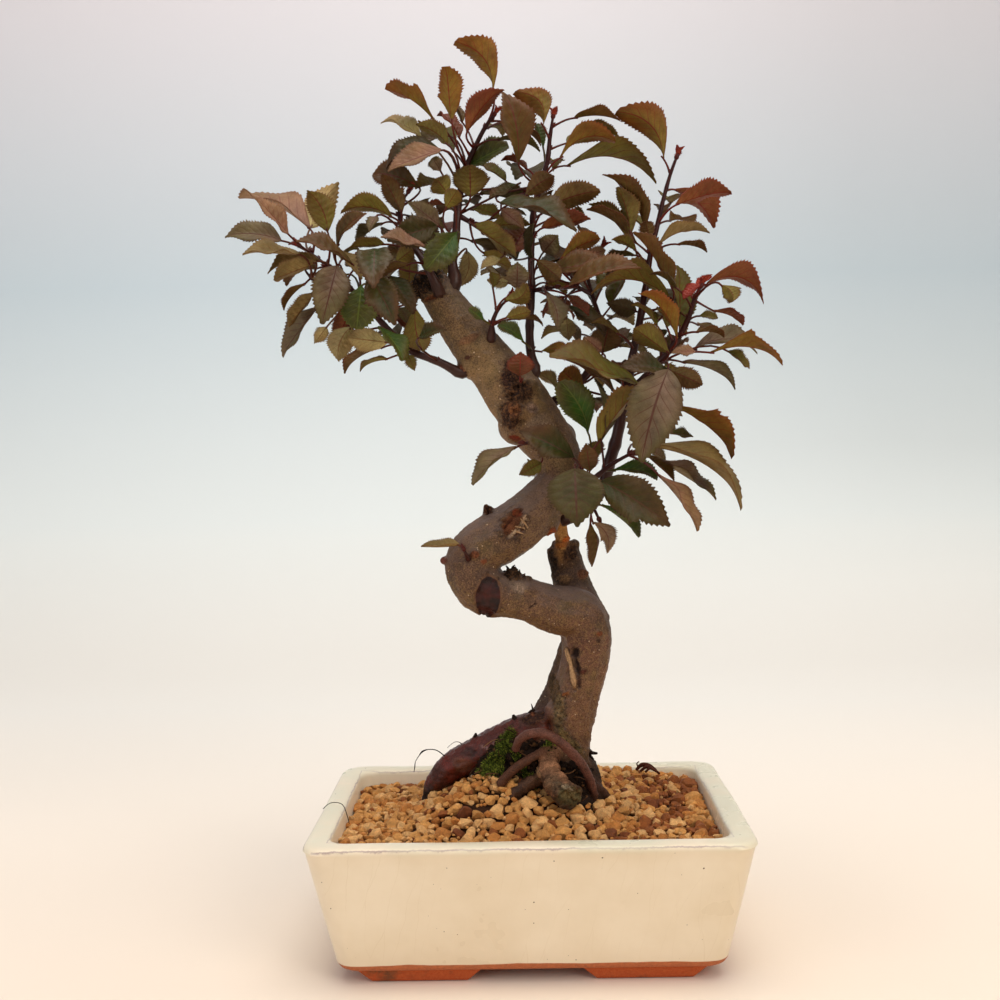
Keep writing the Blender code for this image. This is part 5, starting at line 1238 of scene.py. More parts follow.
@dataclass
class Gravel:
    """The soil: a bed that fills the pot, painted dark as the shade in the gaps, under a top of loose clay
    granules.
    """

    half_x: float = 75.05
    half_y: float = 50.05
    corner: float = 8.2
    taper: float = 0.12
    rim: float = 55.4
    low: float = 13.35
    edge: float = 49.5
    humps: tuple[tuple[float, float, float, float], ...] = (
        (14.0, 2.0, 9.0, 21.0), (-6.0, -8.0, 7.0, 12.0), (-24.0, -4.0, 12.5, 15.0),
        (40.0, 36.0, 4.5, 24.0), (5.0, 42.0, 3.5, 20.0))
    sizes: tuple[tuple[float, float, int], ...] = (
        (6.6, 8.2, 60), (5.0, 6.6, 800), (3.8, 5.0, 2600), (2.4, 3.8, 5200), (1.5, 2.4, 4200))
    moulds: int = 14
    seed: int = 11
    closeness: float = 0.70
    settling: float = 1.6
    lift: float = 3.4
    bed_depth: float = 3.2
    facets: int = 11
    facet_depths: tuple[float, float] = (0.52, 0.84)
    lumpiness: float = 0.24
    roughness: float = 0.10
    tilt: float = 0.9
    damp: float = 0.06
    shades: tuple[float, float] = (0.88, 1.08)
    white_spot: tuple[float, float, float] = (65.0, 47.0, -44.0)   # u, v, depth of the white grit
    white_reach: float = 3.2
    # The soil's colour, darkened as painted shade in the gaps between the granules
    bed_colour: str = "#4a2a12"
    white: str = "#d8cabb"

    def level(self, x: Numbers, y: Numbers) -> Numbers:
        """Height of the gravel: level at the walls and heaped up to the trunk."""
        height = self.edge + np.zeros_like(x)
        for middle_x, middle_y, rise, spread in self.humps:
            away = (x - middle_x) ** 2 + (y - middle_y) ** 2
            height = height + rise * np.exp(-away / (2 * spread ** 2))
        return height

    def held(self, points: Numbers, margin: float) -> Numbers:
        """Move points that are beyond the walls back to them.

        Args:
            points: The points.
            margin: How far from the wall they stay.

        Returns:
            The moved points.
        """
        found = points.copy()
        lean = self.taper * (self.rim - points[:, 2]) + margin
        half = np.stack([self.half_x - lean, self.half_y - lean], axis=1)
        found[:, :2] = np.clip(points[:, :2], -half, half)
        middle = half - self.corner
        past = np.abs(found[:, :2]) - middle
        in_corner = (past > 0).all(axis=1)
        reach = np.linalg.norm(past, axis=1)
        out = in_corner & (reach > self.corner)
        pulled = middle + past * (self.corner / np.maximum(reach, 1e-6))[:, None]
        found[out, :2] = (np.sign(found[:, :2]) * pulled)[out]
        return found

    def bed(self) -> tuple[Numbers, Numbers]:
        """Model the bed: a grid shaped to the level of the soil, drawn down to the pot's floor."""
        deselect_all()
        bpy.ops.mesh.primitive_grid_add(x_subdivisions=76, y_subdivisions=51, size=2.0)
        bed = bpy.context.object
        points = points_of(bed.data) * (self.half_x, self.half_y, 0.0)
        points[:, 2] = self.level(points[:, 0], points[:, 1]) - self.bed_depth
        points[:, 2] += ripple(points, 5.0, 1.7) * 0.4
        move_points(bed.data, self.held(points, 0.0))
        bpy.ops.object.mode_set(mode="EDIT")
        select_edges(bed, lambda edge: edge.is_boundary)
        bpy.ops.mesh.extrude_region_move()
        drawn = bmesh.from_edit_mesh(bed.data)
        ring = [vert for vert in drawn.verts if vert.select]
        lower = self.held(np.array([(vert.co.x, vert.co.y, self.low) for vert in ring]), 0.0)
        for vert, place in zip(ring, lower):
            vert.co = place
        bpy.ops.mesh.edge_face_add()
        bpy.ops.mesh.select_all(action="SELECT")
        bpy.ops.mesh.quads_convert_to_tris()
        bpy.ops.mesh.normals_make_consistent(inside=False)
        bpy.ops.object.mode_set(mode="OBJECT")
        return taken_apart(bed)

    def mould(self, number: int, fine: bool) -> tuple[Numbers, Numbers]:
        """Model one granule: a lump with flattened, broken sides.

        Args:
            number: Which granule.
            fine: Whether it has more faces.

        Returns:
            Its points, in radii, and its faces.
        """
        points, faces = unit_ball(2 if fine else 1)
        draw = random.Random(self.seed + 31 * number)
        for _ in range(self.facets):
            facing = Vector([draw.gauss(0, 1) for _ in range(3)]).normalized()
            side = points @ np.array(facing)
            cut = draw.uniform(*self.facet_depths)
            points -= np.outer(np.maximum(side - cut, 0.0), facing)
        points *= 1 + self.lumpiness * ripple(points, 0.5, 5.3 * number)[:, None]
        points *= 1 + self.roughness * ripple(points, 0.21, 3.9 * number)[:, None]
        points *= (draw.uniform(1.05, 1.4), draw.uniform(0.95, 1.2), draw.uniform(0.8, 1.1))
        return points, faces

    def tint(self, spot: Numbers, draw: random.Random) -> Numbers:
        """Pick a granule's colour: wetter at the right and at the back."""
        wet = self.damp + max(0.0, (spot[0] - 16) / 40) + max(0.0, (spot[1] - 2) / 60)
        patch = max(0.0, noise.noise(Vector(spot) / 13.0) * 3.0 + 0.7)
        weights = [
            often * (4.2 * wet * patch + 0.04 if kind in (Grain.WET, Grain.RUST) else 1.0)
            for kind, often in ((kind, kind.value[1]) for kind in Grain)]
        kind = draw.choices(list(Grain), weights)[0]
        light = draw.uniform(*self.shades)
        return linear(kind.value[0]) * (light, light, light, 1.0)

    def scatter(self, wood: BVHTree) -> Iterator[tuple[Numbers, float]]:
        """Throw granules on the bed, the large ones first, where there is still room.

        Args:
            wood: A search tree over the roots, which granules don't enter.

        Yields:
            Each granule's middle and radius.
        """
        draw = random.Random(self.seed)
        taken = np.zeros((0, 4))
        for low, high, tries in self.sizes:
            for _ in range(tries):
                radius = draw.uniform(low, high) / 2
                x = draw.uniform(-self.half_x, self.half_x)
                y = draw.uniform(-self.half_y, self.half_y)
                spot = self.held(np.array([[x, y, self.edge]]), radius * 0.8)[0]
                height = float(self.level(spot[0], spot[1])) - 0.45 * radius + draw.uniform(-0.5, 0.9)
                centre = np.array([spot[0], spot[1], height])
                room = taken[:, 3] + radius
                near = np.linalg.norm(taken[:, :3] - centre, axis=1)
                if len(taken) and (near < room * self.closeness).any():
                    continue
                _, normal, _, gap = wood.find_nearest(Vector(centre))
                above = wood.ray_cast(Vector(centre), Vector((0.0, 0.0, 1.0)))
                if above[0] is not None and above[1].z > 0:
                    gap = -gap
                if normal.z > 0.5 and -self.lift < gap < 0:
                    centre[2] += 0.2 * radius - gap
                elif gap < radius * (0.45 - self.settling * max(0.0, normal.z)):
                    continue
                taken = np.vstack([taken, (*centre, radius)])
                yield centre, radius

    def build(self, wood: BVHTree) -> None:
        """Model and dress the soil."""
        heap = MeshHeap()
        points, faces = self.bed()
        heap.put(points, faces, linear(self.bed_colour))
        moulds = [[self.mould(number, fine) for number in range(self.moulds)] for fine in (False, True)]
        draw = random.Random(self.seed + 1)
        white = np.array(seen(*self.white_spot))
        count = 0
        for centre, radius in self.scatter(wood):
            points, faces = moulds[radius > 1.7][draw.randrange(self.moulds)]
            turn = Matrix.Rotation(draw.uniform(0, 2 * math.pi), 3, "Z")
            turn @= Matrix.Rotation(draw.uniform(-self.tilt, self.tilt), 3, "X")
            placed = points @ np.array(turn) * radius + centre
            colour = self.tint(centre, draw)
            if np.hypot(*(centre - white)[:2]) < self.white_reach:
                colour = linear(self.white)
            heap.put(placed, faces, colour)
            count += 1
        gravel = heap.piece("gravel")
        smooth_below(gravel, 30)
        LOG.info("%d granules", count)
        hand_over(gravel, "soil", ClayGranules().material(), "soil")


@dataclass(frozen=True)
class Humus:
    """Humus and moss, grown: damp, crumbling and matt, its colour in the mesh."""

    crumb_mm: float = 1.0

    def material(self) -> bpy.types.Material:
        """Build the material."""
        made, add, place = new_material("Humus and moss, grown")
        tint = add("Attribute", attribute_name="Tint")
        crumbs = add("TexNoise", {"Vector": place, "Scale": 1 / (self.crumb_mm * MM), "Detail": 5.0,
            "Roughness": 0.7})
        light = add("MapRange", {0: crumbs, 1: 0.3, 2: 0.7, 3: 0.5, 4: 1.5})
        tone = add("VectorMath", {0: tint.outputs["Color"], "Scale": light}, operation="SCALE")
        bump = add("Bump", {"Height": crumbs, "Strength": 0.8, "Distance": 0.4 * MM})
        shader = add("BsdfPrincipled", {"Base Color": tone, "Roughness": 0.85, "Specular IOR Level": 0.15,
            "Normal": bump})
        add("OutputMaterial", {0: shader})
        return made


@dataclass
class Undergrowth:
    """What fills the hollows between the roots and lies about: humus, moss, root hairs, twigs."""

    wood: BVHTree
    lumps: tuple[tuple[float, float, float, float], ...] = (
        (-9.0, 79.0, -2.6, 4.4), (-12.6, 74.4, -2.8, 4.8), (-15.6, 70.0, -2.6, 5.2),
        (-18.6, 66.0, -2.0, 4.4), (-11.0, 67.0, -5.0, 6.0), (-5.6, 76.0, -5.0, 5.0),
        (-3.6, 67.6, -4.0, 5.2), (1.1, 63.6, -5.5, 4.6), (0.0, 76.0, -6.0, 5.4),
        (7.0, 75.0, -6.5, 5.4), (15.5, 67.0, -5.0, 6.6), (21.0, 66.5, -2.0, 5.4),
        (-6.8, 83.0, -3.4, 2.4), (5.0, 66.0, -6.0, 7.0), (19.0, 60.0, -7.0, 6.4))
    # Where moss grows: u, v, reach and how thick
    cushions: tuple[tuple[float, float, float, float], ...] = (
        (-6.0, 83.6, 2.4, 0.8), (-8.6, 80.6, 2.6, 0.9), (-10.6, 77.0, 3.0, 1.0),
        (-13.0, 73.0, 3.4, 1.0), (-15.6, 69.4, 3.6, 0.95), (-18.6, 66.6, 3.0, 0.8),
        (-12.6, 68.0, 2.8, 0.7), (-3.2, 84.4, 1.6, 0.7), (-7.0, 77.4, 1.8, 0.5),
        (-4.6, 73.6, 2.2, 0.6), (-2.6, 68.6, 2.8, 0.55), (0.8, 64.4, 3.2, 0.7),
        (2.2, 61.0, 2.6, 0.6), (8.0, 76.4, 2.6, 0.6), (9.6, 79.0, 1.8, 0.5))
    voxel: float = 0.8
    tufts: int = 4600
    tuft_length: tuple[float, float] = (0.7, 2.6)
    tuft_radius: float = 0.27
    tuft_stray: float = 0.45
    thinnest: float = 0.22         # where the cover is thinner, no moss grows
    crumbs: int = 900
    crumb_radius: tuple[float, float] = (0.35, 1.25)
    fibres: int = 60
    seed: int = 5
    humus_colour: str = "#20130b"
    moss_bed: str = "#181a0a"
    crumb_colours: tuple[str, ...] = ("#2a190e", "#3c2615", "#1a100a", "#54381f", "#24170f")
    moss_colours: tuple[str, ...] = ("#434f14", "#5e6a1e", "#2a3210", "#8c9238", "#4a5618", "#6e762a")
    strand_step: float = 0.9
    strand_sides: int = 6
    hair_colour: str = "#17110d"
    twig_colour: str = "#241711"
    litter_colour: str = "#4c2417"
    torn_colour: str = "#ab8660"
    rim_hair_colour: str = "#2a1d15"
    fibre_colours: tuple[str, ...] = ("#3a2618", "#5c3d28", "#22150d", "#7a5638")
    # Root hairs, as knots (u, v, depth, radius)
    hairs: tuple[tuple[Knot, ...], ...] = (
        ((-33.5, 73.8, 3, 0.24), (-37.5, 76.9, 2, 0.20), (-41.0, 77.4, 1, 0.18),
         (-43.6, 76.6, 0, 0.42), (-45.0, 74.9, 0, 0.18), (-46.6, 72.4, 0, 0.15),
         (-46.9, 70.2, 0, 0.24), (-47.3, 68.0, 0, 0.14)),
        ((-26.6, 78.6, 3, 0.22), (-28.2, 80.2, 3, 0.16), (-30.4, 80.2, 2, 0.13),
         (-33.3, 77.9, 2, 0.10)))
    twigs: tuple[tuple[Knot, ...], ...] = (
        ((21.5, 77.0, 1, 1.5), (24.5, 76.4, 0, 1.0), (26.6, 74.8, 0, 0.8), (28.8, 74.6, 0, 0.5)),
        ((24.5, 76.4, 0, 0.9), (25.8, 73.6, 1, 0.7), (27.2, 72.0, 2, 0.4)),
        ((-3.0, 87.5, 1, 1.3), (-5.0, 89.4, 0, 1.2), (-5.6, 91.2, 0, 0.6)),
        ((0.5, 91.0, 2, 1.0), (2.0, 92.6, 1, 0.9), (3.4, 93.2, 1, 0.3)),
        ((2.6, 92.0, 2, 0.5), (2.2, 94.8, 1, 0.3), (1.8, 95.8, 1, 0.1)),
        ((-21.5, 80.6, 3, 0.9), (-21.5, 82.8, 3, 0.9), (-21.2, 83.8, 3, 0.5)),
        ((-6.0, 149.8, -9, 0.8), (-6.4, 151.8, -9, 0.6), (-7.4, 153.2, -9, 0.2)),
        ((-4.8, 150.2, -9, 0.8), (-4.6, 152.6, -9, 0.5), (-3.6, 153.4, -9, 0.2)),
        ((-5.6, 149.8, -9, 0.6), (-8.0, 150.9, -9, 0.4), (-9.0, 150.6, -9, 0.15)))
    # A dry curled leaf and bits of bark on the gravel at the back
    litter: tuple[tuple[Knot, ...], ...] = (
        ((44.8, 67.4, 38, 0.7), (47.0, 69.4, 37, 1.0), (50.0, 69.2, 37, 0.9), (53.0, 67.2, 38, 0.5)),
        ((46.5, 66.8, 36, 0.6), (49.0, 68.6, 35, 0.8), (52.0, 67.4, 35, 0.7), (54.4, 65.6, 36, 0.4)),
        ((48.5, 66.4, 34, 0.5), (50.6, 68.0, 34, 0.6), (53.4, 66.2, 34, 0.3)),
        ((45.6, 68.6, 39, 0.4), (45.0, 70.0, 39, 0.3), (46.0, 70.9, 39, 0.2)))

    # Torn fibres that lie on the wood, as rows (u, v, radius)
    fibres_on_wood: tuple[tuple[tuple[float, float, float], ...], ...] = (
        ((16.9, 118.8, 0.3), (17.5, 116.2, 0.55), (18.3, 112.6, 0.65), (18.9, 109.0, 0.9),
         (19.5, 105.4, 1.1), (19.9, 102.8, 0.5)),
        ((-4.6, 167.6, 0.2), (-2.8, 167.2, 0.4), (-1.2, 166.6, 0.3), (0.4, 166.0, 0.15)),
        ((-3.2, 169.2, 0.2), (-1.6, 169.0, 0.45), (0.2, 168.6, 0.35), (1.6, 167.4, 0.15)),
        ((-1.0, 172.4, 0.15), (0.4, 171.0, 0.4), (1.4, 169.6, 0.3), (2.0, 168.2, 0.15)),
        ((16.8, 67.2, 0.3), (18.6, 64.6, 0.4), (21.0, 62.8, 0.35), (24.0, 61.8, 0.2)))

    # A hair that lies over the rim at the left and hangs into the pot, in the pot's frame
    rim_hair: tuple[tuple[float, float, float], ...] = (
        (-84.0, -9, 55.9), (-81.5, -7, 57.6), (-78.0, -6, 57.4), (-75.6, -8, 56.4),
        (-74.0, -10, 53.0), (-73.0, -12, 50.6))

    def strand(self, path: Path, code: str, heap: MeshHeap) -> None:
        """Put a thin round strand along a path on a heap."""
        heap.put(*tube(smooth_path(path, self.strand_step), self.strand_sides), linear(code))

    def on_wood(self, u: float, v: float) -> Vector:
        """The place on the wood that the eye sees at a spot."""
        way = (seen(u, v, 0.0) - EYE).normalized()
        hit = self.wood.ray_cast(EYE, way)[0]
        return seen(u, v, 0.0) if hit is None else hit - way * 0.25

    def cover(self, points: Numbers) -> Numbers:
        """How thick the moss is at some places, from 0 to 1."""
        u, v = seen_places(points)
        thick = np.zeros(len(points))
        for middle_u, middle_v, spread, amount in self.cushions:
            away = np.hypot(u - middle_u, v - middle_v) / spread
            thick = np.maximum(thick, amount * (1 - fade(away, 0.55, 1.15)))
        return np.clip(thick + 0.35 * ripple(points, 2.4, 8.8) * (thick > 0.02), 0, 1)

    def mass(self) -> bpy.types.Object:
        """Model the humus: lumps grown together, crumbled by noise."""
        points, faces = unit_ball(3)
        heap = MeshHeap()
        for u, v, depth, radius in self.lumps:
            heap.put(points * radius + np.array(seen(u, v, depth)), faces, linear(self.humus_colour))
        mass = heap.piece("humus_mass")
        apply_modifier(mass, "REMESH", mode="VOXEL", voxel_size=self.voxel * MM)
        apply_modifier(mass, "SMOOTH", factor=0.5, iterations=5)
        normals = np.array([tuple(normal.vector) for normal in mass.data.vertex_normals])
        points = points_of(mass.data) / MM
        relief = 1.8 * ripple(points, 4.0, 2.2) + 1.2 * ripple(points, 1.7, 6.1)
        move_points(mass.data, (points + normals * relief[:, None]) * MM)
        return mass

    def tuft(self, root: Numbers, way: Vector, length: float, radius: float) -> Numbers:
        """The four corners of a moss leaf: a slim three-sided cone."""
        side = way.orthogonal().normalized()
        other = way.cross(side)
        ring = [
            Vector(root) + (side * math.cos(turn) + other * math.sin(turn)) * radius
            for turn in (0.0, 2.094, 4.189)]
        return np.array([*map(tuple, ring), tuple(Vector(root) + way * length)])

    def grow(self, mass: bpy.types.Object, heap: MeshHeap) -> None:
        """Cover the humus with moss and fine roots.

        Args:
            mass: The humus.
            heap: What they are put on.
        """
        draw = random.Random(self.seed)
        faces = mass.data.polygons
        centres = np.array([tuple(face.center) for face in faces]) / MM
        normals = [face.normal.copy() for face in faces]
        thick = self.cover(centres)
        facing = np.array([normal.y < 0.35 for normal in normals])
        chosen = draw.choices(range(len(centres)), list(thick * facing + 1e-6), k=self.tufts)
        corners = np.array([(0, 1, 3), (1, 2, 3), (2, 0, 3), (2, 1, 0)])
        for index in chosen:
            if thick[index] < self.thinnest:
                continue
            jitter = Vector([draw.gauss(0, self.tuft_stray) for _ in range(3)])
            way = (normals[index] + Vector((0, 0, 0.35)) + jitter).normalized()
            spot = centres[index] + [draw.uniform(-0.5, 0.5) for _ in range(3)]
            length = draw.uniform(*self.tuft_length) * (0.5 + 0.6 * thick[index])
            colour = linear(draw.choice(self.moss_colours)) * draw.uniform(0.7, 1.2)
            heap.put(self.tuft(spot, way, length, self.tuft_radius), corners, colour)
        lump, lump_faces = unit_ball(1)
        for number in range(self.crumbs):
            index = draw.randrange(len(centres))
            if not facing[index] or thick[index] > 0.6:
                continue
            radius = draw.uniform(*self.crumb_radius) * draw.uniform(0.6, 1.0)
            rough = lump * (1 + 0.45 * ripple(lump + number, 0.8, 1.1))[:, None] * radius
            rough = rough * (draw.uniform(0.7, 1.5), draw.uniform(0.7, 1.3), draw.uniform(0.6, 1.1))
            colour = linear(draw.choice(self.crumb_colours))
            heap.put(rough + centres[index] + np.array(normals[index]) * 0.3, lump_faces, colour)
        for _ in range(self.fibres):
            index = draw.randrange(len(centres))
            if not facing[index] or centres[index][2] < 58:
                continue
            spot = Vector(centres[index])
            way = Vector((draw.uniform(-1, 1), -0.3, draw.uniform(-0.6, 0.3))).normalized()
            length = draw.uniform(3, 8)
            path = [
                (spot + way * length * share + normals[index] * (1.2 * math.sin(math.pi * share) + 0.2),
                 draw.uniform(0.14, 0.34))
                for share in (0.0, 0.3, 0.6, 1.0)]
            colour = linear(draw.choice(self.fibre_colours))
            heap.put(*tube(smooth_path(path, 1.2), 4), colour)

    def build(self) -> None:
        """Model and dress the undergrowth."""
        mass = self.mass()
        heap = MeshHeap()
        self.grow(mass, heap)
        points, faces = taken_apart(mass)
        points /= MM
        thick = self.cover(points)[:, None]
        colour = linear(self.humus_colour) * (1 - thick) + linear(self.moss_bed) * thick
        heap.put(points, faces, colour)
        moss = heap.piece("moss_and_humus")
        hand_over(moss, "soil", Humus().material())
        bits = MeshHeap()
        for rows, code in (
                (self.hairs, self.hair_colour), (self.twigs, self.twig_colour),
                (self.litter, self.litter_colour)):
            for knots in rows:
                self.strand(limb_knots(knots), code, bits)
        for rows in self.fibres_on_wood:
            self.strand([(self.on_wood(u, v), radius) for u, v, radius in rows], self.torn_colour, bits)
        self.strand([(Vector(knot), 0.17) for knot in self.rim_hair], self.rim_hair_colour, bits)
        hand_over(bits.piece("root_hairs_and_litter"), "wood", Humus().material())


@dataclass(frozen=True)
class Mark:
    """A mark on the wood, laid out as the eye sees it.

    A mark is an oval of half sizes reach at (u, v), turned by a number of degrees. Its
    middle is raised by lift and its rim by lip, in millimetres, and rough is how far its
    surface strays. A mark whose behind is true is on the far side of the wood.
    """

    u: float
    v: float
    reach: tuple[float, float]
    turn: float
    lift: float
    lip: float
    rough: float
    colour: str
    rim: str
    gloss: float = 0.15
    strength: float = 1.0
    behind: bool = False


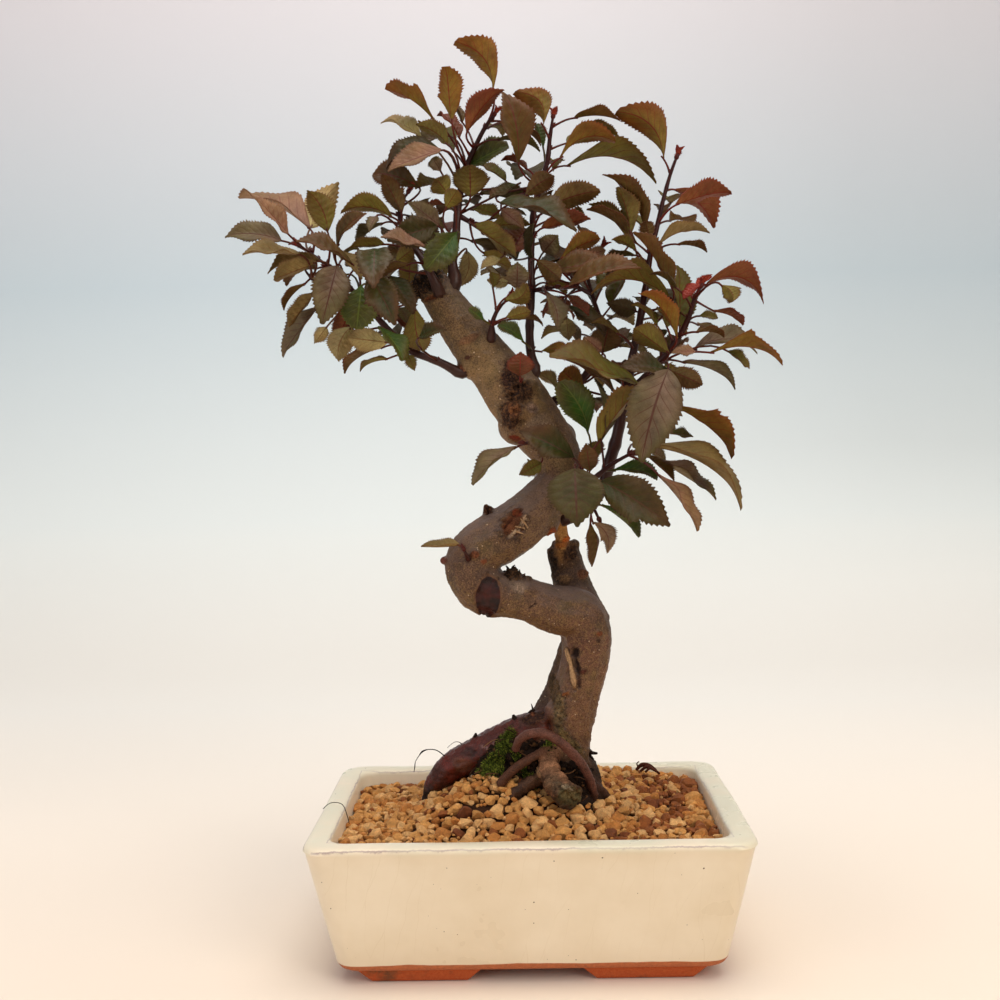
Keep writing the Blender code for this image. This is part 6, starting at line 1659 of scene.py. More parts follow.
MARKS = [
    Mark(-15.0, 140.2, (5.2, 8.8), -6, -0.7, 0.3, 0.1, "#38100a", "#4a3020", 0.75),
    Mark(-15.4, 143.4, (2.2, 2.4), 0, 0.3, 0.0, 0.1, "#46160f", "#2a0a07", 0.7),
    Mark(-3.8, 170.2, (4.7, 6.2), -42, -0.5, 0.5, 0.9, "#54301c", "#33231a", 0.2),
    Mark(-2.2, 174.6, (2.4, 1.6), -20, -0.4, 0.4, 0.5, "#6a2e18", "#3c2619", 0.2),
    Mark(-5.6, 171.4, (0.7, 4.2), -40, -0.5, 0.0, 0.3, "#46210f", "#7a4428", 0.2),
    Mark(-2.6, 167.4, (0.8, 3.4), -48, 0.6, 0.0, 0.3, "#b79c7c", "#3a1c0f", 0.2),
    Mark(-0.4, 169.6, (0.7, 3.4), -30, 0.7, 0.0, 0.3, "#c4ad90", "#3a1c0f", 0.2),
    Mark(-1.4, 168.4, (0.5, 3.0), -40, -0.7, 0.0, 0.3, "#2a140b", "#54301c", 0.2),
    Mark(-3.9, 166.2, (0.5, 2.6), -56, 0.5, 0.0, 0.3, "#b09478", "#3a1c0f", 0.2),
    Mark(0.3, 172.0, (0.6, 2.2), -20, 0.5, 0.0, 0.3, "#a88a6c", "#3a1c0f", 0.2),
    Mark(-20.0, 158.1, (1.9, 1.8), 0, 1.3, 0.3, 1.2, "#683820", "#34221a", 0.3),
    Mark(-32.8, 155.8, (1.4, 1.4), 0, 0.7, 0.2, 0.4, "#5c3022", "#4e3628", 0.2),
    Mark(-14.6, 176.4, (2.4, 2.2), 0, -0.8, 0.2, 3.4, "#3a1f16", "#33241a", 0.1),
    Mark(-16.6, 155.0, (1.5, 1.0), 0, 0.4, 0.1, 0.4, "#6a3820", "#5c422c", 0.2),
    Mark(-4.6, 149.2, (3.6, 2.2), -10, 1.0, 0.2, 3.2, "#2a1c12", "#44322a", 0.1),
    Mark(1.1, 147.8, (2.4, 1.6), -10, 1.0, 0.3, 1.6, "#46342a", "#4c392a", 0.1),
    Mark(-9.0, 151.0, (1.6, 1.6), 0, 1.1, 0.2, 1.2, "#2c1f17", "#4c392a", 0.1),
    Mark(-2.0, 144.0, (3.0, 2.2), 0, 0.2, 0.1, 0.4, "#86705e", "#6a5442", 0.3, 0.8),
    Mark(3.4, 136.6, (2.2, 0.5), 35, -0.4, 0.4, 0.2, "#33231a", "#6d5342", 0.1),
    Mark(17.8, 114.8, (0.8, 4.2), 16, 1.0, -0.3, 0.4, "#a58058", "#4a3020", 0.15),
    Mark(19.5, 106.2, (1.2, 4.8), 8, 1.0, -0.3, 0.5, "#96704a", "#472d1e", 0.15),
    Mark(20.4, 116.4, (1.5, 2.2), 8, -0.9, 0.1, 0.5, "#24150f", "#3c281c", 0.15),
    Mark(21.2, 111.2, (1.0, 3.2), 10, -0.7, 0.1, 0.5, "#2c1a12", "#3c281c", 0.15),
    Mark(21.9, 104.5, (0.9, 2.4), 4, -0.5, 0.1, 0.5, "#3a241a", "#3c281c", 0.15),
    Mark(23.6, 108.6, (1.5, 0.9), 4, 0.4, 0.1, 0.8, "#4a2418", "#3c281c", 0.15),
    Mark(30.4, 124.4, (1.4, 1.2), 0, 0.5, 0.2, 1.4, "#6e3a20", "#46301f", 0.2),
    Mark(30.0, 121.4, (1.2, 0.8), 0, 0.2, 0.1, 0.8, "#3a261a", "#4c3424", 0.2),
    Mark(-3.2, 229.0, (4.6, 8.0), 10, 0.7, 0.3, 1.7, "#35201a", "#57402e", 0.15),
    Mark(-4.0, 215.5, (4.0, 7.0), 4, 0.5, 0.3, 1.8, "#3c261a", "#57402e", 0.15),
    Mark(-2.4, 217.6, (2.4, 3.2), 0, 0.4, 0.0, 1.5, "#6e4226", "#4a2c1c", 0.15, 0.8),
    Mark(0.6, 224.0, (5.4, 4.2), 30, 0.2, 0.0, 1.4, "#2c1a12", "#4a3422", 0.15, 0.9),
    Mark(4.7, 217.4, (2.4, 1.8), -20, 0.2, 0.1, 0.7, "#8c7060", "#64493a", 0.25, 0.8),
    Mark(8.0, 209.5, (6.0, 5.6), 30, 0.2, 0.0, 0.4, "#74604e", "#5c4736", 0.25, 0.6),
    Mark(-20.7, 238.9, (1.8, 1.0), 20, 0.3, 0.4, 0.8, "#46291c", "#5a4630", 0.2),
    Mark(-20.5, 246.2, (5.2, 1.6), 24, 0.4, 0.1, 0.9, "#6e4c34", "#54402c", 0.2, 0.8),
    Mark(-24.6, 233.6, (2.4, 2.2), 0, 0.3, 0.3, 0.8, "#6a3c28", "#54402c", 0.2),
    Mark(-34.1, 263.8, (4.6, 1.0), 18, -0.5, 0.5, 0.8, "#6e3a1c", "#46301f", 0.2),
    Mark(-37.4, 269.5, (8.6, 4.6), 28, 0.6, 0.2, 2.4, "#1c1410", "#33241a", 0.1),
    Mark(-2.6, 205.6, (2.6, 1.2), -16, -0.3, 0.3, 0.4, "#6a2a16", "#4c3222", 0.3),
    Mark(9.6, 159.8, (2.4, 3.6), 10, 0.7, 0.2, 1.6, "#33211a", "#46301f", 0.1),
    Mark(11.8, 166.4, (2.4, 1.6), 30, 0.4, 0.3, 1.1, "#7c3a18", "#4a2c1a", 0.2),
    Mark(17.6, 163.8, (2.6, 0.9), 40, 0.4, 0.2, 0.9, "#a8541c", "#6a3c1c", 0.2),
    Mark(15.8, 161.4, (3.4, 1.2), 10, 0.5, 0.2, 1.0, "#8a5428", "#3c281c", 0.2),
    Mark(19.2, 157.4, (3.0, 3.2), 0, 0.5, 0.2, 1.4, "#3a281e", "#46342a", 0.1),
    Mark(11.4, 154.0, (1.8, 6.0), 4, -0.3, 0.2, 1.1, "#2c2119", "#46342a", 0.1),
    Mark(16.6, 147.6, (2.6, 1.8), 0, 0.9, 0.1, 1.5, "#8a6a4c", "#46342a", 0.1),
    Mark(24.0, 149.0, (2.4, 2.0), 0, 0.7, 0.2, 1.2, "#6c4430", "#4f3b2c", 0.1),
    Mark(12.0, 101.0, (2.4, 8.0), 8, 0.2, 0.1, 1.0, "#4b3c28", "#5a4434", 0.1, 0.8),
    Mark(13.6, 92.0, (2.3, 8.0), -6, 0.5, 0.2, 1.9, "#6e5c40", "#3c2e20", 0.1, 0.9),
    Mark(15.6, 81.6, (1.8, 4.6), 24, 0.5, 0.2, 1.9, "#6c5a36", "#3c2e20", 0.1, 0.9),
    Mark(20.0, 77.6, (1.6, 4.4), 40, 0.4, 0.2, 1.9, "#5c4c2e", "#2c2018", 0.1, 0.9),
    Mark(16.4, 99.6, (1.7, 0.8), 20, 0.5, 0.1, 1.4, "#6c3c1e", "#3c281c", 0.1),
    Mark(3.2, 97.0, (2.6, 7.0), 28, 0.2, 0.0, 0.9, "#36261b", "#42301f", 0.15, 0.85),
    Mark(3.0, 89.4, (5.4, 2.6), 14, 0.3, 0.1, 1.2, "#2e1c16", "#3c2018", 0.25, 0.85),
    Mark(2.6, 90.8, (1.0, 0.7), 0, 0.4, 0.0, 1.2, "#643420", "#2e1c16", 0.2),
    Mark(-24.5, 75.6, (2.6, 2.2), 30, -0.4, 0.4, 0.5, "#36130c", "#4a1d16", 0.8),
    Mark(-27.5, 71.0, (4.6, 3.0), -10, 0.2, 0.1, 0.3, "#54301f", "#3c1a12", 0.8, 0.7),
    Mark(-33.5, 71.5, (2.2, 4.4), 34, 0.2, 0.1, 0.3, "#5a1c10", "#45201a", 0.8, 0.8),
    Mark(-17.0, 77.6, (0.5, 3.2), 70, 0.2, 0.0, 0.2, "#7a5650", "#45201a", 0.9),
    Mark(-13.6, 78.0, (0.5, 2.6), 10, 0.2, 0.0, 0.2, "#7a5650", "#45201a", 0.9),
    Mark(-37.0, 65.5, (2.4, 5.0), 20, 0.3, 0.1, 0.5, "#3c2016", "#34180f", 0.5, 0.6),
    Mark(-41.5, 57.0, (4.0, 4.0), 0, 0.2, 0.1, 0.6, "#2a1a12", "#34180f", 0.3),
    Mark(-9.0, 83.6, (5.4, 0.8), 26, 0.2, 0.1, 0.3, "#6a3630", "#3c1a14", 0.9, 0.7),
    Mark(17.4, 56.8, (6.2, 4.6), -16, 0.0, 0.5, 0.9, "#5a5034", "#2c2016", 0.1),
    Mark(17.0, 57.2, (4.0, 2.6), -16, -0.3, 0.1, 1.0, "#746846", "#544c32", 0.1, 0.9),
    Mark(15.0, 60.8, (4.6, 0.9), -24, 0.5, 0.0, 1.2, "#a08c70", "#4a3626", 0.15, 0.8),
    Mark(10.0, 62.4, (3.6, 3.4), 0, 0.2, 0.0, 0.8, "#54402e", "#3c2a1e", 0.15, 0.8),
    Mark(4.4, 67.0, (0.8, 2.6), 14, 0.6, 0.0, 0.4, "#8a6848", "#2a1f16", 0.2),
    Mark(14.0, 226.0, (4.4, 6.4), -12, -0.8, 0.8, 0.5, "#6a4a33", "#54402f", 0.2, 1.0, True),
    Mark(-14.0, 150.0, (4.0, 5.4), 30, -0.6, 0.7, 0.7, "#7b5a3f", "#54402f", 0.2, 1.0, True),
    Mark(24.0, 112.0, (3.4, 6.8), 6, -0.9, 0.9, 0.6, "#4b2f20", "#5e4936", 0.2, 1.0, True),
    Mark(2.0, 92.0, (6.0, 6.0), 0, 0.3, 0.2, 1.5, "#3f3324", "#4e3d2c", 0.1, 1.0, True),
]


@dataclass(frozen=True)
class Bark:
    """Living apple bark: thin, dull and smooth on young wood, specked with pale lenticels."""

    lenticel: str = "#c4a888"
    lichen: str = "#5c5228"
    fleck: str = "#8a6a40"
    pit: str = "#2a1a11"
    # Painted highlight: the grey satin sheen of the overhead light on surfaces that face up
    bloom: str = "#887670"
    wound: str = "#1e0907"
    wound_pale: str = "#441610"
    wound_rim: str = "#64442e"
    crust_light: str = "#8c6038"
    crust_dark: str = "#170e0a"
    crust_mm: float = 1.1
    speck_mm: float = 2.0
    grain_mm: float = 0.5
    patch_mm: float = 6.0
    fleck_mm: float = 1.0

    def material(self) -> bpy.types.Material:
        """Build the material."""
        made, add, place = new_material("Living bark, fruit tree")
        tint = add("Attribute", attribute_name="Bark")
        patch = add("TexNoise", {"Vector": place, "Scale": 1 / (self.patch_mm * MM), "Detail": 6.0,
            "Roughness": 0.62})
        grain = add("TexNoise", {"Vector": place, "Scale": 1 / (self.grain_mm * MM), "Detail": 5.0,
            "Roughness": 0.7})
        light = add("MapRange", {0: patch, 1: 0.32, 2: 0.68, 3: 0.68, 4: 1.36})
        fine = add("MapRange", {0: grain, 1: 0.34, 2: 0.66, 3: 0.42, 4: 1.66})
        both = add("Math", {0: light, 1: fine}, operation="MULTIPLY")
        tone = add("VectorMath", {0: tint.outputs["Color"], "Scale": both}, operation="SCALE")
        # Over the tinted wood lie a film of green algae, a painted grey sheen where the overhead light
        # falls on surfaces that face up, ochre flecks where the skin is split, painted thickest on the
        # trunk's undersides as their warmer tone out of that light, and dark pits
        film = add("TexNoise", {"Vector": place, "Scale": 95.0, "Detail": 5.0, "Roughness": 0.6})
        facing = add("SeparateXYZ", {0: add("NewGeometry").outputs["Normal"]}).outputs["Z"]
        split = add("TexNoise", {"Vector": place, "Scale": 1 / (self.fleck_mm * MM), "Detail": 4.0,
            "Roughness": 0.75})
        level = add("MapRange", {0: facing, 1: -0.7, 2: 0.8, 3: 0.44, 4: 0.60})
        open_split = add("Math", {0: split, 1: level}, operation="SUBTRACT")
        layered = tone
        for guide, start, end, most, code in (
                (film, 0.50, 0.72, 0.40, self.lichen), (facing, 0.1, 0.95, 0.42, self.bloom),
                (open_split, 0.0, 0.12, 0.55, self.fleck), (split, 0.40, 0.28, 0.7, self.pit)):
            amount = add("MapRange", {0: guide, 1: start, 2: end, 4: most})
            layered = add("Mix", {0: amount, 6: layered, 7: code}, data_type="RGBA")
        skin = add("Mix", {0: tint.outputs["Alpha"], 6: tone, 7: layered}, data_type="RGBA")
        cells = add("TexVoronoi", {"Vector": place, "Scale": 1 / (self.speck_mm * MM), "Randomness": 1.0})
        chosen = add("SeparateColor", {0: cells.outputs["Color"]})
        wide = add("MapRange", {0: chosen, 1: 0.55, 2: 1.0, 3: 0.0, 4: 0.20})
        dot = add("MapRange", {0: add("Math", {0: wide, 1: cells.outputs["Distance"]},
            operation="SUBTRACT"), 1: 0.0, 2: 0.04, 4: 0.9})
        young = add("Math", {0: dot, 1: tint.outputs["Alpha"]}, operation="MULTIPLY")
        specked = add("Mix", {0: young, 6: skin, 7: self.lenticel}, data_type="RGBA")
        # Burls, torn edges and lichen are a crust of dark and tan crumbs
        crust = add("Attribute", attribute_name="Crust")
        crumb = add("TexNoise", {"Vector": place, "Scale": 1 / (self.crust_mm * MM), "Detail": 5.0,
            "Roughness": 0.8})
        covered = specked
        for end, most, code in ((0.68, 0.75, self.crust_light), (0.34, 0.95, self.crust_dark)):
            share = add("MapRange", {0: crumb, 1: 0.50, 2: end, 4: most})
            amount = add("Math", {0: share, 1: crust.outputs["Fac"]}, operation="MULTIPLY")
            covered = add("Mix", {0: amount, 6: covered, 7: code}, data_type="RGBA")
        # The healed wound's wine-red face has a crisp edge, inside a paler rim
        wound = add("Attribute", attribute_name="Wound")
        worn = add("Mix", {0: add("MapRange", {0: patch, 1: 0.42, 2: 0.66}), 6: self.wound,
            7: self.wound_pale}, data_type="RGBA")
        for start, end, share, shade in ((-0.16, -0.04, 0.7, self.wound_rim), (0.0, 0.035, 1.0, worn)):
            amount = add("MapRange", {0: wound.outputs["Fac"], 1: start, 2: end, 4: share})
            covered = add("Mix", {0: amount, 6: covered, 7: shade}, data_type="RGBA")
        rugged = add("Math", {0: crumb, 1: crust.outputs["Fac"], 2: grain}, operation="MULTIPLY_ADD")
        relief = add("Math", {0: rugged, 1: dot}, operation="ADD")
        bump = add("Bump", {"Height": relief, "Strength": 0.7, "Distance": 0.3 * MM})
        gloss = add("Attribute", attribute_name="Gloss")
        rough = add("MapRange", {0: gloss.outputs["Fac"], 1: 0.0, 2: 1.0, 3: 0.74, 4: 0.20})
        shine = add("MapRange", {0: gloss.outputs["Fac"], 1: 0.0, 2: 1.0, 3: 0.12, 4: 0.34})
        shader = add("BsdfPrincipled", {"Base Color": covered, "Roughness": rough,
            "Specular IOR Level": shine, "Normal": bump})
        add("OutputMaterial", {0: shader})
        return made


# The tint of each limb, how glossy it is and how far pale lenticels show on it
LIMB_LOOKS = {
    "trunk": ("#6a4f3a", 0.45, 1.0), "old stump": ("#46342a", 0.15, 0.7),
    "torn strip": ("#a3743f", 0.15, 0.0), "rear ridge": ("#3e2d20", 0.15, 0.6),
    "left root": ("#4c1a10", 0.85, 0.0), "arch root": ("#5c382c", 0.45, 0.0),
    "small root": ("#4a2c1d", 0.35, 0.0), "front stub": ("#805a40", 0.2, 0.0),
    "right root": ("#5c3625", 0.35, 0.1), "low left root": ("#3f281b", 0.25, 0.1),
    "dark knob": ("#1f1712", 0.3, 0.0), "back root": ("#4b2e20", 0.3, 0.1),
    "root ball": ("#2a1c13", 0.1, 0.0),
}
SMOOTH_ROOTS = ("arch root", "small root", "right root", "front stub")
# The trunk's own tint from the ground up: height, colour
TRUNK_TINTS = [
    (60, "#3a281b"), (86, "#684731"), (105, "#674630"), (122, "#57392b"), (137, "#5c4230"),
    (150, "#523a2b"), (165, "#604634"), (178, "#644c3a"), (192, "#614736"), (212, "#715539"),
    (232, "#725a3c"), (252, "#5e4831"), (272, "#4a3829"),
]


@dataclass
class Wood:
    """Roots, trunk, stubs and burls, grown together into one piece."""

    step: float = 3.0
    voxel: float = 0.68
    healing: int = 11
    sides: int = 10
    coarse_relief: float = 0.42
    fine_relief: float = 0.20
    blend_mm: float = 1.3
    mark_stray: float = 0.42
    stub_ring_mm: float = 2.3
    stub_ring: tuple[float, float] = (0.4, 0.34)           # height, and how much lighter
    strip_groove: tuple[float, float] = (0.9, 0.55)
    stump_top: tuple[float, float] = (157.5, 161.0)        # heights between which it gets rough
    old_bark: tuple[float, float] = (84.0, 112.0)
    soil_line: tuple[float, float] = (57.0, 66.0)
    soil_shade: float = 0.35
    arch_sink: float = 0.4
    cut_place: tuple[float, float, float] = (17.2, 56.8, -24.5)
    cut_facing: tuple[float, float, float] = (0.3512, -0.8329, -0.4279)
    cut_reach: float = 11.0
    surface: BVHTree = field(init=False)
    axes: dict[str, Path] = field(init=False)

    def skeleton(self) -> bpy.types.Object:
        """Model the limbs as tubes and the burls as balls, all in one object."""
        self.axes = {
            name: smooth_path(limb_knots(rows), self.step)
            for name, rows in {"trunk": TRUNK, **LIMBS}.items()}
        heap = MeshHeap()
        bark = linear("#6a4f3a")
        for path in self.axes.values():
            heap.put(*tube(path, self.sides), bark)
        points, faces = unit_ball(3)
        for u, v, depth, radius in BURLS + KNOBS:
            heap.put(points * radius + np.array(seen(u, v, depth)), faces, bark)
        return heap.piece("bonsai_wood")

    def nearest_limbs(self, points: Numbers) -> tuple[Numbers, Numbers]:
        """Say how much each point belongs to each limb, and where along the limb it is.

        Args:
            points: The points.

        Returns:
            Weights that add up to 1, and lengths along each limb, a column for each limb.
        """
        away, lengths = [], []
        for path in self.axes.values():
            spots = np.array([place for place, _ in path])
            radii = np.array([radius for _, radius in path])
            run = np.concatenate([[0], np.cumsum(np.linalg.norm(np.diff(spots, axis=0), axis=1))])
            distance = np.linalg.norm(points[:, None] - spots[None], axis=2) - radii
            nearest = distance.argmin(axis=1)
            away.append(distance[np.arange(len(points)), nearest])
            lengths.append(run[nearest])
        weights = np.exp(-np.clip(np.array(away).T + 2.0, 0, 60) / self.blend_mm)
        return weights / weights.sum(axis=1)[:, None], np.array(lengths).T

    def mark_reach(
            self, mark: Mark, points: Numbers, normals: Numbers, stray: Numbers,
            ) -> tuple[Numbers, Numbers]:
        """How far out from a mark's middle each point of the wood is.

        Args:
            mark: The mark.
            points: The wood's points.
            normals: The normals there.
            stray: Noise that makes the mark's outline uneven.

        Returns:
            The distance from its middle, 1 at its outline, and 1 where it may show, or 0.
        """
        if mark.behind:
            across, height = points[:, 0] - mark.u, points[:, 2] - mark.v
            start, way = Vector((mark.u, 400.0, mark.v)), Vector((0.0, -1.0, 0.0))
            towards = -normals[:, 1]
        else:
            u, v = seen_places(points)
            across, height = u - mark.u, v - mark.v
            start, way = EYE, (seen(mark.u, mark.v, 0.0) - EYE).normalized()
            towards = normals[:, 1]
        hit = self.surface.ray_cast(start, way)[0]
        if hit is None:
            LOG.warning("the mark at %s, %s misses the wood", mark.u, mark.v)
            return np.full(len(points), 9.0), np.zeros(len(points))
        turn = math.radians(mark.turn)
        right = across * math.cos(turn) + height * math.sin(turn)
        up = height * math.cos(turn) - across * math.sin(turn)
        out = np.hypot(right / mark.reach[0], up / mark.reach[1]) * (1 + self.mark_stray * stray)
        near = 1 - fade(np.abs(points[:, 1] - hit.y), 1.2 * max(mark.reach), 1.2 * max(mark.reach) + 3)
        near *= 1 - fade(towards, -0.15, 0.15)
        return out, near

    def saw_stub(self, wood: bpy.types.Object) -> None:
        """Saw the front stub off flat."""
        points = points_of(wood.data) / MM
        place, facing = np.array(seen(*self.cut_place)), np.array(self.cut_facing)
        past = (points - place) @ facing
        close = np.linalg.norm(points - place, axis=1) < self.cut_reach
        beyond = np.where(close & (past > 0), past, 0.0)
        move_points(wood.data, (points - np.outer(beyond, facing)) * MM)

    def carve(self, wood: bpy.types.Object) -> None:
        """Give the wood its relief and its colours."""
        mesh = wood.data
        points = points_of(mesh) / MM
        normals = np.array([tuple(normal.vector) for normal in mesh.vertex_normals])
        weights, lengths = self.nearest_limbs(points)
        names = list(self.axes)
        looks = [LIMB_LOOKS[name] for name in names]
        tints = np.array([linear(look[0])[:3] for look in looks])
        heights = [height for height, _ in TRUNK_TINTS]
        steps = np.array([linear(code)[:3] for _, code in TRUNK_TINTS])
        own = np.stack([np.interp(points[:, 2], heights, steps[:, k]) for k in range(3)], axis=1)
        trunk = weights[:, :1]
        colour = weights @ tints + trunk * (own - tints[0])
        gloss = weights @ np.array([look[1] for look in looks])
        speck = weights @ np.array([look[2] for look in looks])

        swell = ripple(points, 6.5, 2.2)
        coarse = ripple(points, 2.6, 9.1)
        fine = ripple(points, 1.15, 4.7)
        old = 1 - fade(points[:, 2], *self.old_bark)
        relief = self.coarse_relief * (0.55 * swell + 0.45 * coarse) * (1 + 0.7 * old)
        relief += self.fine_relief * fine * (1 + 1.6 * old)
        glossy_root = weights[:, names.index("left root")]
        young_roots = weights[:, [names.index(root) for root in SMOOTH_ROOTS]].sum(axis=1)
        relief *= 1 - 0.35 * glossy_root - 0.6 * young_roots
        relief -= weights[:, names.index("arch root")] * self.arch_sink
        relief += glossy_root * 0.55 * np.abs(ripple(points, 4.2, 6.6))

        stub = names.index("front stub")
        ring = np.sin(2 * math.pi * lengths[:, stub] / self.stub_ring_mm + 1.6 * coarse)
        relief += weights[:, stub] * self.stub_ring[0] * ring
        colour *= (1 + weights[:, stub] * self.stub_ring[1] * ring)[:, None]
        strip = names.index("torn strip")
        grooves = ripple(points * (1.0, 1.0, 0.12), 1.0, 7.7)
        relief += weights[:, strip] * self.strip_groove[0] * grooves
        colour *= (1 + weights[:, strip] * self.strip_groove[1] * grooves)[:, None]
        stump = weights[:, names.index("old stump")] * fade(points[:, 2], *self.stump_top)
        relief += stump * (2.6 * ripple(points * (1.0, 1.0, 0.2), 2.4, 3.9) + 0.4)

        shade = 1 + 0.20 * swell + 0.13 * coarse + 0.07 * fine
        colour = colour * np.clip(shade, 0.55, 1.5)[:, None]
        crust = 0.7 * stump + 0.5 * weights[:, names.index("dark knob")]
        for mark in MARKS:
            out, near = self.mark_reach(mark, points, normals, 0.6 * coarse + 0.7 * fine)
            middle = (1 - fade(out, 0.80, 1.08)) * near
            rim = np.exp(-((out - 1.12) / 0.16) ** 2) * near
            relief += middle * (mark.lift + mark.rough * (0.55 * coarse + 0.75 * fine)) + rim * mark.lip
            for share, code in ((rim * 0.8, mark.rim), (middle, mark.colour)):
                blend = (share * mark.strength)[:, None]
                target = linear(code)[:3] * (1 + 0.3 * fine + 0.2 * coarse)[:, None]
                colour = colour * (1 - blend) + target * blend
            gloss = gloss * (1 - middle) + mark.gloss * middle
            speck = speck * (1 - middle)
            crust = np.maximum(crust, (middle + 0.6 * rim) * min(1.0, max(0.0, mark.rough - 0.6)))
        soil = 1 - fade(points[:, 2], *self.soil_line)
        colour *= (1 - self.soil_shade * soil)[:, None]
        move_points(mesh, (points + normals * relief[:, None]) * MM)
        paint(mesh, "Bark", np.column_stack([np.clip(colour, 0, 1), np.clip(speck, 0, 1)]))
        out, near = self.mark_reach(MARKS[0], points, normals, 0.2 * coarse)
        wound = np.where(near > 0.2, 1.0 - out, -1.0)
        note(mesh, Gloss=np.clip(gloss, -1, 1), Crust=np.clip(crust, -1, 1), Wound=np.clip(wound, -1, 1))

    def build(self) -> None:
        """Model and dress the wood."""
        wood = self.skeleton()
        apply_modifier(wood, "REMESH", mode="VOXEL", voxel_size=self.voxel * MM)
        apply_modifier(wood, "SMOOTH", factor=0.5, iterations=self.healing)
        self.saw_stub(wood)
        self.surface = surface_tree(wood.data)
        self.carve(wood)
        wood.data.shade_smooth()
        self.surface = surface_tree(wood.data)
        hand_over(wood, "wood", Bark().material(), "tree")


@dataclass(frozen=True)
class LeafSkin:
    """Apple leaf: a thin satin blade, duller and paler below, that lets some light through."""

    mesh_mm: float = 1.1
    blotch_mm: float = 7.0
    through: float = 0.32
    sheen: float = 0.3

    def material(self) -> bpy.types.Material:
        """Build the material."""
        made, add, place = new_material("Living leaf, fruit tree")
        tint = add("Attribute", attribute_name="Tint")
        rib = add("Attribute", attribute_name="Vein tint")
        spot = add("SeparateXYZ", {0: add("UVMap", uv_map="Blade")})
        across = add("Math", {0: spot.outputs["X"]}, operation="ABSOLUTE")
        bent = add("Math", {0: across, 1: VEIN_BEND}, operation="POWER")
        drawn = add("Math", {0: bent, 1: -VEIN_SLOPE, 2: spot.outputs["Y"]}, operation="MULTIPLY_ADD")
        rows = add("Math", {0: drawn, 1: VEIN_PAIRS}, operation="MULTIPLY")
        beside = add("Math", {0: add("Math", {0: rows, 1: 0.5}, operation="PINGPONG"), 1: 2.0},
            operation="MULTIPLY")
        side_vein = add("MapRange", {0: beside, 1: 0.16, 2: 0.04, 4: 0.75})
        fading = add("MapRange", {0: across, 1: 0.95, 2: 0.35})
        side_vein = add("Math", {0: side_vein, 1: fading}, operation="MULTIPLY")
        midrib = add("MapRange", {0: across, 1: 0.062, 2: 0.026})
        veins = add("Math", {0: side_vein, 1: midrib}, operation="MAXIMUM")
        on_blade = add("Math", {0: spot.outputs["Y"], 1: -0.5}, operation="GREATER_THAN")
        shown = add("Math", {0: veins, 1: on_blade}, operation="MULTIPLY")
        blotch = add("TexNoise", {"Vector": place, "Scale": 1 / (self.blotch_mm * MM), "Detail": 5.0,
            "Roughness": 0.6})
        net = add("TexVoronoi", {"Vector": place, "Scale": 1 / (self.mesh_mm * MM)},
            feature="DISTANCE_TO_EDGE")
        light = add("MapRange", {0: blotch, 1: 0.3, 2: 0.7, 3: 0.74, 4: 1.26})
        netted = add("MapRange", {0: net, 1: 0.0, 2: 0.12, 3: 0.88, 4: 1.03})
        both = add("Math", {0: light, 1: netted}, operation="MULTIPLY")
        tone = add("VectorMath", {0: tint.outputs["Color"], "Scale": both}, operation="SCALE")
        rim_red = add("Math", {0: add("MapRange", {0: across, 1: 0.80, 2: 1.0, 4: 0.45}), 1: on_blade},
            operation="MULTIPLY")
        reddened = add("Mix", {0: rim_red, 6: tone, 7: rib.outputs["Color"]}, data_type="RGBA")
        veined = add("Mix", {0: shown, 6: reddened, 7: rib.outputs["Color"]}, data_type="RGBA")
        bulge = add("Math", {0: add("Math", {0: beside, 1: 0.8}, operation="MULTIPLY"),
            1: add("Math", {0: net, 1: 0.7}, operation="MULTIPLY")}, operation="ADD")
        bump = add("Bump", {"Height": bulge, "Strength": 0.5, "Distance": 0.25 * MM})
        rough = add("MapRange", {0: tint.outputs["Alpha"], 1: 0.0, 2: 1.0, 3: 0.68, 4: 0.30})
        shader = add("BsdfPrincipled", {"Base Color": veined, "Roughness": rough,
            "Specular IOR Level": self.sheen, "Normal": bump})
        glow = add("BsdfTranslucent", {"Color": veined, "Normal": bump})
        blend = add("MixShader", {0: self.through, 1: shader, 2: glow})
        add("OutputMaterial", {0: blend})
        return made


# The moves that are tried, in this order, to find a leaf a free place
NUDGES = [
    Vector((0, 0, 0)), Vector((0, -5, 0)), Vector((0, 5, 0)), Vector((0, -10, 0)), Vector((0, 10, 0)),
    Vector((0, 0, 3)), Vector((0, 0, -3)), Vector((3, 0, 0)), Vector((-3, 0, 0)), Vector((0, -15, 0)),
    Vector((0, 15, 0)), Vector((0, -8, 5)), Vector((0, 8, 5)), Vector((0, -8, -5)), Vector((0, 8, -5))]


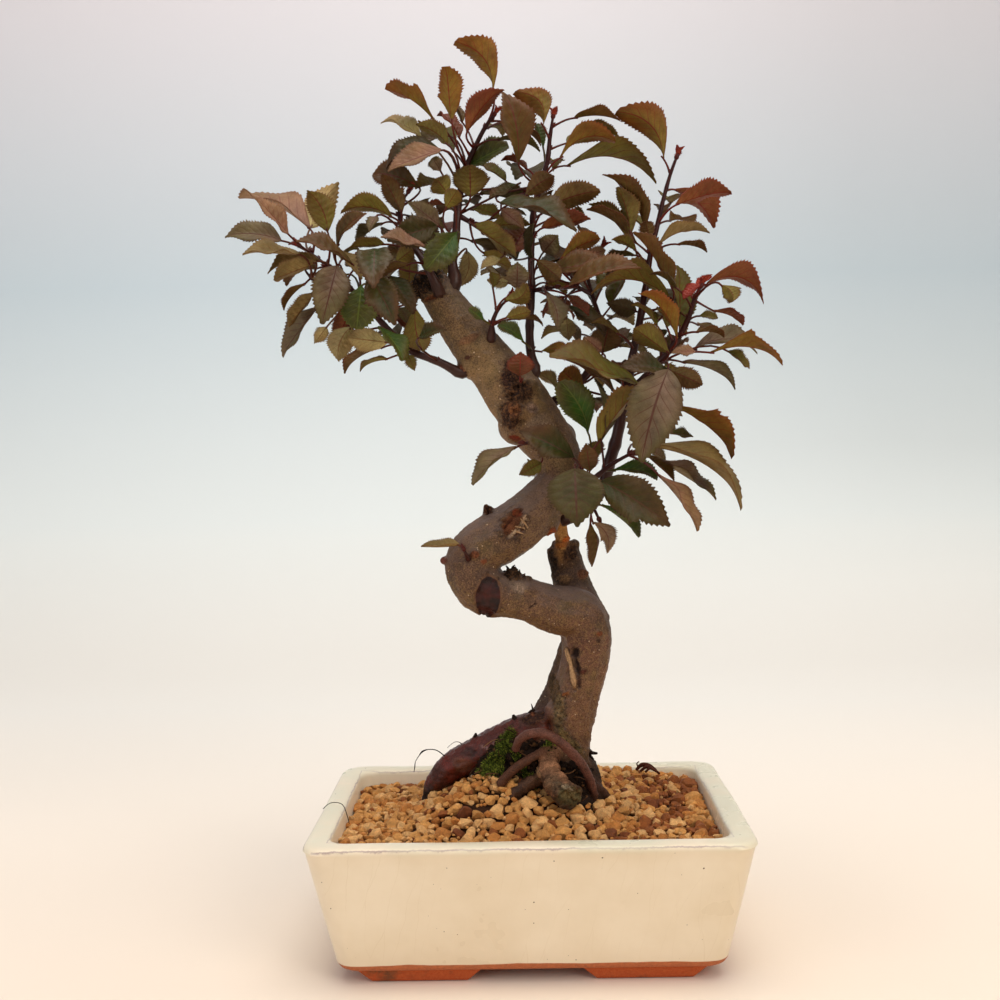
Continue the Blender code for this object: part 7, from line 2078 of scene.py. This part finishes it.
@dataclass
class LeafMould:
    """The blade that all leaves are formed from: a grid with a toothed outline."""

    rows: int = 38
    columns: tuple[float, ...] = (-1.0, -0.62, -0.24, 0.0, 0.24, 0.62, 1.0)
    coarse_rows: int = 6
    thickness: float = 0.34
    tooth_mm: float = 0.60
    tooth_lean: float = 0.85
    crease: float = 0.06
    blunt_peak: float = 0.62
    blunt_tip: float = 0.55
    keel: float = 0.5
    quilt: float = 0.20
    wave: float = 0.075
    lobed: float = 0.3
    tooth_sizes: tuple[float, float] = (0.5, 1.6)
    peaks: tuple[float, float] = (0.42, 0.56)
    tips: tuple[float, float] = (0.75, 1.2)
    curls: tuple[float, float] = (0.4, 1.6)
    droops: tuple[float, float] = (0.0, 0.10)
    lights: tuple[float, float] = (0.84, 1.16)
    stalk_points: int = 6
    stalk_sides: int = 5
    stalk_radius: float = 0.43
    stalk_colour: str = "#541a18"

    def outline(self, along: Numbers, peak: float = 0.45, tip: float = 0.95) -> Numbers:
        """Half the blade's width along it, as a share of its greatest.

        Args:
            along: Places along the blade, from 0 to 1.
            peak: Where it is widest.
            tip: How its tip narrows: 1 to a point, and less to a rounder end.

        Returns:
            The half widths.
        """
        along = np.clip(along, 0.0, 1.0)
        swing = np.sin(math.pi * along ** (math.log(0.5) / math.log(peak)))
        return np.maximum(swing, 0.0) ** (0.82 + (tip - 0.82) * along ** 2 - 0.35 * along * (1 - along))

    def grid(self, rows: int, columns: int) -> tuple[Numbers, Numbers]:
        """Model a flat grid of two sheets closed round their rim.

        Args:
            rows: How many steps it has from base to tip.
            columns: How many it has across.

        Returns:
            Rows of (step along, step across, sheet), and four-cornered faces.
        """
        deselect_all()
        bpy.ops.mesh.primitive_grid_add(x_subdivisions=columns, y_subdivisions=rows, size=2.0)
        sheet = bpy.context.object
        bpy.ops.object.mode_set(mode="EDIT")
        bpy.ops.mesh.select_all(action="SELECT")
        bpy.ops.mesh.extrude_region_move(TRANSFORM_OT_translate={"value": (0.0, 0.0, 1.0)})
        turn_out()
        points, faces = taken_apart(sheet)
        steps = np.column_stack([
            np.rint((points[:, 1] + 1) / 2 * rows), np.rint((points[:, 0] + 1) / 2 * columns),
            np.rint(points[:, 2])]).astype(int)
        return steps, faces

    def prepare(self) -> None:
        """Model the fine and the coarse grids once."""
        self.fine = self.grid(self.rows, len(self.columns) - 1)
        self.coarse = self.grid(self.coarse_rows, 4)

    def guard(self, blade: Blade, root: Vector) -> BVHTree:
        """A search tree over a leaf with the room that it needs round it."""
        steps, faces = self.coarse
        along = steps[:, 0] / self.coarse_rows
        across = steps[:, 1] / 2 - 1.0
        half = np.maximum(self.outline(along), 0.12) + 2 * GUARD / blade.width * 0.5
        lift = (steps[:, 2] - 0.5) * (BLADE_THICKNESS + 2 * GUARD)
        points = blade.surface(along, across, half, lift).tolist()
        start = len(points)
        reach = blade.base - root
        side = reach.cross(Vector((0, 1, 0))).normalized() * (PETIOLE_HALF + GUARD)
        top = side.cross(reach).normalized() * (PETIOLE_HALF + GUARD)
        points += [
            list(root + reach * share + way)
            for share in (0.15, 1.0) for way in (side, top, -side, -top)]
        rows = [tuple(face) for face in faces.tolist()]
        for k in range(4):
            after = (k + 1) % 4
            rows.append((start + k, start + after, start + 4 + after, start + 4 + k))
        return BVHTree.FromPolygons(points, rows)

    def form(self, blade: Blade, heap: MeshHeap, draw: random.Random) -> None:
        """Form one leaf with its stalk and put it on a heap.

        Args:
            blade: The leaf's place.
            heap: What it is put on.
            draw: Gives each leaf its own waves and shade.
        """
        steps, faces = self.fine
        along = steps[:, 0] / self.rows
        across = np.array(self.columns)[steps[:, 1]]
        rim = np.abs(across) > 0.99
        right = across > 0
        tooth = (steps[:, 0] % 2 == 1) & rim & (steps[:, 0] > 3)
        reach = self.tooth_mm / (blade.width / 2)
        bites = np.array([[draw.uniform(*self.tooth_sizes) for _ in range(self.rows + 1)] for _ in range(2)])
        bite = bites[right.astype(int), steps[:, 0]] * reach
        peak, tip = draw.uniform(*self.peaks), draw.uniform(*self.tips)
        if blade.tone in (Tone.AMBER, Tone.GREEN):
            peak, tip = self.blunt_peak, self.blunt_tip
        half = np.maximum(self.outline(along, peak, tip), 0.04)
        if draw.random() < self.lobed:
            side, middle = draw.choice((-1, 1)), draw.uniform(0.42, 0.62)
            lobe = 0.22 * np.exp(-((along - middle) / 0.045) ** 2)
            notch = 0.10 * np.exp(-((along - middle - 0.09) / 0.04) ** 2)
            half = half * np.where(across * side > 0.5, 1 + lobe - notch, 1.0)
        fullness = np.where(rim, np.where(tooth, 1 + bite, 1 - 0.5 * bite), 1.0)
        along = along + np.where(tooth, self.tooth_lean / self.rows, 0.0)
        along = np.minimum(along + rim * 0.02 * half, 1.0)
        upper = steps[:, 2] == 1
        length = (blade.tip - blade.base).length
        quilting = -np.cos(2 * math.pi * VEIN_PAIRS * (along - VEIN_SLOPE * np.abs(across) ** VEIN_BEND))
        quilting *= self.quilt * np.clip(np.abs(across) * 3, 0, 1) * (1 - np.abs(across)) * 2
        phases = [draw.uniform(0, 2 * math.pi) for _ in range(2)]
        curl = draw.uniform(*self.curls) * self.wave * blade.width
        waves = np.where(right, np.sin(along * 9.0 + phases[0]), np.sin(along * 10.5 + phases[1]))
        waves *= curl * np.abs(across) ** 2 * half
        droop = -draw.uniform(*self.droops) * length * np.clip(along - 0.72, 0, 1) ** 2 * 10
        lift = np.where(upper, 0.5, -0.5) * self.thickness + quilting + waves + droop
        lift += self.crease * np.abs(across) * half * blade.width
        middle = np.abs(across) < 0.01
        lift = lift - np.where(middle & ~upper, self.keel * (1 - 0.75 * along), 0.0)
        lift = lift - np.where(middle & upper, 0.16 * (1 - along), 0.0)
        points = blade.surface(along, across, half * fullness, lift)
        above, flush, below, vein, gloss = blade.tone.value
        light = draw.uniform(*self.lights)
        seed = draw.uniform(0, 90)
        spread = ripple(np.column_stack([along * 2.2, across * 1.2, along * 0]) + seed, 1.0, 4.4)
        rimward, tipward = np.abs(across) - 0.4, along - 0.45
        flushed = np.clip(0.36 + 0.6 * spread + 0.4 * rimward + 0.7 * tipward, 0, 1)[:, None]
        base = np.where(upper[:, None], linear(above), linear(below))
        colour = (base * (1 - flushed) + linear(flush) * flushed) * light
        colour[:, 3] = np.where(upper, gloss, gloss * 0.45)
        ribs = np.tile(linear(vein) * light, (len(points), 1))
        heap.put(points, faces, colour, ribs, np.column_stack([across, steps[:, 0] / self.rows]))
        self.stalk(blade, heap, linear(vein) * light)

    def stalk(self, blade: Blade, heap: MeshHeap, colour: Numbers) -> None:
        """Draw a leaf's stalk: it leaves the stem steeply and bends into the rib."""
        chord, _, up = blade.axes()
        forward = chord.normalized()
        reach = (blade.base - blade.root).length
        end = blade.base + forward * min(1.5, chord.length * 0.08) - up * 0.1
        handle = end - forward * reach * 0.45
        path = []
        for number in range(self.stalk_points + 1):
            t = number / self.stalk_points
            place = blade.root * (1 - t) ** 2 + handle * 2 * t * (1 - t) + end * t * t
            path.append((place, self.stalk_radius * (1.35 - 0.9 * t + 0.55 * t * t)))
        heap.put(*tube(path, self.stalk_sides), linear(self.stalk_colour) * 0.6 + colour * 0.4)


@dataclass
class Foliage:
    """All leafy shoots: stems first, then their leaves, each in a place that is free."""

    wood: BVHTree
    mould: LeafMould = field(default_factory=LeafMould)
    stem_colour: str = "#401714"
    old_stem_colour: str = "#4a332a"
    bud_colour: str = "#5c221a"
    taper: float = 0.48
    young_length: float = 6.5
    spur_leaves: int = 4
    sides: int = 8
    fine_step: float = 2.6
    node_mm: float = 9.0
    node_swell: float = 0.16
    tones: tuple[Tone, ...] = (
        Tone.OLIVE, Tone.BRONZE, Tone.DEEP, Tone.DUSK, Tone.OLIVE, Tone.MAUVE, Tone.WINE, Tone.BRONZE)
    taken: dict[str, list[BVHTree]] = field(default_factory=dict)
    stems: dict[str, list[Path]] = field(default_factory=dict)
    blades: dict[str, list[Blade]] = field(default_factory=dict)

    def shoot_stems(self, shoot: Shoot, bearer: BVHTree) -> list[Path]:
        """The knots of a shoot's stems; the first one springs from what bears it."""
        rows = []
        for number, stem in enumerate(shoot.stems):
            knots = limb_knots(stem)
            if number == 0:
                spot, normal, _, _ = bearer.find_nearest(knots[0][0])
                radius = knots[0][1]
                foot = spot + normal * STEM_GAP
                knots[0] = (foot, radius)
                knots.insert(1, (foot + normal * STEM_HEEL, radius))
            rows.append(knots)
        return rows

    def nearest_on_stems(self, name: str, place: Vector) -> Vector:
        """The stem point from which a stalk to a place springs, a little below the nearest."""
        best = None
        for number, knots in enumerate(self.stems[name]):
            path = smooth_path(knots, STEM_STEP)
            lowest = FOOT_POINTS if number == 0 else 0
            for index in range(lowest, len(path)):
                away = (path[index][0] - place).length
                if best is None or away < best[0]:
                    best = (away, path, index, lowest)
        away, path, index, lowest = best
        back = away * STALK_SLOPE
        while index > lowest and back > 0:
            back -= (path[index][0] - path[index - 1][0]).length
            index -= 1
        return path[index][0]

    def spiral(
            self, path: Path, count: int, length: float, start: float,
            draw: random.Random) -> Iterator[Blade]:
        """Leaves along a stem in the spiral of an apple shoot, mostly on its far side.

        Args:
            path: The stem.
            count: How many leaves it gets.
            length: How long they are.
            start: The turn at which the spiral starts.
            draw: Gives each its own size and turn.

        Yields:
            The blades.
        """
        for number in range(count):
            place = SPIRAL_START + (1 - SPIRAL_START) * (number + 0.5) / count
            index = min(len(path) - 2, int(place * (len(path) - 1)))
            spot = path[index][0]
            along = (path[index + 1][0] - spot).normalized()
            side = along.cross(Vector((0, 1, 0))).normalized()
            back = side.cross(along).normalized()
            if back.y < 0:
                back = -back
            turn = start + number * TWIST_STEP
            out = side * math.cos(turn) + back * (BACKWARD + (1 - BACKWARD) * abs(math.sin(turn)))
            stalk = (along * STALK_RISE + out.normalized()).normalized()
            size = length * draw.uniform(*SIZE_SPREAD)
            base = spot + stalk * draw.uniform(*STALK_LENGTHS)
            forward = (stalk + Vector((0, 0, draw.uniform(*DROOP)))).normalized()
            up = Vector((0, 0, 1)) + along * STALK_RISE + side * draw.uniform(-TILT, TILT)
            yield Blade(
                spot, base, base + forward * size, up.normalized(), size * LEAF_RATIO, Vector(),
                Tone.OLIVE)

    def clear_place(self, blade: Blade, others: list[BVHTree], mates: list[BVHTree]) -> Blade | None:
        """Move a leaf as little as clears it of its neighbours.

        Args:
            blade: The leaf.
            others: What it may not touch.
            mates: Leaves of its own shoot, which it may touch if nothing else is free.

        Returns:
            The moved leaf, or None.
        """
        fallback = None
        for nudge in NUDGES:
            for share in BASE_SHARES:
                tried = blade.moved(nudge, share)
                guard = self.mould.guard(tried, tried.root)
                if any(guard.overlap(other) for other in others):
                    continue
                if not any(guard.overlap(mate) for mate in mates):
                    return tried
                fallback = fallback or tried
        return fallback

    def place(self, name: str, blade: Blade, spare: bool) -> None:
        """Find a leaf its place.

        Args:
            name: Its shoot.
            blade: The leaf.
            spare: Whether it is left out where it would touch another leaf.
        """
        own = len(self.stems[name])
        others = [tree for key, trees in self.taken.items() if key != name for tree in trees]
        mates = self.taken[name][own:]
        if spare:
            others, mates = others + mates, []
        found = self.clear_place(blade, others, mates)
        if found is not None:
            self.taken[name].append(self.mould.guard(found, found.root))
            self.blades[name].append(found)

    def lay_out(self) -> None:
        """Find the stems and the leaves their places."""
        self.taken["tree"] = [surface_tree(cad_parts["tree"].data, ORIGIN)]
        for shoot in SHOOTS:
            bearer = self.taken[BEARERS.get(shoot.name, "tree")][0]
            self.stems[shoot.name] = self.shoot_stems(shoot, bearer)
            self.taken[shoot.name] = []
            self.blades[shoot.name] = []
            for knots in self.stems[shoot.name]:
                points, faces = tube(smooth_path(knots, STEM_STEP / 2), 6)
                self.taken[shoot.name].append(BVHTree.FromPolygons(points.tolist(), faces.tolist()))
        for shoot in SHOOTS:
            for leaf in shoot.leaves:
                blade = leaf.placed()
                root = self.nearest_on_stems(shoot.name, blade.base)
                self.place(shoot.name, replace(blade, root=root), False)
        for row, (name, stem, count, length, start) in enumerate(SPIRALS):
            draw = random.Random(name if row < SOLID_SPIRALS else name + str(row))
            path = smooth_path(smooth_path(self.stems[name][stem], STEM_STEP), SPIRAL_STEP)
            for blade in self.spiral(path, count, length, start, draw):
                tone = self.tones[len(self.blades[name]) * 5 % len(self.tones)]
                self.place(name, replace(blade, tone=tone), row >= SOLID_SPIRALS)

    def stem(self, knots: Path, heap: MeshHeap, first: bool) -> None:
        """Model one stem: swollen at its joints and at its foot, browner where it is older."""
        if first:
            foot, heel = knots[0], knots[1]
            inward = (foot[0] - heel[0]).normalized()
            outward = (knots[2][0] - foot[0]).normalized()
            knots = [
                (foot[0] + inward * 2.2, foot[1] * 1.7), (foot[0] + outward * 0.8, foot[1] * 1.25),
                *knots[2:]]
        path = smooth_path(knots, self.fine_step)
        run = 0.0
        shaped = []
        for index, (place, radius) in enumerate(path):
            if index:
                run += (place - path[index - 1][0]).length
            phase = (run % self.node_mm) / self.node_mm
            swell = 1 + self.node_swell * math.exp(-((phase - 0.5) / 0.16) ** 2)
            share = index / (len(path) - 1)
            shaped.append((place, radius * swell * (1 - self.taper * share ** 1.5)))
        points, faces = tube(shaped, self.sides)
        young, old = linear(self.stem_colour), linear(self.old_stem_colour)
        share = np.clip(np.arange(len(points)) / len(points), 0, 1)[:, None] ** 0.5
        heap.put(points, faces, old * (1 - share) + young * share if first else young)

    def bud(self, place: Vector, way: Vector, size: float, heap: MeshHeap) -> None:
        """Model a pointed bud.

        Args:
            place: Where it sits.
            way: The way that it points.
            size: How long it is.
            heap: What it is put on.
        """
        path = [
            (place + way * size * share, size * radius)
            for share, radius in ((0.0, 0.24), (0.25, 0.36), (0.55, 0.30), (0.85, 0.14), (1.0, 0.03))]
        heap.put(*tube(path, 6), linear(self.bud_colour))

    def young_leaves(self, place: Vector, way: Vector, heap: MeshHeap) -> None:
        """Model the two folded red leaves that open at the tip of a shoot.

        Args:
            place: The tip.
            way: The way that the shoot grows.
            heap: What they are put on.
        """
        draw = random.Random(int(abs(place.x) * 10))
        side = way.cross(Vector((0, 1, 0))).normalized()
        for number in range(2):
            turn = draw.uniform(0.3, 1.2) + number * math.pi
            out = (side * math.cos(turn) + side.cross(way) * math.sin(turn)).normalized()
            base = place - way * 0.5
            forward = (way + out * draw.uniform(0.25, 0.55)).normalized()
            length = self.young_length * draw.uniform(0.7, 1.1)
            up = (way * 0.2 - out).normalized()
            self.mould.form(
                Blade(base - way, base, base + forward * length, up, length * 0.34, Vector(), Tone.RED),
                heap, draw)

    def build(self) -> None:
        """Model and dress the shoots."""
        self.mould.prepare()
        self.lay_out()
        skin = LeafSkin().material()
        for shoot in SHOOTS:
            heap = MeshHeap()
            for number, knots in enumerate(self.stems[shoot.name]):
                self.stem(knots, heap, number == 0)
                way = (knots[-1][0] - knots[-2][0]).normalized()
                self.bud(knots[-1][0] - way * 0.4, way, 3.0, heap)
                if number == 0 and len(self.blades[shoot.name]) > self.spur_leaves:
                    self.young_leaves(knots[-1][0], way, heap)
            draw = random.Random(shoot.name)
            for blade in self.blades[shoot.name]:
                self.mould.form(blade, heap, draw)
                way = (blade.base - blade.root).normalized()
                lean = (way + Vector((0, 0, 0.8))).normalized()
                self.bud(blade.root + lean * 0.8, lean, 2.1, heap)
            piece = heap.piece(shoot.name + "_leafy")
            LOG.info("%s has %d leaves", shoot.name, len(self.blades[shoot.name]))
            hand_over(piece, "foliage", skin, shoot.name)


@dataclass
class Studio:
    """The pale floor and backdrop, the soft lights and the camera."""

    focal_px: float = 1220.0       # the camera's focal length in pixels of a 1000 px frame
    frame_px: float = 1000.0
    sensor_mm: float = 36.0
    pitch: float = 0.0435
    yaw: float = -0.017
    roll: float = 0.0215
    floor: str = "#efe0d0"
    far_floor: str = "#e9e5de"
    low: str = "#e4e8e6"
    middle: str = "#c6d2d9"
    high: str = "#dfd9dd"
    shaded: float = 0.88           # how light the painted shade leaves the paper on the right
    near: float = -1.6             # the sheet's place and its bend, in metres
    flat_end: float = 0.4
    wall: float = 1.1
    bend: float = 0.5
    half_width: float = 2.6
    sheet_top: float = 3.2
    under_feet: float = 0.0002

    def camera(self) -> None:
        """Set up the camera where the photograph's one stood."""
        cosine, sine = math.cos(-self.yaw), math.sin(-self.yaw)
        forward = Vector((
            -sine * math.cos(self.pitch), cosine * math.cos(self.pitch), -math.sin(self.pitch)))
        right = Vector((cosine, sine, 0.0))
        up = right.cross(forward)
        turn = Matrix((right, up, -forward)).transposed().to_4x4()
        turn = turn @ Matrix.Rotation(-self.roll, 4, "Z")
        turn.translation = EYE * MM + ORIGIN
        data = bpy.data.cameras.new("camera")
        data.sensor_width = self.sensor_mm
        data.lens = self.sensor_mm * self.focal_px / self.frame_px
        data.clip_start = 0.01
        eye = bpy.data.objects.new("camera", data)
        eye.matrix_world = turn
        bpy.context.scene.collection.objects.link(eye)
        bpy.context.scene.camera = eye

    def sweep_material(self) -> bpy.types.Material:
        """Paper for the backdrop: cream at the floor, a cool pale grey higher up, with painted shade on the
        right.
        """
        made, add, place = new_material("Seamless background paper")
        split = add("SeparateXYZ", {0: place})
        tone = self.floor
        for axis, start, end, code in (
                ("Y", -0.05, 0.45, self.far_floor), ("Z", 0.0, 0.12, self.low),
                ("Z", 0.10, 0.42, self.middle), ("Z", 0.42, 0.85, self.high)):
            share = add("MapRange", {0: split.outputs[axis], 1: start, 2: end})
            tone = add("Mix", {0: share, 6: tone, 7: code}, data_type="RGBA")
        # Painted shade: the paper is a little darker on the right, above the floor, away from the window
        away = add("MapRange", {0: split.outputs["X"], 1: 0.0, 2: 0.45, 4: 1.0})
        lower = add("MapRange", {0: split.outputs["Z"], 1: 0.05, 2: 0.2, 4: 1.0})
        both = add("Math", {0: away, 1: lower}, operation="MULTIPLY")
        dim = add("MapRange", {0: both, 3: 1.0, 4: self.shaded})
        paper = add("VectorMath", {0: tone, "Scale": dim}, operation="SCALE")
        shader = add("BsdfPrincipled", {"Base Color": paper, "Roughness": 0.95, "Specular IOR Level": 0.1})
        add("OutputMaterial", {0: shader})
        return made

    def sweep(self) -> None:
        """Model the floor and the backdrop as one curved sheet of paper."""
        deselect_all()
        bpy.ops.mesh.primitive_plane_add(size=1.0)
        sheet = bpy.context.object
        sheet.name = "backdrop"
        rows = [(self.near, 0.0), (self.flat_end, 0.0)]
        for turn in range(0, 91, 10):
            angle = math.radians(turn)
            rows.append((
                self.wall + self.bend * math.sin(angle) - self.bend, self.bend * (1 - math.cos(angle))))
        rows.append((self.wall, self.sheet_top))
        corners = [(side * self.half_width, y, z - self.under_feet) for y, z in rows for side in (-1, 1)]
        faces = [(2 * k, 2 * k + 1, 2 * k + 3, 2 * k + 2) for k in range(len(rows) - 1)]
        sheet.data.clear_geometry()
        sheet.data.from_pydata(corners, [], faces)
        sheet.data.shade_smooth()
        sheet.data.materials.append(self.sweep_material())

    def light(
            self, name: str, place: tuple[float, float, float], aim: tuple[float, float, float],
            size: float, power: float, colour: str) -> None:
        """Add a soft light.

        Args:
            name: Its name.
            place: Where it hangs, in metres.
            aim: What it is turned to.
            size: The side of its square.
            power: Its power in watts.
            colour: The colour of its light.
        """
        data = bpy.data.lights.new(name, "AREA")
        data.size = size
        data.energy = power
        data.color = linear(colour)[:3]
        lamp = bpy.data.objects.new(name, data)
        lamp.location = place
        lamp.rotation_mode = "QUATERNION"
        lamp.rotation_quaternion = (Vector(aim) - Vector(place)).to_track_quat("-Z", "Y")
        bpy.context.scene.collection.objects.link(lamp)

    def build(self) -> None:
        """Set up the studio."""
        self.camera()
        self.sweep()
        self.light("overhead", (0.1, -0.15, 1.5), (0.0, 0.0, 0.2), 1.2, 13.0, "#fffaf2")
        self.light("key", (0.9, -1.0, 0.9), (0.0, 0.0, 0.2), 0.8, 7.5, "#fff6ea")
        self.light("fill", (-1.1, -0.8, 0.5), (0.0, 0.0, 0.15), 0.9, 4.2, "#f2f5ff")
        self.light("backdrop light", (0.0, 0.2, 1.3), (0.0, 1.1, 0.4), 1.2, 4.0, "#ffffff")
        world = bpy.data.worlds.new("studio air")
        world.use_nodes = True
        air = world.node_tree.nodes["Background"]
        air.inputs["Color"].default_value = linear("#f4f3f2")
        air.inputs["Strength"].default_value = 0.42
        bpy.context.scene.world = world
        bpy.context.scene.view_settings.view_transform = "Standard"


def main() -> None:
    """Build the bonsai and its studio."""
    logging.basicConfig(level=logging.INFO, format="%(message)s")
    Studio().build()
    Pot().build()
    DrainScreens().build()
    wood = Wood()
    wood.build()
    Undergrowth(wood.surface).build()
    Gravel().build(wood.surface)
    Foliage(wood.surface).build()


if __name__ == "__main__":
    main()
